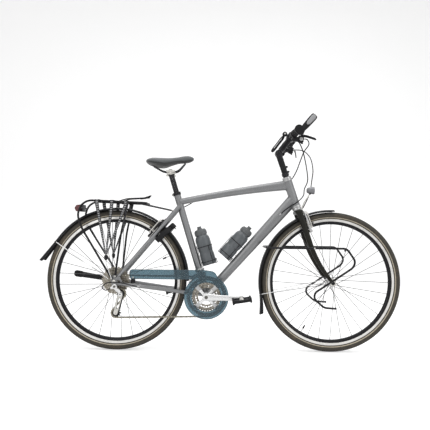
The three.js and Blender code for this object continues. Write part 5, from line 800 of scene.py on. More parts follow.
TOP_FROM, TOP_TO = on_seat(486), on_head(HEAD_TOP - 30)
DOWN_TO = on_head(HEAD_LOW + 44)
DOWN_WAY = (DOWN_TO - BRACKET).normalized()
TOP_WAY = (TOP_TO - TOP_FROM).normalized()

main_tubes = shaped(
    rod(on_seat(0), on_seat(535), 17, 0.8, 40),
    turned(
        [(0, 9), (23, 9), (22.6, 12), (22, 18), (22, 130), (22.6, 136), (23, 139), (0, 139)],
        on_head(HEAD_LOW), HEAD_UP, 40,
    ),
    tube_line(TOP_FROM, TOP_TO, (16, 17), (25, 17), 7, 12, 2.0),
    tube_line(BRACKET, DOWN_TO, (21, 22), (29, 19), 0, 6),
    cross_rod(BRACKET, -36.5, 36.5, 21, 1.0, 40),
    bead(TOP_TO - TOP_WAY * 90, TOP_WAY, 25, 17, on_head(HEAD_LOW), HEAD_UP, 22.3),
    bead(TOP_FROM + TOP_WAY * 90, -TOP_WAY, 16.3, 17, on_seat(0), SEAT_UP, 17.2),
    bead(DOWN_TO - DOWN_WAY * 90, DOWN_WAY, 29, 19, on_head(HEAD_LOW), HEAD_UP, 22.3),
    bead(BRACKET + DOWN_WAY * 90, -DOWN_WAY, 21.5, 21.6, BRACKET, ACROSS, 21.2),
    bead(on_seat(90), -SEAT_UP, 17, 17, BRACKET, ACROSS, 21.2),
)
for cup in (HEAD_LOW, HEAD_TOP - 9):
    main_tubes.add(sleeve(0, 24, 0, 9, on_head(cup), HEAD_UP, (1, 0.8), 40), 1)
for y in (-36.5, 36.5):
    main_tubes.add(turned(
        [(0, 0), (19, 0), (19, 3.4), (17.5, 4), (10, 4), (10, 0)], BRACKET + ACROSS * y, ACROSS * y, 32,
    ), 1)
for height in (200, 264):
    main_tubes.add(bolt(on_seat(height, 19.4), spot(SEAT_UP.z, 0, -SEAT_UP.x), 4.2, 3), 2)
DOWN_UP = spot(-DOWN_WAY.z, 0, DOWN_WAY.x)
for height in (245, 309):
    main_tubes.add(bolt(BRACKET + DOWN_WAY * height + DOWN_UP * 26.5, DOWN_UP, 4.2, 3), 2)
for x, z in ((710, 811.5), (560, 789), (430, 766)):
    clip_way = spot(0.99, 0, 0.13 if x > 600 else 0.18)
    main_tubes.add(rod(spot(x, 20.8, z) - clip_way * 7, spot(x, 20.8, z) + clip_way * 7, 4.1, 0.6, 18), 1)
piece("main_tubes", main_tubes, "frame", [frame_paint, alloy_grey, cast_alloy], ["frame"])


def rear_side(shape, side):
    """Seat stay, chain stay, dropout with its hanger, and brake boss on one side."""
    y = side * DROPOUT_MIDDLE
    foot, top = on_stay(33, 0, y), on_stay(STAY_REACH, 0, side * 23)
    shape.add(rod(foot, top, 7.5, 0.8, 28, end_radius=11))
    low = spot(24, y, WHEEL_RADIUS - 11)
    front = spot(BRACKET.x, side * 22, BRACKET.z + 4)
    shape.add(rod(low, front, 8, 0.8, 28, end_radius=10))
    tall, wide, hanger = 46, 34, 18
    hang = 30 if side < 0 else tall * 0.36
    outline = [
        (-wide * 0.5, tall * 0.2), (-wide * 0.36, tall * 0.62),
        (STAY_UP.x * tall * 0.8, STAY_UP.z * tall), (wide * 0.95, tall * 0.3), (wide * 1.3, -tall * 0.16),
        (wide * 0.9, -tall * 0.46), (wide * 0.5, -tall * 0.4), (hanger * 0.9, -hang),
        (-hanger * 0.1, -hang - 2), (-wide * 0.34, -tall * 0.3),
    ]
    cut = rounded_outline([(14, 6), (26, 6), (33, -3), (20, -6)], 3)
    axle_hole = circle(5.4, 20)
    form = plate(rounded_outline(outline, 7), y - 3.5, y + 3.5, [axle_hole, cut], 0.7)
    shape.add(placed(form, REAR_AXLE))
    boss = on_stay(BRAKE_BOSS, -2, side * 40)
    shape.add(rod(boss, on_stay(BRAKE_BOSS, 23, side * 40), 5, 0.6, 20), 1)
    shape.add(turned(
        [(0, 0), (9, 0), (9, 4), (7, 8), (0, 8)], on_stay(BRAKE_BOSS, 0, side * 42), STAY_BACK, 24,
    ))


rear_frame = Shape()
for _, side in SIDES:
    rear_side(rear_frame, side)
rear_frame.add(rod(on_stay(396, 0, stay_half(396)), on_stay(396, 0, -stay_half(396)), 6, 0.6, 24))
bridge_x = 398
bridge = spot(bridge_x, 0, WHEEL_RADIUS - BRACKET_DROP * bridge_x / BRACKET.x)
rear_frame.add(cross_rod(bridge, -34, 34, 6))
rear_frame.add(cross_rod(STAND_BOSS, 67.3, 81.7, 10.8, 0.8, 28))
rear_frame.add(rod(STAND_BOSS + ACROSS * DROPOUT_MIDDLE, spot(70, 66.3, 335), 8.6, 0.8, 24))
piece("rear_stays", rear_frame, "frame", [frame_paint, alloy_grey], ["frame"])

band_axis = on_seat(132, 2)
fittings = shaped(
    sleeve(17, 20.8, 0, 14, on_seat(125), SEAT_UP, 0.8, 40),
    cross_rod(band_axis, -10, -49, 3.9, 0.5, 20),
    block(on_seat(132, 18, -14), (14, 9, 13), 1.2, 17),
    bolt(on_seat(132, 27, -14), spot(SEAT_UP.z, 0, -SEAT_UP.x), 3.6, 4),
    cross_rod(KNUCKLE, -DROPOUT_MIDDLE, -96, 4, 0.5, 20),
)
piece("derailleur_band", fittings, "frame", [alloy_grey], ["frame"])

collar = shaped(
    sleeve(17.1, 20.5, 0, 15, on_seat(521), SEAT_UP, (0.5, 0.6), 40),
    rod(on_seat(528.5, -20, -9), on_seat(528.5, -20, 9), 5.4, 0.7, 24),
)
collar.add(bolt(on_seat(528.5, -20, -10.5), -ACROSS, 4, 3), 1)
piece("seat_collar", collar, "frame", [black_gloss, cast_alloy], ["frame"])


# Seat post, rails and saddle

SADDLE_TOP = 957
SADDLE_DEPTH = 42
SADDLE_REAR = 139
SADDLE_LENGTH = 248
RAIL_LOW = SADDLE_TOP - SADDLE_DEPTH - 24
HEAD_X = on_seat(634).x


def rail_line(side):
    y = side * 22
    return rounded([
        spot(SADDLE_REAR + SADDLE_LENGTH * 0.8, y * 0.3, SADDLE_TOP - 22),
        spot(HEAD_X + 34, y, RAIL_LOW), spot(HEAD_X - 36, y, RAIL_LOW),
        spot(SADDLE_REAR + 34, y * 1.5, SADDLE_TOP - 34),
    ], 20, 8)


post = shaped(rod(on_seat(386), on_seat(634), 13.6, 0.6, 36))
post.add(rod(on_seat(616), spot(HEAD_X, 0, RAIL_LOW), 13.7, 0.8, 32, end_radius=12))
post.add(cross_rod(spot(HEAD_X, 0, RAIL_LOW), -21, 21, 14.6, 2, 36), 1)
post.add(cross_rod(spot(HEAD_X, 0, RAIL_LOW), -25.5, 25.5, 5, 0.8, 20), 1)
for side in (-1, 1):
    post.add(block(spot(HEAD_X, side * 22, RAIL_LOW + 3), (44, 10, 10), 2.2, 0, 3), 1)
    post.add(block(spot(HEAD_X, side * 22, RAIL_LOW - 7), (34, 10, 7), 2, 0, 3), 1)
    post.add(rod(
        spot(HEAD_X + side * 17, side * 12, RAIL_LOW - 22),
        spot(HEAD_X + side * 17, side * 12, RAIL_LOW + 2), 3, 0.5, 16,
    ), 1)
    post.add(sleeve(
        0, 6.6, 0, 8, spot(HEAD_X + side * 17, side * 12, RAIL_LOW - 22), UPRIGHT, (0.6, 1), 20,
    ), 1)
    post.add(pipe(rail_line(side), 3.5, 12), 2)
for i, height in enumerate(range(545, 625, 10)):
    post.add(rod(
        on_seat(height, 0, -13.4), on_seat(height, 0, -13.75), 0.45 if i % 2 else 0.8, 0.05, 8,
    ), 1)
piece("seat_post_tube", post, "seat", [black_gloss, cast_alloy, tube_black], ["seat_post"])

SADDLE_LINE = (
    (0.0, 0.40, -9, -19), (0.02, 0.62, -4.5, -25), (0.06, 0.82, -1.5, -30), (0.11, 0.94, -0.5, -34),
    (0.17, 1.0, 0, -38), (0.25, 0.98, 0, -41.5), (0.33, 0.9, 0, -43), (0.41, 0.76, 0.6, -40),
    (0.49, 0.58, 1.8, -33), (0.57, 0.45, 4.6, -27.5), (0.66, 0.36, 8.4, -22), (0.75, 0.31, 12.6, -20),
    (0.84, 0.29, 15.6, -18.5), (0.91, 0.27, 16, -15), (0.96, 0.22, 12.6, -9.5), (0.99, 0.13, 6.6, -2),
)


def saddle_form(shrink):
    """The padded shell: crowned behind, with a shallow channel and a long rounded nose."""
    stations = []
    for along, width, top, bottom in SADDLE_LINE:
        middle, half = SADDLE_TOP + (top + bottom) / 2, (top - bottom) / 2
        stations.append((
            spot(SADDLE_REAR + 2 + along * (SADDLE_LENGTH - 4), 0, middle),
            ACROSS * (width * 86 - shrink),
            spot(0, 0, half - shrink),
        ))
    bm = lofted(stations, 44, 0.82)
    for v in bm.verts:
        share = (v.co.x - SADDLE_REAR) / SADDLE_LENGTH
        channel = math.exp(-((v.co.y / 11) ** 2)) * max(0, 1 - abs(share - 0.42) / 0.42)
        if v.co.z > SADDLE_TOP - 14:
            v.co.z -= 3.2 * channel
    return bm


def swell(made, cap):
    """Fills a pad: cloth under pressure, with a limit on how far a point may move."""
    rest = [v.co.copy() for v in made.data.vertices]
    cloth = made.modifiers.new("fill", "CLOTH")
    cloth.settings.use_pressure = True
    cloth.settings.uniform_pressure_force = 4.0
    cloth.settings.effector_weights.gravity = 0
    cloth.settings.quality = 5
    cloth.collision_settings.use_collision = False
    cloth.point_cache.frame_start, cloth.point_cache.frame_end = 1, 20
    for number in range(1, 21):
        bpy.context.scene.frame_set(number)
    grown = made.evaluated_get(bpy.context.evaluated_depsgraph_get()).data
    places = [v.co.copy() for v in grown.vertices]
    made.modifiers.clear()
    bpy.context.scene.frame_set(1)
    for v, place, old in zip(made.data.vertices, places, rest):
        move = place - old
        if move.length > cap:
            move *= cap / move.length
        v.co = old + move


def saddle_piece():
    shape = Shape().add(saddle_form(0.6))
    bmesh.ops.recalc_face_normals(shape.bm, faces=shape.bm.faces)
    shape.bm.transform(TO_ROW)
    mesh = bpy.data.meshes.new("saddle_cushion")
    shape.bm.to_mesh(mesh)
    shape.bm.free()
    made = bpy.data.objects.new("saddle_cushion", mesh)
    bpy.context.scene.collection.objects.link(made)
    bpy.context.view_layer.objects.active = made
    made.select_set(True)
    remesh = made.modifiers.new("cells", "REMESH")
    remesh.mode, remesh.voxel_size = "VOXEL", 0.0045
    bpy.ops.object.modifier_apply(modifier="cells")
    swell(made, 0.0025)
    smooth = made.modifiers.new("settle", "SMOOTH")
    smooth.factor, smooth.iterations = 0.5, 6
    bpy.ops.object.modifier_apply(modifier="settle")
    finer = made.modifiers.new("finer", "SUBSURF")
    finer.levels = finer.render_levels = 1
    bpy.ops.object.modifier_apply(modifier="finer")
    made.select_set(False)
    mesh = made.data
    mesh.materials.clear()
    mesh.materials.append(saddle_top)
    mesh.materials.append(saddle_side)
    for face in mesh.polygons:
        face.material_index = 1 if face.normal.z < -0.35 else 0
        face.use_smooth = True
    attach(made, "seat")
    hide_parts("saddle")


saddle_piece()


# Fork

BLADE_TOP = 382
BLADE_BEND = 215
BLADE_FOOT_Y = 53.8
fork = Shape()
for _, side in SIDES:
    stations = []
    for i in range(19):
        height = BLADE_TOP - 372 * i / 18
        share = 1 - height / BLADE_TOP
        y = 46 + (BLADE_FOOT_Y - 46) * share
        forward = RAKE * max(0, 1 - height / BLADE_BEND) ** 1.9
        ahead = RAKE * max(0, 1 - (height - 8) / BLADE_BEND) ** 1.9
        way = (on_head(height - 8, ahead) - on_head(height, forward)).normalized()
        depth_way = way.cross(ACROSS).normalized()
        stations.append((
            on_head(height, forward, side * y), depth_way * (15.5 - 7 * share),
            ACROSS * (12 - 5.5 * share),
        ))
    fork.add(lofted(stations, 32, 0.92))
    y = side * BLADE_FOOT_Y
    outline = rounded_outline([(-15, 8), (-8, 24), (10, 20), (15, 0), (12, -13.6), (-12, -13.6)], 6)
    form = plate(outline, y - 3.5, y + 3.5, [circle(5.3, 20)], 0.7)
    fork.add(placed(form, FRONT_AXLE), 1)
    fork.add(rod(on_head(BRAKE_BOSS, 0, side * 40), on_head(BRAKE_BOSS, 31, side * 40), 5, 0.6, 20), 1)
    fork.add(turned(
        [(0, 0), (9, 0), (8.6, 12), (6, 18.5), (0, 18.5)], on_head(BRAKE_BOSS, 0, side * 40),
        HEAD_FORWARD, 24,
    ))
crown_at = on_head(383.5)
half_crown = ((1, 0.3, 0.3), (0.97, 0.62, 0.6), (0.85, 0.84, 0.84), (0.6, 0.96, 0.96), (0.3, 1, 1))
crown = [
    (crown_at + ACROSS * share * 59, HEAD_FORWARD * 21 * depth, HEAD_UP * 12.5 * height)
    for share, depth, height in [(-a, b, c) for a, b, c in half_crown] + list(half_crown[::-1])
]
fork.add(lofted(crown, 32, 0.85))
fork.add(rod(on_head(377), on_head(HEAD_TOP + 11), 14.3, 0.6, 32))
fork.add(turned([(0, 0), (20, 0), (23, 3), (23, 12), (22, 14.5), (0, 14.5)], on_head(394), HEAD_UP, 36), 2)
piece("fork_legs", fork, "steering", [fork_paint, cast_alloy, alloy_grey], ["fork"])


# Stem

RISER_HEIGHT = 137
ARM_REACH = 99
STEM_PIVOT = on_head(HEAD_TOP + RISER_HEIGHT)
ARM_ALONG = spot(math.cos(math.radians(53)), 0, math.sin(math.radians(53)))
ARM_ACROSS = spot(-ARM_ALONG.z, 0, ARM_ALONG.x)
BAR_CENTRE = STEM_PIVOT + ARM_ALONG * ARM_REACH


def on_arm(along, across, y=0.0):
    return STEM_PIVOT + ARM_ALONG * along + ARM_ACROSS * across + ACROSS * y


riser = Shape().add(sleeve(0, 22, 0, 11, on_head(HEAD_TOP + 0.3), HEAD_UP, (1, 0.8), 40), 1)
riser.add(turned(
    [(0, 0), (14, 0), (15, 4), (15, 60), (15.6, 100), (15.8, RISER_HEIGHT), (0, RISER_HEIGHT)],
    on_head(HEAD_TOP + 0.3),
    HEAD_UP, 40,
))
riser.add(sleeve(14, 18, 0, 15, on_head(HEAD_TOP + 18), HEAD_UP, 0.6, 40))
riser.add(cross_rod(STEM_PIVOT, -8.5, 8.5, 17, 1.2, 36))
for height in (34, 60):
    guide = on_head(HEAD_TOP + height, 17)
    riser.add(cross_rod(guide, -7, 7, 5.8, 1, 20))
    riser.add(bolt(guide + HEAD_FORWARD * 7.4, HEAD_FORWARD, 3.2, 3), 2)
riser.add(bolt(on_head(HEAD_TOP + 25, -19.5), -HEAD_FORWARD, 3.2, 4), 2)
piece(
    "stem_riser_tube", riser, "steering", [black_gloss, alloy_grey, cast_alloy], ["stem_riser"],
)

arm = Shape()
for side in (-1, 1):
    arm.add(cross_rod(STEM_PIVOT, side * 9.4, side * 17, 17, 1.2, 36))
    arm.add(turned(
        [(0, 0), (9.5, 0), (9.5, 1), (8.5, 1.6), (3.4, 1.6), (3.4, 0.4), (0, 0.4)],
        STEM_PIVOT + ACROSS * side * 17, ACROSS * side, 28,
    ))
arm_stations = []
for share, half_depth, half_width in (
    (0.18, 14.6, 16), (0.3, 15.2, 16.4), (0.5, 14.6, 16), (0.75, 14.2, 15.4), (0.95, 14, 15),
):
    arm_stations.append((on_arm(ARM_REACH * share, 0), ARM_ACROSS * half_depth, ACROSS * half_width))
arm.add(lofted(arm_stations, 32, 0.8))
arm.add(sleeve(15.3, 21, -23, 23, BAR_CENTRE, ACROSS, (0.6, 0.8), 40))
for side in (-1, 1):
    arm.add(rod(on_arm(ARM_REACH, 18, side * 9.5), on_arm(97, 35, side * 9.5), 4.4, 0.8, 18))
    arm.add(sleeve(0, 10.4, 0, 7.4, on_arm(97, 34, side * 5.4), ACROSS * side, 0.8, 28))
    for across in (-15, 15):
        arm.add(rod(
            on_arm(ARM_REACH + 8, across * 1.1, side * 15),
            on_arm(ARM_REACH + 19, across * 1.1, side * 15), 4.4,
            0.6, 18,
        ))
        arm.add(bolt(on_arm(ARM_REACH + 20, across * 1.1, side * 15), ARM_ALONG, 3.6, 3), 1)
arm.add(cross_rod(on_arm(97, 34), -14, 14, 4.6, 0.8, 20), 1)
piece("stem_arm_body", arm, "bars", [black_gloss, cast_alloy], ["stem_arm"])

lever_pin = on_arm(97, 34)
closer = shaped(cross_rod(lever_pin, -4.8, 4.8, 12, 0.8, 32))
lever_stations = []
for share, wide, deep in (
    (0.03, 0.5, 0.6), (0.1, 0.8, 0.85), (0.22, 1, 1), (0.5, 1, 0.9), (0.8, 1, 1), (0.94, 0.85, 0.8),
    (0.99, 0.5, 0.45),
):
    lever_stations.append((
        lever_pin - ARM_ALONG * (8 + share * 104) - ARM_ACROSS * 2.6, ARM_ACROSS * 9.6 * deep,
        ACROSS * 9 * wide,
    ))
closer.add(lofted(lever_stations, 28, 0.8))
for side in (-1, 1):
    strip = [lever_pin - ARM_ALONG * (8 + share * 104) + ACROSS * side * 8.3 for share in (0.2, 0.5, 0.8)]
    closer.add(pipe(strip, 1.3, 8), 1)
piece("stem_lever_body", closer, "stem_lever", [black_plastic, alloy], ["stem_lever"])


# Handlebar, grips and controls

BAR_HALF = 296
HORN_REACH = 94


def bar_end_point(side):
    return BAR_CENTRE + spot(-9, side * BAR_HALF, -20)


def along_bar(side, y):
    return BAR_CENTRE.lerp(bar_end_point(side), y / BAR_HALF)


bar = shaped(cross_rod(BAR_CENTRE, -29, 29, 15, 1.5, 36))
for _, side in SIDES:
    places = [along_bar(side, y) for y in (20, 40, 90, 180, BAR_HALF)]
    bar.add(pipe(places, 1, 20, radii=[15, 13, 12.7, 11.4, 11.1]))
piece("handlebar_tube", bar, "bars", [black_gloss], ["handlebar"], 60)

for name, side in SIDES:
    grip = Shape()
    start = 178
    profile = [(11.2, 0), (15, 0), (15.6, 0.8)]
    for i in range(17):
        low = 3 + i * 5.6
        profile += [(15.4, low), (16.3, low + 0.8), (16.3, low + 3.8), (15.4, low + 4.6)]
    profile += [(16.3, 100), (16.5, 112), (11.2, 112)]
    way = bar_end_point(side) - BAR_CENTRE
    grip.add(turned(profile, along_bar(side, start), way, 40, loop=True))
    grip.add(turned(
        [(11.2, 0), (18.2, 0), (19, 0.8), (19, 14.2), (18.2, 15), (0, 15), (0, 13), (11.2, 13)],
        along_bar(side, 286), way, 40, loop=True,
    ), 1)
    angle = math.radians(49)
    along, across = spot(math.cos(angle), 0, math.sin(angle)), spot(-math.sin(angle), 0, math.cos(angle))
    root = along_bar(side, 292) + spot(12, 0, -6)
    grip.add(turned(
        [(0, 0), (17.4, 0), (18.4, 1), (18.4, 9), (17.4, 10), (13, 10), (12.4, 9.4), (0, 9.4)],
        along_bar(side, 292) + spot(6, 0, -8), way, 36,
    ), 1)
    stations = []
    for share, wide, deep in (
        (0, 0.7, 1), (0.12, 0.78, 1.02), (0.3, 0.9, 1), (0.55, 0.97, 0.94), (0.8, 1, 0.88),
        (0.94, 0.96, 0.8), (0.985, 0.8, 0.6), (1, 0.5, 0.4),
    ):
        centre = root + along * share * HORN_REACH - ACROSS * side * share * 22 * 0.4
        stations.append((centre, across * 15.5 * wide, ACROSS * 11 * deep))
    grip.add(lofted(stations, 32, 0.85))
    inlay = []
    for share, wide in ((0.36, 5), (0.4, 8), (0.48, 9.6), (0.86, 10.8), (0.93, 9), (0.96, 6)):
        centre = root + along * share * HORN_REACH + ACROSS * side * (6.2 - share * 8.8)
        inlay.append((centre, across * wide, ACROSS * 4.6))
    grip.add(lofted(inlay, 24, 0.7), 3)
    for share in (0.3, 0.42, 0.54, 0.66, 0.78):
        centre = root + along * share * HORN_REACH - ACROSS * side * (share * 8.8 + 9.6)
        grip.add(rod(centre - across * 9, centre + across * 9, 1.3, 0.4, 10), 1)
    grip.add(bolt(along_bar(side, 293) + spot(0, 0, -18.8), spot(0, 0, -1), 3.2, 3), 2)
    piece(
        f"grip_{name}_body", grip, "bars", [grip_rubber, black_plastic, cast_alloy, grip_grey],
        [f"grip_{name}"],
    )

    at = along_bar(side, 150)
    control = Shape()
    control.add(sleeve(12.8, 18.4, -12, 14, at, way, 0.8, 36))
    control.add(block(at + spot(25, side * 2, -25.2), (38, 22, 13), 3.4, 0, 3))
    control.add(block(at + spot(25, side * 2, -1), (34, 20, 5), 1.8, 0, 3))
    control.add(block(at + spot(30, side * 2, -26), (24, 21, 34), 5.5, 0, 4))
    control.add(turned(
        [(0, 0), (8.4, 0), (8.4, 1.4), (7.4, 2), (0, 2)], at + spot(31, side * 12.4, -27), ACROSS * side,
        24,
    ), 1)
    pod = []
    for share, size in ((0, 0.5), (0.08, 0.78), (0.25, 1), (0.75, 1), (0.92, 0.8), (1, 0.5)):
        pod.append((
            at + spot(8, side * (share * 34.8 - 20), -26), spot(20 * size, 0, 0),
            spot(0, 0, 10.2 * size),
        ))
    control.add(lofted(pod, 28, 0.8))
    control.add(turned(
        [(0, 0), (9, 0), (9, 1.2), (8, 1.8), (0, 1.8)], at + spot(8, side * -4, -16.4), UPRIGHT, 28,
    ), 1)
    control.add(rod(at + spot(10, 0, -30), at + spot(38, side * 6, -48), 4, 0.8, 16, end_radius=3))
    control.add(lofted([
        (at + spot(30, side * 4, -42), spot(0, 7, 0), spot(2.2, 0, 2)),
        (at + spot(38, side * 6, -48), spot(0, 9, 0), spot(2, 0, 1.8)),
    ], 16, 0.7))
    if side < 0:
        control.add(rod(at + spot(30, 5, -25), at + spot(38, 8, -23), 4.6, 0.6, 16, end_radius=4), 1)
    control.add(rod(
        at + spot(33, -side * 2, -10), at + spot(41, -side * 3, -10), 4.4, 0.6, 16, end_radius=3.6,
    ))
    piece(
        f"control_{name}_pod", control, "bars", [black_plastic, alloy_grey, cast_alloy],
        [f"control_{name}"],
    )

    pivot = at + spot(36, side * 12, -12)
    lever = shaped(rod(pivot - spot(0, 0, 4), pivot + spot(0, 0, 4), 8.8, 0.8, 24))
    line = smooth_line(
        [
            pivot + spot(x, side * y, z)
            for x, y, z in ((0, 0, 0), (15, 14, -5), (27, 40, -15), (36, 74, -27), (42, 98, -36))
        ],
        6,
    )
    stations = []
    for i, place in enumerate(line):
        share = i / (len(line) - 1)
        ahead = (line[min(i + 1, len(line) - 1)] - line[max(i - 1, 0)]).normalized()
        out = spot(ahead.y, -ahead.x, 0).normalized()
        tall = (6.4 - 0.6 * share) * (1 if share < 0.93 else max(0.35, 1 - (share - 0.93) * 9))
        stations.append((place, out * (3.8 - 0.8 * share) * (1 if share < 0.93 else 0.75), spot(0, 0, tall)))
    lever.add(lofted(stations, 20, 0.85))
    lever.add(turned([(0, 0), (4.4, 0), (4.4, 0.8), (0, 0.8)], pivot + spot(0, 0, 4), UPRIGHT, 18), 1)
    piece(
        f"brake_lever_{name}_blade", lever, f"brake_lever_{name}", [black_gloss, cast_alloy],
        [f"brake_lever_{name}"],
    )


# Rim brakes

BRAKE_ARM = 104


def brake_arm(name, side, at, base, near, holds_wire):
    """Arm and parallel link on the boss, shoe beside the rim, spring, and the wire across the top."""
    boss_y = side * 40
    mid = near + 6
    back = (at(0, 1) - at(0, 0)).normalized()
    finishes = [black_gloss if name.startswith("rear") else alloy_grey, cast_alloy, pad_rubber]
    shape = Shape()
    shape.add(rod(at(base, near + 0.4, boss_y), at(base, near + 12, boss_y), 9, 1, 28))
    stations = []
    for rise, out, size in (
        (-0.02, 0, 0.9), (0.1, 0.03, 1), (0.3, 0.06, 0.9), (0.55, 0.03, 0.8), (0.85, -0.03, 0.7),
        (0.97, -0.1, 0.66), (1, -0.12, 0.5),
    ):
        centre = at(base + rise * BRAKE_ARM, mid, boss_y + side * out * BRAKE_ARM)
        stations.append((centre, ACROSS * size * 6.6, (at(0, 1) - at(0, 0)) * size * 6))
    shape.add(lofted(stations, 24, 0.75))
    shape.add(bolt(at(base, near + 14, boss_y), back, 5.5, 3.6), 1)
    up = (at(1, 0) - at(0, 0)).normalized()
    shoe_y = side * 18.3
    shoe = []
    for share, size in ((-0.5, 0.4), (-0.47, 0.8), (-0.3, 1), (0.3, 1), (0.47, 0.8), (0.5, 0.4)):
        shoe.append((at(309.5, mid + share * 60, shoe_y), up * 5 * size, ACROSS * 4.4 * size))
    shape.add(lofted(shoe, 20, 0.7), 2)
    shape.add(rod(at(310, mid, shoe_y), at(310, mid, boss_y + side * 12), 3.6, 0.5, 18), 1)
    shape.add(turned(
        [(0, 0), (6.2, 0), (6.2, 5), (5.4, 6), (0, 6)], at(310, mid, boss_y + side * 6), ACROSS * side, 6,
    ), 1)
    shape.add(bolt(at(base + 99, near + 12.5, boss_y - side * 11), back, 4.2, 3.4), 1)
    spring = rounded(
        [
            at(base - 4, near + 1, boss_y + side * 9.5), at(base + 30, near - 1, boss_y + side * 12),
            at(base + 58, near + 1, boss_y + side * 9),
        ],
        10, 4,
    )
    shape.add(pipe(spring, 1.0, 8), 1)
    link = []
    for rise, out, size in (
        (0.1, 0.03, 0.5), (0.14, 0.04, 0.9), (0.5, 0.04, 1), (0.9, -0.05, 0.9), (0.94, -0.06, 0.5),
    ):
        link.append((
            at(base + rise * BRAKE_ARM, mid + 10.4, boss_y + side * out * BRAKE_ARM), ACROSS * size * 4.6,
            back * size * 3,
        ))
    shape.add(lofted(link, 20, 0.7), 1)
    for rise, out in ((0.16, 0.04), (0.86, -0.03)):
        foot = at(base + rise * BRAKE_ARM, mid, boss_y + side * out * BRAKE_ARM)
        shape.add(rod(foot, foot + back * 14.4, 3.4, 0.5, 16), 1)
    if holds_wire:
        here, there = at(base + 91, mid, side * 30), at(base + 91, mid, -side * 36)
        shape.add(rod(here, there, 0.85, 0.2, 8), 1)
        boot = [(0, 0), (4.4, 0)]
        for i in range(5):
            boot += [(4.6, i * 2.6 + 0.6), (3.5, i * 2.6 + 1.9)]
        shape.add(turned(
            boot + [(2.6, 13.4), (0, 13.4)], at(base + 91, mid, side * 22), -ACROSS * side, 20,
        ), 2)
    piece(f"{name}_arm", shape, name, finishes, [name])


for name, side in SIDES:
    brake_arm(f"rear_brake_{name}", side, on_stay, BRAKE_BOSS, 11, side > 0)
    brake_arm(f"front_brake_{name}", side, on_head, BRAKE_BOSS, 19, side > 0)


# Mudguards

GUARD_RADIUS = 362


def guard_shell(centre, start, end, flare):
    """A rolled channel spun part of the way round the wheel, its low end flared."""
    section = [
        (-11, -26), (-7, -24.6), (-3.4, -21.5), (-1, -14), (0, 0), (-1, 14), (-3.4, 21.5), (-7, 24.6),
        (-11, 26), (-11, 24.4), (-7.4, 22.8), (-4.9, 20), (-2.8, 13), (-1.8, 0), (-2.8, -13), (-4.9, -20),
        (-7.4, -22.8), (-11, -24.4),
    ]
    bm = bmesh.new()
    verts = [bm.verts.new((GUARD_RADIUS + r, y, 0)) for r, y in section]
    edges = [bm.edges.new((a, b)) for a, b in zip(verts, verts[1:] + verts[:1])]
    bmesh.ops.rotate(bm, cent=(0, 0, 0), matrix=Matrix.Rotation(math.radians(-start), 3, "Y"), verts=verts)
    bmesh.ops.spin(
        bm, geom=verts + edges, cent=(0, 0, 0), axis=(0, -1, 0), angle=math.radians(end - start),
        steps=72,
    )
    ends = [e for e in bm.edges if len(e.link_faces) == 1]
    bmesh.ops.holes_fill(bm, edges=ends, sides=0)
    for v in bm.verts:
        angle = math.degrees(math.atan2(v.co.z, v.co.x)) % 360
        if angle > end + 40:
            angle -= 360
        share = (angle - start) / (end - start)
        if share <= 0.86:
            continue
        t = (share - 0.86) / 0.14
        out = math.hypot(v.co.x, v.co.z)
        wanted = GUARD_RADIUS + flare * t * t + (out - GUARD_RADIUS) * (1 + 0.9 * t)
        v.co.x *= wanted / out
        v.co.z *= wanted / out
    return placed(bm, centre)


def guard_stay(shape, centre, angle, side, foot_angle, foot_radius, foot_y):
    top = on_circle(centre, GUARD_RADIUS, angle, side * 27.4)
    low = on_circle(centre, GUARD_RADIUS - 14, angle, side * 27.4)
    shape.add(pipe([top, low, on_circle(centre, foot_radius, foot_angle, side * foot_y)], 1.9, 10), 1)
    shape.add(rod(
        on_circle(centre, GUARD_RADIUS - 6, angle, side * 25),
        on_circle(centre, GUARD_RADIUS - 6, angle, side * 30.5), 4.2,
        0.6, 16,
    ))


front_guard = Shape().add(guard_shell(FRONT_AXLE, 88, 205, 30))
rear_guard = Shape().add(guard_shell(REAR_AXLE, 0, 166, 38))
for _, side in SIDES:
    guard_stay(front_guard, FRONT_AXLE, 190, side, 168, 26, 47.7)
    guard_stay(rear_guard, REAR_AXLE, 148, side, 160, 30, 65.2)
crown_foot = on_head(371)
toward = (crown_foot - FRONT_AXLE).normalized()
front_guard.add(rod(FRONT_AXLE + toward * 359, crown_foot - toward * 1, 4, 0.5, 16), 1)
rear_guard.add(rod(on_stay(359), on_stay(389.7), 4, 0.5, 16), 1)
piece(
    "front_mudguard_shell", front_guard, "steering", [guard_black, alloy], ["front_mudguard"],
)
piece("rear_mudguard_shell", rear_guard, "frame", [guard_black, alloy], ["rear_mudguard"])


# Drive train

SLOT_Y = -54.8


def pitch_radius(teeth):
    return CHAIN_PITCH / (2 * math.sin(math.pi / teeth))


def toothed(teeth, start=0.0):
    """Outline of a toothed wheel: rounded valleys for the rollers and narrow tips."""
    pitch = pitch_radius(teeth)
    step = math.tau / teeth
    outline = []
    for i in range(teeth):
        for share, radius in (
            (-0.12, pitch + 1.6), (0, pitch + 1.9), (0.12, pitch + 1.6), (0.26, pitch - 1.6),
            (0.4, pitch - 3.6), (0.5, pitch - 4), (0.6, pitch - 3.6), (0.74, pitch - 1.6),
        ):
            t = start + (i + share) * step
            outline.append((radius * math.cos(t), radius * math.sin(t)))
    return outline


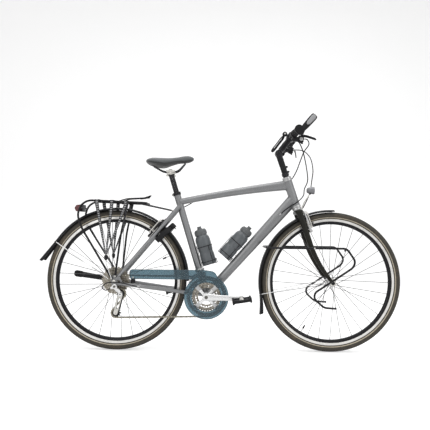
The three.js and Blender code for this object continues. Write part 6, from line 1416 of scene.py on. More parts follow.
rings = Shape()
for i, (teeth, inner) in enumerate(((48, 80), (36, 55), (26, 41.7))):
    y = SLOT_Y + i * 7.2
    rings.add(plate(toothed(teeth), y - 0.95, y + 0.95, [circle(inner, 72)], 0), 0 if i else 1)
for x, z in circle(40, 4, 0, 0, 45):
    rings.add(cross_rod(spot(x, 0, z), SLOT_Y - 2, SLOT_Y + 15.4, 4.8, 0.5, 16))
for x, z in circle(1, 4, 0, 0, 45):
    tab = [
        (spot(x * r, SLOT_Y - 0.5, z * r), spot(-z, 0, x) * w, ACROSS * 2.4)
        for r, w in ((38, 11), (50, 9), (62, 10), (74, 15), (79, 17), (81, 14))
    ]
    rings.add(lofted(tab, 20, 0.7), 1)
    rings.add(turned(
        [(0, 0), (5.2, 0), (5.2, 1.4), (4.4, 1.8), (0, 1.8)], spot(x * 72, SLOT_Y - 2.6, z * 72), -ACROSS,
        20,
    ), 2)
placed(rings.bm, BRACKET)
piece("chainring_set", rings, "crankset", [cog_steel, alloy_grey, dark_steel], ["chainrings"], 30)

CRANK_LENGTH = 170


def crank_point(side, reach):
    """How far along and up from the bracket a place on a crank arm is."""
    angle = math.radians(-1.4) + (0 if side < 0 else math.pi)
    return spot(reach * math.cos(angle), 0, reach * math.sin(angle))


cranks = Shape()
for side in (-1, 1):
    inner = 72 if side < 0 else 70
    axis = crank_point(side, 1)
    across = spot(-axis.z, 0, axis.x)
    stations = []
    for share, wide, thick in (
        (-0.07, 0.5, 0.6), (-0.03, 0.85, 0.85), (0.04, 1, 0.92), (0.14, 0.9, 1), (0.3, 0.78, 0.92),
        (0.5, 0.71, 0.86), (0.75, 0.69, 0.82), (0.93, 0.71, 0.8), (1.02, 0.7, 0.78), (1.06, 0.56, 0.7),
        (1.075, 0.35, 0.5),
    ):
        centre = axis * share * CRANK_LENGTH + ACROSS * side * (inner + 7 + max(0, share) * 3)
        stations.append((centre, across * 19 * wide, ACROSS * 7 * thick))
    cranks.add(lofted(stations, 32, 0.8))
    cranks.add(cross_rod(spot(0, 0, 0), side * (inner - 4), side * (inner + 13), 18.6, 1.5, 36))
    end = axis * CRANK_LENGTH
    cranks.add(turned(
        [(0, 0), (8.5, 0), (8.5, 0.8), (7.6, 1.6), (0, 1.6)], ACROSS * side * (inner + 13.4),
        ACROSS * side, 28,
    ), 1)
    cranks.add(sleeve(5.8, 14, 0, 15, end + ACROSS * side * (inner + 2), ACROSS * side, (0.6, 0.7), 32))
cranks.add(cross_rod(spot(0, 0, 0), -72, 70, 8.9, 0.5, 24), 1)
for x, z in circle(1, 4, 0, 0, 45):
    limb = [
        (spot(x * r, y, z * r), spot(-z, 0, x) * w, ACROSS * t)
        for r, y, w, t in (
            (8, -68, 9, 5), (20, -67, 8, 5), (30, -65.4, 7, 4.4), (40, -64, 8, 3.6), (45, -64, 6, 2.6),
        )
    ]
    cranks.add(lofted(limb, 20, 0.8))
placed(cranks.bm, BRACKET)
piece("crank_arms", cranks, "crankset", [alloy, dark_steel], ["crankset"])

for name, side in SIDES:
    end = BRACKET + crank_point(side, CRANK_LENGTH)
    pedal_width = 84
    near = 92.3
    far = near + pedal_width
    middle = side * (near + far) / 2
    tread = Shape()
    for way in (-1, 1):
        tread.add(block(spot(way * 41.5, middle, 0), (9, pedal_width, 15), 1.8, 0, 3))
        for share in (0.1, 0.3, 0.5, 0.7, 0.9):
            tread.add(block(spot(way * 41.5, side * (near + pedal_width * share), 0), (8.6, 8, 24), 1.6))
        tread.add(block(spot(way * 45.4, middle, 0), (1.8, 46, 10), 0.5), 2)
    for y in (near + 5, far - 5):
        tread.add(block(spot(0, side * y, 0), (88, 9, 14), 2.4, 0, 3))
    tread.add(turned(
        [
            (0, 0), (7, 0), (8, 1.5), (8, 8), (10.8, 14), (11.2, 30), (10.4, 62), (9.4, 74), (7.4, 79),
            (0, 79),
        ],
        spot(0, side * near, 0), ACROSS * side, 32,
    ), 1)
    tread.add(block(spot(0, middle, 0), (78, 14, 8), 2, 0, 3))
    tread.add(cross_rod(spot(0, 0, 0), side * 76, side * (near + 4), 5, 0.5, 20), 1)
    bmesh.ops.rotate(
        tread.bm, cent=(0, 0, 0), matrix=Matrix.Rotation(math.radians(-9), 3, "Y"), verts=tread.bm.verts,
    )
    placed(tread.bm, end)
    piece(
        f"pedal_{name}_cage", tread, f"pedal_{name}", [black_plastic, cast_alloy, amber],
        [f"pedal_{name}"],
    )

cogs = Shape()
for i, teeth in enumerate((11, 12, 14, 16, 18, 21, 24, 28, 34)):
    y = SLOT_Y + 4.34 * (i - 2)
    holes = [circle(pitch_radius(teeth) * 0.6 if teeth > 20 else 9.4, 40)]
    cogs.add(placed(plate(toothed(teeth, 0.1 * i), y - 0.9, y + 0.9, holes, 0), REAR_AXLE))
    if teeth > 20:
        for x, z in circle(1, 5, 0, 0, 20):
            limb = [
                (spot(x * r, y, z * r), spot(-z, 0, x) * w, ACROSS * 0.9)
                for r, w in ((10, 7), (16, 5), (pitch_radius(teeth) - 6, 6))
            ]
            cogs.add(placed(lofted(limb, 12, 0.6), REAR_AXLE))
cogs.add(turned(
    [(9.4, -2.5), (16.6, -2.5), (17, -2), (17, 36), (9.4, 36)], REAR_AXLE + ACROSS * (SLOT_Y - 8.7),
    ACROSS, 32, loop=True,
), 1)
piece("cassette_cogs", cogs, "cassette", [cog_steel, dark_steel], ["cassette"], 30)

GUIDE, TENSION = spot(32, 0, 288), spot(8, 0, 193)


def chain_course():
    """The closed line that the chain's pins follow round the ring, both pulleys and the cog in use."""
    wheels = (
        (BRACKET, pitch_radius(48), 1), (TENSION, pitch_radius(11), 1), (GUIDE, pitch_radius(11), -1),
        (REAR_AXLE, pitch_radius(14), 1),
    )
    runs = []
    for i, (at, radius, turn) in enumerate(wheels):
        to, to_radius, to_turn = wheels[(i + 1) % 4]
        away = to - at
        angle = math.atan2(away.z, away.x) + math.asin((to_turn * to_radius - turn * radius) / away.length)
        normal = spot(math.sin(angle), 0, -math.cos(angle))
        runs.append((at - normal * turn * radius, to - normal * to_turn * to_radius))
    points = []
    for i, (at, radius, turn) in enumerate(wheels):
        arrive, leave = runs[i - 1][1] - at, runs[i][0] - at
        start, stop = math.atan2(arrive.z, arrive.x), math.atan2(leave.z, leave.x)
        while turn > 0 and stop > start:
            stop -= math.tau
        while turn < 0 and stop < start:
            stop += math.tau
        count = max(4, int(abs(stop - start) * radius / 3))
        for k in range(count):
            t = start + (stop - start) * k / count
            points.append(at + spot(math.cos(t), 0, math.sin(t)) * radius)
        points += [runs[i][0].lerp(runs[i][1], k / 60) for k in range(60)]
    return points


def evenly(points, count):
    """Splits a closed line into equal steps."""
    spans = [(b - a).length for a, b in zip(points, points[1:] + points[:1])]
    total = sum(spans)
    places, travelled, index = [], 0.0, 0
    for i in range(count):
        wanted = total * i / count
        while travelled + spans[index] < wanted:
            travelled += spans[index]
            index += 1
        share = (wanted - travelled) / spans[index]
        places.append(points[index].lerp(points[(index + 1) % len(points)], share))
    return places


def link_plate(a, b, y, thickness, radius):
    """One side plate of a link: round at both pins and drawn in between."""
    way = (b - a).normalized()
    up = spot(-way.z, 0, way.x)
    outline = []
    for along, rise in (
        (-0.9, 0.45), (-0.45, 0.9), (0.3, 1), (0.5, 0.78), (0.7, 1), (1.45, 0.9), (1.9, 0.45),
        (1.9, -0.45), (1.45, -0.9), (0.7, -1), (0.5, -0.78), (0.3, -1), (-0.45, -0.9), (-0.9, -0.45),
    ):
        if along < 0:
            place = a + way * along * radius
        elif along > 1:
            place = b + way * (along - 1) * radius
        else:
            place = a.lerp(b, along)
        place = place + up * rise * radius
        outline.append((place.x, place.z))
    return plate(outline, y - thickness / 2, y + thickness / 2, (), 0)


course = chain_course()
total = sum((b - a).length for a, b in zip(course, course[1:] + course[:1]))
pins = evenly(course, 2 * round(total / CHAIN_PITCH / 2))
links = Shape()
for i, pin in enumerate(pins):
    following = pins[(i + 1) % len(pins)]
    out = 2.7 if i % 2 else 1.75
    for way in (-1, 1):
        links.add(link_plate(pin, following, SLOT_Y + way * out, 0.85, 4.2 if i % 2 else 4.0))
    links.add(cross_rod(pin, SLOT_Y - 1.3, SLOT_Y + 1.3, 3.9, 0.2, 10))
    links.add(cross_rod(pin, SLOT_Y - 3.3, SLOT_Y + 3.3, 1.6, 0.2, 8), 1)
piece("chain_links", links, "frame", [chain_steel, cast_alloy], ["chain"], 35)

for name, centre in (("guide_pulley", GUIDE), ("tension_pulley", TENSION)):
    wheel_form = shaped(
        plate(toothed(11), SLOT_Y - 0.95, SLOT_Y + 0.95, [circle(7, 24)], 0.2),
        turned(
            [(2.8, -4.4), (5.6, -4.4), (6, -4), (7.4, -1.2), (7.4, 1.2), (6, 4), (5.6, 4.4), (2.8, 4.4)],
            ACROSS * SLOT_Y, ACROSS, 24, loop=True,
        ),
    )
    placed(wheel_form.bm, centre)
    piece(f"{name}_wheel", wheel_form, name, [black_plastic], [name])

lean = math.degrees(math.atan2(TENSION.z - GUIDE.z, TENSION.x - GUIDE.x))
cage_outline = arc(15, lean + 90, lean + 270, 14, GUIDE.x, GUIDE.z)
cage_outline += arc(13, lean - 90, lean + 90, 14, TENSION.x, TENSION.z)
toward_low = (TENSION - GUIDE).normalized()
toward_side = spot(-toward_low.z, 0, toward_low.x)
window = [
    GUIDE + toward_low * along + toward_side * aside
    for along, aside in ((24, 6), (24, -6), (76, -5), (76, 5))
]
window = rounded_outline([(corner.x, corner.z) for corner in window], 5)
cage = Shape()
outer_outline = arc(12.4, lean + 90, lean + 270, 14, GUIDE.x - 1.6, GUIDE.z)
outer_outline += arc(10, lean - 90, lean + 90, 14, TENSION.x - 1.2, TENSION.z + 1)
cage.add(plate(cage_outline, SLOT_Y + 5.6, SLOT_Y + 7.6, [window], 0.4))
cage.add(plate(cage_outline, SLOT_Y - 5.6, SLOT_Y - 7, [window], 0.4))
cage.add(plate(outer_outline, SLOT_Y - 7, SLOT_Y - 8.2, [window], 0.4), 1)
for centre in (GUIDE, TENSION):
    cage.add(cross_rod(centre, SLOT_Y - 6.6, SLOT_Y + 8.6, 2.5, 0.3, 16), 1)
    cage.add(bolt(spot(centre.x, SLOT_Y - 9.4, centre.z), -ACROSS, 4.2, 2.4), 1)
cage.add(cross_rod(GUIDE, SLOT_Y - 6.6, SLOT_Y - 21, 4, 0.4, 18))
piece(
    "derailleur_cage_plates", cage, "derailleur_cage", [black_gloss, cast_alloy], ["derailleur_cage"],
)

CAGE_SIDE = SLOT_Y - 5.6 - 2 - 0.5
mech = Shape()
mech.add(sleeve(4.4, 12, 0, 20, spot(KNUCKLE.x, -75.6, KNUCKLE.z), -ACROSS, 1, 36))
mech.add(turned(
    [(4.4, 0), (10.4, 0), (11, 0.8), (11, 17), (9.6, 18), (4.4, 18)], spot(GUIDE.x, CAGE_SIDE, GUIDE.z),
    -ACROSS, 36, loop=True,
))
start, stop = spot(KNUCKLE.x, -86, KNUCKLE.z), spot(GUIDE.x, CAGE_SIDE - 10.8, GUIDE.z)
stations = [
    (start.lerp(stop, share), spot(wide, 0, -2 * wide / 13), ACROSS * 7)
    for share, wide in ((0, 8), (0.15, 12), (0.35, 14.4), (0.65, 14.4), (0.85, 12), (1, 8))
]
mech.add(lofted(stations, 28, 0.7))
mech.add(lofted(
    [
        (spot(x, -87, z), spot(0, 0, tall), ACROSS * 7)
        for x, z, tall in ((-12, 319, 4), (-9, 320, 7), (0, 323, 9), (8, 325, 9))
    ],
    24, 0.7,
))
for share in (0.22, 0.78):
    mid = start.lerp(stop, share)
    mech.add(rod(mid + spot(-8, -8, 1), mid + spot(-8, 8, 1), 2, 0.3, 14), 1)
    mech.add(rod(mid + spot(8, -8, -1), mid + spot(8, 8, -1), 2, 0.3, 14), 1)
mech.add(rod(spot(-5, -86, 322), spot(-2, -86, 318), 3.6, 0.5, 18), 1)
mech.add(bolt(spot(KNUCKLE.x, -98.2, KNUCKLE.z), -ACROSS, 6, 2.6), 1)
piece("rear_derailleur_body", mech, "rear_derailleur", [alloy, dark_steel], ["rear_derailleur"])

reach = pitch_radius(48)
cage_plate = arc(reach + 26, 92, 128, 10, BRACKET.x, BRACKET.z)
cage_plate += arc(reach + 16, 141, 142.5, 2, BRACKET.x, BRACKET.z)
cage_plate += arc(reach + 5, 142, 92, 14, BRACKET.x, BRACKET.z)
front_cage = Shape()
front_cage.add(plate(cage_plate, SLOT_Y - 5.6, SLOT_Y - 4, (), 0.3))
front_cage.add(plate(cage_plate, SLOT_Y + 4, SLOT_Y + 5.6, (), 0.3))
for radius, angle in ((reach + 22, 100), (reach + 10, 138)):
    front_cage.add(cross_rod(on_circle(BRACKET, radius, angle), SLOT_Y - 5, SLOT_Y + 5, 2.5, 0.4, 14), 1)
front_cage.add(turned(
    [(4.4, 4), (7.6, 4), (8, 4.4), (8, 17.4), (7.4, 18), (4.4, 18)],
    spot(band_axis.x, SLOT_Y, band_axis.z), ACROSS, 28, loop=True,
), 1)
front_cage.add(rod(
    spot(band_axis.x, SLOT_Y + 7, band_axis.z - 6), spot(band_axis.x + 2, SLOT_Y + 5.5, band_axis.z - 16),
    5, 0.6, 18, end_radius=5.6,
), 1)
piece(
    "front_cage_plates", front_cage, "front_derailleur_cage", [alloy, cast_alloy],
    ["front_derailleur_cage"],
)


# Chain guard

def guard_outline(inset):
    """Round about the ring, with an arm that runs back over the chain."""
    r, upper, lower, rear = 109 - inset, 131 - inset, 84 + inset, 75 + inset
    end = 180 - math.degrees(math.asin(lower / r))
    cx, cz = BRACKET.x, BRACKET.z
    corners = arc(r, end - 360, 58, 60, cx, cz)
    crest = [Vector(p) for p in [(cx + r * 0.36, cz + upper - 7), (cx - 10, cz + upper)]]
    tail = [Vector(p) for p in [(rear, cz + upper), (rear, cz + lower)]]
    last = Vector(corners[-1])
    blend = rounded([last, crest[0], crest[1], tail[0], tail[1], Vector(corners[0])], 16, 8)
    return corners + [(p.x, p.y) for p in blend[1:-1]]


FACE = -68.5
guard = Shape()
guard.add(plate(guard_outline(0), FACE, FACE - 2, [circle(70, 72, BRACKET.x, BRACKET.z)], 0.6))
guard.add(plate(guard_outline(0), FACE + 7.5, FACE - 0.6, [guard_outline(2)], 0.4))
guard.add(plate(
    circle(73, 72, BRACKET.x, BRACKET.z), FACE + 4, FACE - 1.6, [circle(70.5, 72, BRACKET.x, BRACKET.z)],
    0.3,
))
guard.add(block(spot(92, FACE + 2, BRACKET.z + 77), (22, 4, 26), 1), 1)
guard.add(bolt(spot(92, FACE - 2.2, BRACKET.z + 92), -ACROSS, 4, 2), 2)
piece(
    "chain_guard_shell", guard, "frame", [guard_smoke, black_plastic, cast_alloy], ["chain_guard"],
    30,
)


# Rear carrier

RACK_HALF = 65
RACK_TUBE = 5


def deck_z(x):
    """Height of the deck's rails, which fall a little towards the front."""
    return 743 - 10 * (x + 130) / 264


def rack_side_points(side):
    corners = [
        (-10, 82, WHEEL_RADIUS + 15), (-161, 68, 607), (-184, RACK_HALF, 672), (-165, RACK_HALF, 722),
        (-130, RACK_HALF, 743), (150, RACK_HALF, deck_z(150)),
    ]
    return [spot(x, side * y, z) for x, y, z in corners]


carrier = Shape()
carrier.add(pipe(rounded(rack_side_points(-1) + rack_side_points(1)[::-1], 24, 8), RACK_TUBE, 14))
for side in (-1, 1):
    carrier.add(pipe(rounded(
        [
            spot(63, side * RACK_HALF, deck_z(63)), spot(31, side * 70, 579),
            spot(8, side * 82, WHEEL_RADIUS + 26),
        ],
        30, 8,
    ), RACK_TUBE, 14))
    for x, rise in ((-10, 15), (8, 26)):
        carrier.add(rod(
            spot(x, side * 75.1, WHEEL_RADIUS + rise), spot(x, side * 85, WHEEL_RADIUS + rise), 5.6,
            0.8, 20,
        ))
        carrier.add(bolt(spot(x, side * 88, WHEEL_RADIUS + rise), ACROSS * side, 4.2, 3), 1)
    start, stop = spot(104, side * 63, deck_z(104)), on_stay(445, 13, side * (stay_half(445) + 1))
    carrier.add(rod(start, stop, 3.5, 0.5, 16))
    carrier.add(bolt(stop + ACROSS * side * 4.6, ACROSS * side, 3.6, 3), 1)
for x in (-110, 18, 112):
    carrier.add(cross_rod(spot(x, 0, deck_z(x)), -RACK_HALF, RACK_HALF, 4, 0.4, 16))
carrier.add(cross_rod(spot(-172, 0, 706), -RACK_HALF, RACK_HALF, 4, 0.4, 16))
carrier.add(block(spot(-171, 0, 706), (5, 60, 34), 1.4))
piece("rear_carrier", carrier, "frame", [tube_black, cast_alloy], ["rear_rack"], 50)

lamp = Shape()
outline = [(-176.4, 689), (-176.4, 723), (-198.8, 721.3), (-208.4, 706), (-200.4, 689)]
lamp.add(plate(rounded_outline(outline, 5), -35, 35, (), 2.2))
lamp.add(block(spot(-179.5, 0, 706), (6, 71, 35), 1.4, 0, 3), 1)
for i in range(9):
    lamp.add(block(spot(-206.9, -28 + i * 7, 705.5), (1.6, 3.4, 9), 0.5))
piece("tail_lamp_lens", lamp, "frame", [lamp_red, black_plastic], ["tail_lamp"])


def band(places, thickness):
    """A flat braided band. Each place has a centre, a half width and the way its face looks."""
    bm = bmesh.new()
    along_layer, aside_layer = bm.verts.layers.float.new("along"), bm.verts.layers.float.new("aside")
    rings, travelled, last = [], 0.0, None
    for centre, half, face in places:
        travelled += (centre - last).length / 1000 if last else 0.0
        last = centre
        verts = bmesh.ops.create_circle(bm, cap_ends=False, segments=16, radius=1)["verts"]
        for v in verts:
            c, s = (math.copysign(abs(w) ** 0.5, w) for w in v.co.xy)
            v[along_layer], v[aside_layer] = travelled, c
            v.co = centre + FORWARD * half * c + face * thickness / 2 * s
        rings.append(list({edge for v in verts for edge in v.link_edges}))
    return skinned(bm, rings)


def strap_places(x):
    """From hook to hook across the deck, clear of the rails: down each side and flat on top."""
    top = deck_z(x) + RACK_TUBE + 0.3 + 1
    outer = RACK_HALF + RACK_TUBE + 0.3 + 1
    half = [
        (spot(-38, 81, 470), 2.5, ACROSS), (spot(x, outer + 1.6, top - 22), 9, ACROSS),
        (spot(x, outer + 1, top - 5), 9, ACROSS),
    ]
    steps = 10
    (low, narrow, _), (high, wide, _) = half[:2]
    run = [
        (low.lerp(high, i / steps), narrow + (wide - narrow) * (i / steps) ** 0.8, ACROSS)
        for i in range(steps)
    ]
    run += half[1:]
    run += [
        (spot(x, RACK_HALF + 6, top - 0.3), 9, spot(0, 0.7071, 0.7071)), (spot(x, 62, top), 9, UPRIGHT),
        (spot(x, 30, top), 9, UPRIGHT),
    ]
    other = [(spot(p.x, -p.y, p.z), w, spot(f.x, -f.y, f.z)) for p, w, f in run[::-1]]
    return run + [(spot(x, 0, top), 9, UPRIGHT)] + other


straps = Shape()
for x in (-87, -15, 52):
    straps.add(band(strap_places(x), 2))
piece("strap_bands", straps, "frame", [strap_braid], ["luggage_straps"], 60)
ends = Shape()
for side in (-1, 1):
    ball = spot(-38, side * 81, 466)
    ends.add(turned(
        [(0, -15), (4, -14.4), (6.4, -10), (8.6, -3), (9, 2), (8, 7), (5.4, 10), (0, 11)], ball,
        UPRIGHT, 28,
    ))
    for height in (-6, 0, 6):
        ends.add(turned([(8, height - 1), (9.3, height), (8, height + 1)], ball, UPRIGHT, 28, loop=True))
    hook = smooth_line(
        [
            ball + spot(0, 0, -10), ball + spot(5, side * 4, -38),
            spot(-12, side * 90, WHEEL_RADIUS + 26), spot(-9, side * 90, WHEEL_RADIUS + 15),
        ],
        8,
    )
    ends.add(pipe(hook, 2.2, 10), 1)
piece("strap_ends", ends, "frame", [block_rubber, bright_steel], ["luggage_straps"], 50)

clip = Shape()
for side in (-1, 1):
    clip.add(sleeve(4.3, 8.5, 0, 10, spot(18, side * 24, deck_z(18)), ACROSS * side, 0.5, 24))
wire = [(18, 29, deck_z(18) + 7), (52, 27, 755), (120, 20, 759), (150, 14, 761)]
wire = [spot(x, y, z) for x, y, z in wire] + [spot(162, 0, 762)] + [spot(x, -y, z) for x, y, z in wire[::-1]]
clip.add(pipe(rounded(wire, 14, 8), 2.8, 12), 1)
tongue = (
    (112, 755, 17, 2), (118, 757, 19, 3.6), (136, 760, 18, 4.6), (152, 765, 15, 4.6), (164, 771, 11, 3.6),
    (167, 773, 7, 2),
)
clip.add(lofted(
    [(spot(x, 0, z), ACROSS * wide, spot(-thick * 0.25, 0, thick)) for x, z, wide, thick in tongue], 28,
    0.7,
))
piece("rack_clip_wire", clip, "rack_clip", [black_plastic, tube_black], ["rack_clip"])


# Ring lock

LOCK_OUT = spot(math.cos(math.radians(LOCK_RISE)), 0, math.sin(math.radians(LOCK_RISE)))
LOCK_ALONG = spot(-LOCK_OUT.z, 0, LOCK_OUT.x)
LOCK_CENTRE = REAR_AXLE + LOCK_OUT * 327


def lock_plate(outline, thickness, edge):
    """A plate in the lock's own plane: out from the axle, and across."""
    form = plate(outline, -thickness / 2, thickness / 2, (), edge)
    turn = Matrix((LOCK_OUT, -LOCK_ALONG, ACROSS)).transposed().to_4x4()
    form.transform(Matrix.Translation(LOCK_CENTRE) @ turn)
    return form


def sector(inner, outer, start, end, steps):
    return arc(outer, 180 + start, 180 + end, steps) + arc(inner, 180 + end, 180 + start, steps)


lock = Shape()
lock.add(lock_plate(sector(39, 44, 37, 323, 48), 26, 1.2))
lock.add(lock_plate(sector(53.2, 59, 37, 323, 48), 26, 2))
for face in (-1, 1):
    cheek = lock_plate(sector(39.5, 58.5, 38, 322, 48), 6, 1.6)
    lock.add(placed(cheek, LOCK_ALONG * face * 9.6))
lock_body = [(49, -24), (55, -30), (74, -20), (74, 20), (55, 30), (49, 24)]
lock.add(lock_plate(rounded_outline(lock_body, 6), 26, 3))
lock.add(turned(
    [(0, 0), (8.6, 0), (8.6, 1), (7.6, 2), (2, 2), (2, 1), (0, 1)],
    LOCK_CENTRE + LOCK_OUT * 62 - LOCK_ALONG * 13, -LOCK_ALONG, 28,
), 1)
lock.add(block(LOCK_CENTRE + LOCK_OUT * 62 - LOCK_ALONG * 15.4, (3, 20, 16), 1.2, LOCK_RISE))
for side in (-1, 1):
    foot = LOCK_CENTRE + ACROSS * side * 44
    lock.add(rod(foot, foot + LOCK_ALONG * 21.1, 4, 0.6, 18))
piece("ring_lock_case", lock, "frame", [black_plastic, cast_alloy], ["ring_lock"])

bow = Shape()
bow_line = []
for i in range(49):
    t = math.radians(180 + 42 + (232 - 42) * i / 48)
    bow_line.append(LOCK_CENTRE + LOCK_OUT * (48.8 * math.cos(t)) + ACROSS * (48.8 * math.sin(t)))
bow.add(pipe(bow_line, 3.9, 16))
tab_at = math.radians(180 + 150)
tab_way = LOCK_OUT * math.cos(tab_at) + ACROSS * math.sin(tab_at)
bow.add(rod(LOCK_CENTRE + tab_way * 48, LOCK_CENTRE + tab_way * 66, 2.8, 0.5, 16))
bow.add(rod(LOCK_CENTRE + tab_way * 60, LOCK_CENTRE + tab_way * 68, 3, 0.8, 18), 1)
piece("lock_bow", bow, "lock_shackle", [bright_steel, black_plastic], ["lock_shackle"])


# Side stand

stand = Shape()
LEG_LENGTH = 312
root, lift = STAND_BOSS + ACROSS * 99.5, math.radians(9)
leg_x, leg_z = LEG_LENGTH * math.cos(lift), LEG_LENGTH * math.sin(lift)
tip = spot(STAND_BOSS.x - leg_x, 103.5, STAND_BOSS.z + leg_z)
knuckle_profile = [(0, 0), (10, 0), (11, 1), (11, 20), (9, 25), (0, 25)]
stand.add(turned(knuckle_profile, STAND_BOSS + ACROSS * 82.3, ACROSS, 32))
way = tip - root
over = spot(way.z, 0, -way.x).normalized()
leg = [(0, 8, 6.6), (0.04, 8.6, 7), (0.2, 9.4, 7), (0.45, 11.6, 7), (0.7, 13.6, 7), (0.88, 15, 7)]
foot = [(0.86, 13, 7), (0.865, 15.4, 8.4), (0.88, 16.4, 8.8), (0.96, 16.4, 8.8), (0.985, 14.6, 8)]
foot.append((1, 9.5, 5.4))
stand.add(lofted(stations_between(root, tip, over, ACROSS, leg), 32, 0.75))
stand.add(lofted(stations_between(root, tip, over, ACROSS, foot), 32, 0.75), 1)
for i in range(4):
    rib = [
        (0.885 + i * 0.022 + step, 16.2 + up, 8.6 + up)
        for step, up in ((0, 0), (0.003, 1), (0.009, 1), (0.012, 0))
    ]
    stand.add(lofted(stations_between(root, tip, over, ACROSS, rib), 32, 0.75), 1)
stand.add(bolt(STAND_BOSS + ACROSS * 109, ACROSS, 6, 3), 2)
piece("side_stand", stand, "kickstand", [black_gloss, block_rubber, cast_alloy], ["kickstand"])


# Bottles and cages

DOWN_BOTTLE = BRACKET + DOWN_WAY * 205 + DOWN_UP * 67
SEAT_BOTTLE = on_seat(146, 59)


def bottle(name, foot, up):
    forward = ACROSS.cross(up)
    flask = Shape()
    profile = [
        (0, 2), (26, 2), (28, 0), (33, 0), (35.6, 2), (36.5, 5), (36.5, 20), (36, 22), (36.5, 24),
        (36.5, 52),
    ]
    profile += [
        (35.4, 55), (34.4, 60), (34.4, 66), (35.4, 71), (36.5, 74), (36.5, 124), (35.8, 132), (33, 140),
        (29, 146), (27, 150), (27, 158), (0, 158),
    ]
    flask.add(turned(profile, foot, up, 56))
    cap = [(0, 150), (29.5, 150), (31, 151.5), (31, 168)]
    cap += [
        (30.2, 171), (27.6, 175), (25, 178.6), (16, 180), (12.4, 181), (11.6, 184), (10, 186), (10, 189),
        (11, 191), (11, 193), (9.4, 194), (0, 194),
    ]
    flask.add(turned(cap, foot, up, 56), 1)
    for i in range(28):
        t = i * math.tau / 28
        out = forward * math.cos(t) + ACROSS * math.sin(t)
        flask.add(rod(foot + up * 153 + out * 30.4, foot + up * 168 + out * 30.4, 0.9, 0.3, 8), 1)
    piece(f"{name}_flask", flask, name, [bottle_smoke, bottle_cap], [name], 30)


bottle("bottle_seat", SEAT_BOTTLE, SEAT_UP)
bottle("bottle_down", DOWN_BOTTLE, DOWN_WAY)


def cage_for(name, foot, up):
    forward = ACROSS.cross(up)
    inner = 36.8 / math.cos(math.pi / 12)
    mid = inner + 1.7

    def ring_point(degrees, height):
        t = math.radians(degrees)
        return foot + up * height + forward * (mid * math.cos(t)) + ACROSS * (mid * math.sin(t))

    shape = Shape()
    for height in (15.7, 91.7):
        shape.add(pipe([ring_point(i * 10, height) for i in range(36)], 1.7, 10, closed=True))
    for side in (-1, 1):
        shape.add(pipe([ring_point(side * 60, h) for h in (0, 20, 96)], 1.7, 10))
    shape.add(lofted(
        [(foot + up * h - forward * (mid - 0.3), ACROSS * 8, forward * 1.3) for h in (-3.6, 104)], 16,
        0.5,
    ))
    shape.add(lofted(
        [(foot - up * 2 + forward * f, ACROSS * w, up * 1.6) for f, w in ((-mid, 6), (0, 6), (mid, 6))],
        16, 0.5,
    ))
    shape.add(lofted(
        [
            (foot + forward * mid + up * h, ACROSS * w, forward * 1.6)
            for h, w in ((-3.4, 6), (12, 6), (20, 5), (20.6, 3))
        ],
        16, 0.5,
    ))
    piece(f"{name}_wire", shape, "frame", [tube_black], [name], 50)


cage_for("bottle_cage_seat", SEAT_BOTTLE, SEAT_UP)
cage_for("bottle_cage_down", DOWN_BOTTLE, DOWN_WAY)


# Low front carrier and head lamp

run = [
    (741, 521), (1122, 521), (1164, 461), (1154, 430), (1048, 359), (971, 308), (968, 279), (1015, 236),
    (1070, 233),
]
LOW_HALF = 105
low_carrier = Shape()
loop = [spot(x, -LOW_HALF, z) for x, z in run[::-1]] + [spot(x, LOW_HALF, z) for x, z in run]
low_carrier.add(pipe(rounded(loop, 18, 8), 5, 14))
for side in (-1, 1):
    low_carrier.add(rod(spot(967, side * LOW_HALF, 521), spot(967, side * 60, 521), 4, 0.5, 18))
    low_carrier.add(bolt(spot(967, side * 112, 521), ACROSS * side, 4.2, 3), 1)
    low_carrier.add(rod(spot(1079, side * LOW_HALF, 380), spot(1079, side * 58.6, 367), 3.2, 0.5, 16))
    low_carrier.add(rod(
        spot(1069, side * LOW_HALF, 233), spot(1075, side * LOW_HALF, 233), 5.8, 1, 18, end_radius=5.4,
    ), 2)
    low_carrier.add(block(spot(1114, side * LOW_HALF, 514), (8, 8, 14), 1.5))
piece(
    "low_carrier", low_carrier, "steering", [tube_black, cast_alloy, block_rubber], ["low_rider"],
    50,
)

LAMP_BACK = spot(946, 0, 807)
light = Shape()
light.add(turned(
    [
        (0, 0), (9, 0.6), (13, 4), (16.4, 14), (18.4, 27), (19, 33), (19, 38), (17.6, 38), (16.8, 30),
        (0, 24),
    ],
    LAMP_BACK, FORWARD, 40,
))
light.add(turned(
    [(0, 20), (6, 21), (12, 26), (16.6, 34.5), (16.9, 35.4), (15.6, 34), (10, 28), (0, 24)],
    LAMP_BACK, FORWARD, 40,
), 1)
light.add(turned([(0, 36.4), (17.4, 36), (17.4, 38), (12, 39.4), (0, 39.9)], LAMP_BACK, FORWARD, 40), 2)
light.add(pipe(rounded(
    [on_head(371, 24.6), on_head(396, 24.6), on_head(422, 46.6), spot(964, 0, 792)], 12, 6,
), 3, 10), 3)
light.add(cross_rod(spot(963, 0, 790), -8, 8, 4, 0.6, 18), 4)
piece(
    "head_lamp_body", light, "steering", [lamp_shell, mirror, lamp_clear, cast_alloy, black_plastic],
    ["headlamp"],
)


# Cable housings

def housing(name, places, ends):
    """A cable housing with a ferrule at each end.

    ends names its body. Where it holds two bodies and two places instead, the housing rides with no body and
    is fixed where it stands; those bodies and places are not used.
    """
    line = smooth_line([spot(*p) for p in places], 8)
    shape = shaped(pipe(line, 2.55, 12))
    for tip, inner in ((line[0], line[2]), (line[-1], line[-3])):
        shape.add(rod(tip, tip + (inner - tip).normalized() * 11, 3.3, 0.5, 14), 1)
    fixed = isinstance(ends, str)
    made = piece(
        f"{name}_housing", shape, ends if fixed else None, [black_plastic, alloy_grey], [name],
        60,
    )
    if not fixed:
        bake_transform(made)


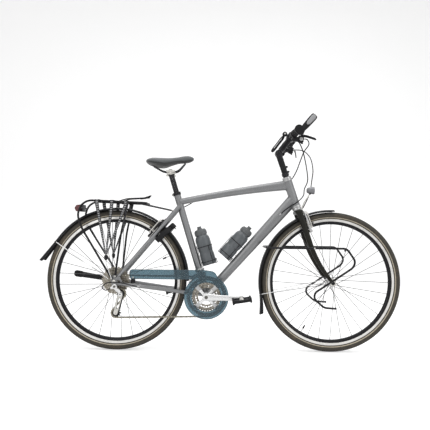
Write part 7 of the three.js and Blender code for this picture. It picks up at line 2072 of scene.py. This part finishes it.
housing("cable_front_brake", [
    (897, 147, 1035.5), (940, 139, 1033), (966, 124, 1016), (985, 98, 980), (991, 70, 922),
    (984, 54, 872), (971, 50, 796), (946, 54, 736), (930, 44, 710), (926.8, 24, 707.6),
], ("bars", "steering", (985, 98, 980), (971, 50, 796)))
housing("cable_rear_brake", [
    (897, -147, 1035.5), (918, -143, 1034.4), (930, -127, 1014), (913, -93, 984), (902, -57, 944),
    (890, -17, 899), (873, 20, 864), (846, 28, 843), (805, 24, 829), (760, 20.8, 818), (660, 20.8, 805),
    (560, 20.8, 789), (480, 20.8, 776), (410, 20.8, 762), (346, 44, 728), (280, 52, 694), (244, 46, 662),
    (234.8, 24, 655.4),
], ("steering", "frame", (913, -93, 984), (846, 28, 843)))
housing("cable_gears", [
    (866, -126.8, 1033.8), (886, -120, 1022), (905, -104, 990), (922, -80, 945), (937, -58, 887),
    (941, -46, 847), (928, -38, 811), (924, -33, 779), (900, -29, 750), (868, -25.5, 729),
    (838, -23.8, 708), (808, -23, 681),
], ("steering", "frame", (905, -104, 990), (900, -29, 750)))
housing("cable_rear_derailleur", [
    (124, -71.4, 324.7), (92, -75.6, 330), (40, -98, 345), (-20, -103, 346), (-50, -99, 325),
    (-34, -91, 308), (-4.4, -86, 320),
], "frame")


# Studio

def studio_white(name, colour, glow):
    """Matt white that also looks white to the camera and in reflections."""
    made = bpy.data.materials.new(name)
    made.use_nodes = True
    tree = made.node_tree
    shader = tree.nodes["Principled BSDF"]
    shader.inputs["Base Color"].default_value = (*colour, 1)
    shader.inputs["Roughness"].default_value = 0.9
    path = tree.nodes.new("ShaderNodeLightPath")
    seen = tree.nodes.new("ShaderNodeMath")
    seen.operation = "MAXIMUM"
    also = tree.nodes.new("ShaderNodeMath")
    also.operation = "MAXIMUM"
    tree.links.new(path.outputs["Is Camera Ray"], seen.inputs[0])
    tree.links.new(path.outputs["Is Glossy Ray"], seen.inputs[1])
    tree.links.new(seen.outputs[0], also.inputs[0])
    tree.links.new(path.outputs["Is Transmission Ray"], also.inputs[1])
    amount = tree.nodes.new("ShaderNodeMath")
    amount.operation = "MULTIPLY"
    amount.inputs[1].default_value = glow
    tree.links.new(also.outputs[0], amount.inputs[0])
    shader.inputs["Emission Color"].default_value = (1, 1, 1, 1)
    tree.links.new(amount.outputs[0], shader.inputs["Emission Strength"])
    return made


def backdrop():
    """A floor that sweeps up into the wall behind."""
    bm = bmesh.new()
    behind, sweep = 2.2, 1.2
    profile = [(-6, 0), (behind, 0)]
    for i in range(1, 11):
        t = i * math.pi / 20
        profile.append((behind + sweep * math.sin(t), sweep - sweep * math.cos(t)))
    profile.append((behind + sweep, 5))
    verts = [bm.verts.new((-6, y, z)) for y, z in profile]
    edges = [bm.edges.new(pair) for pair in zip(verts, verts[1:])]
    grown = bmesh.ops.extrude_edge_only(bm, edges=edges)["geom"]
    bmesh.ops.translate(bm, vec=(12, 0, 0), verts=[v for v in grown if isinstance(v, bmesh.types.BMVert)])
    bmesh.ops.recalc_face_normals(bm, faces=bm.faces)
    mesh = bpy.data.meshes.new("backdrop")
    bm.to_mesh(mesh)
    bm.free()
    mesh.materials.append(studio_white("backdrop_white", (0.8, 0.8, 0.8), 0.44))
    mesh.polygons.foreach_set("use_smooth", [True] * len(mesh.polygons))
    made = bpy.data.objects.new("backdrop", mesh)
    bpy.context.scene.collection.objects.link(made)


backdrop()


def soft_box(name, place, target, size, power):
    lamp_data = bpy.data.lights.new(name, "AREA")
    lamp_data.shape = "RECTANGLE"
    lamp_data.size, lamp_data.size_y = size
    lamp_data.energy = power
    made = bpy.data.objects.new(name, lamp_data)
    made.location = place
    made.rotation_euler = (Vector(target) - Vector(place)).to_track_quat("-Z", "Y").to_euler()
    bpy.context.scene.collection.objects.link(made)


soft_box("overhead", (0.1, -0.4, 3.0), (0, 0, 0.5), (4.0, 3.0), 72)
soft_box("front_fill", (-2.2, -3.4, 1.8), (0, 0, 0.5), (2.4, 2.0), 27)
soft_box("side_fill", (2.8, -2.4, 1.6), (0, 0, 0.5), (1.8, 1.8), 18)
soft_box("rear_fill", (0.4, 2.0, 2.4), (0, 0, 0.5), (3.0, 1.2), 14)

world = bpy.data.worlds.new("studio")
bpy.context.scene.world = world
world.use_nodes = True
background = world.node_tree.nodes["Background"]
background.inputs["Color"].default_value = (1, 1, 1, 1)
path = world.node_tree.nodes.new("ShaderNodeLightPath")
level = world.node_tree.nodes.new("ShaderNodeMapRange")
world.node_tree.links.new(path.outputs["Is Diffuse Ray"], level.inputs["Value"])
level.inputs["To Min"].default_value = 1.0
level.inputs["To Max"].default_value = 0.45
world.node_tree.links.new(level.outputs["Result"], background.inputs["Strength"])

CAMERA_AWAY = 2300
PICTURE_SIDE = 430
PIXEL = 5.02
camera_data = bpy.data.cameras.new("camera")
camera_data.sensor_width = 36
camera_data.lens = camera_data.sensor_width * CAMERA_AWAY / (PICTURE_SIDE * PIXEL)
camera_data.shift_x = -3 / PICTURE_SIDE
camera_data.shift_y = 15 / PICTURE_SIDE
camera = bpy.data.objects.new("camera", camera_data)
camera.location = TO_ROW @ spot(503.5, -CAMERA_AWAY, 604)
camera.rotation_euler = (math.radians(90), math.radians(-0.62), 0)
bpy.context.scene.collection.objects.link(camera)
bpy.context.scene.camera = camera
bpy.context.scene.view_settings.view_transform = "Standard"
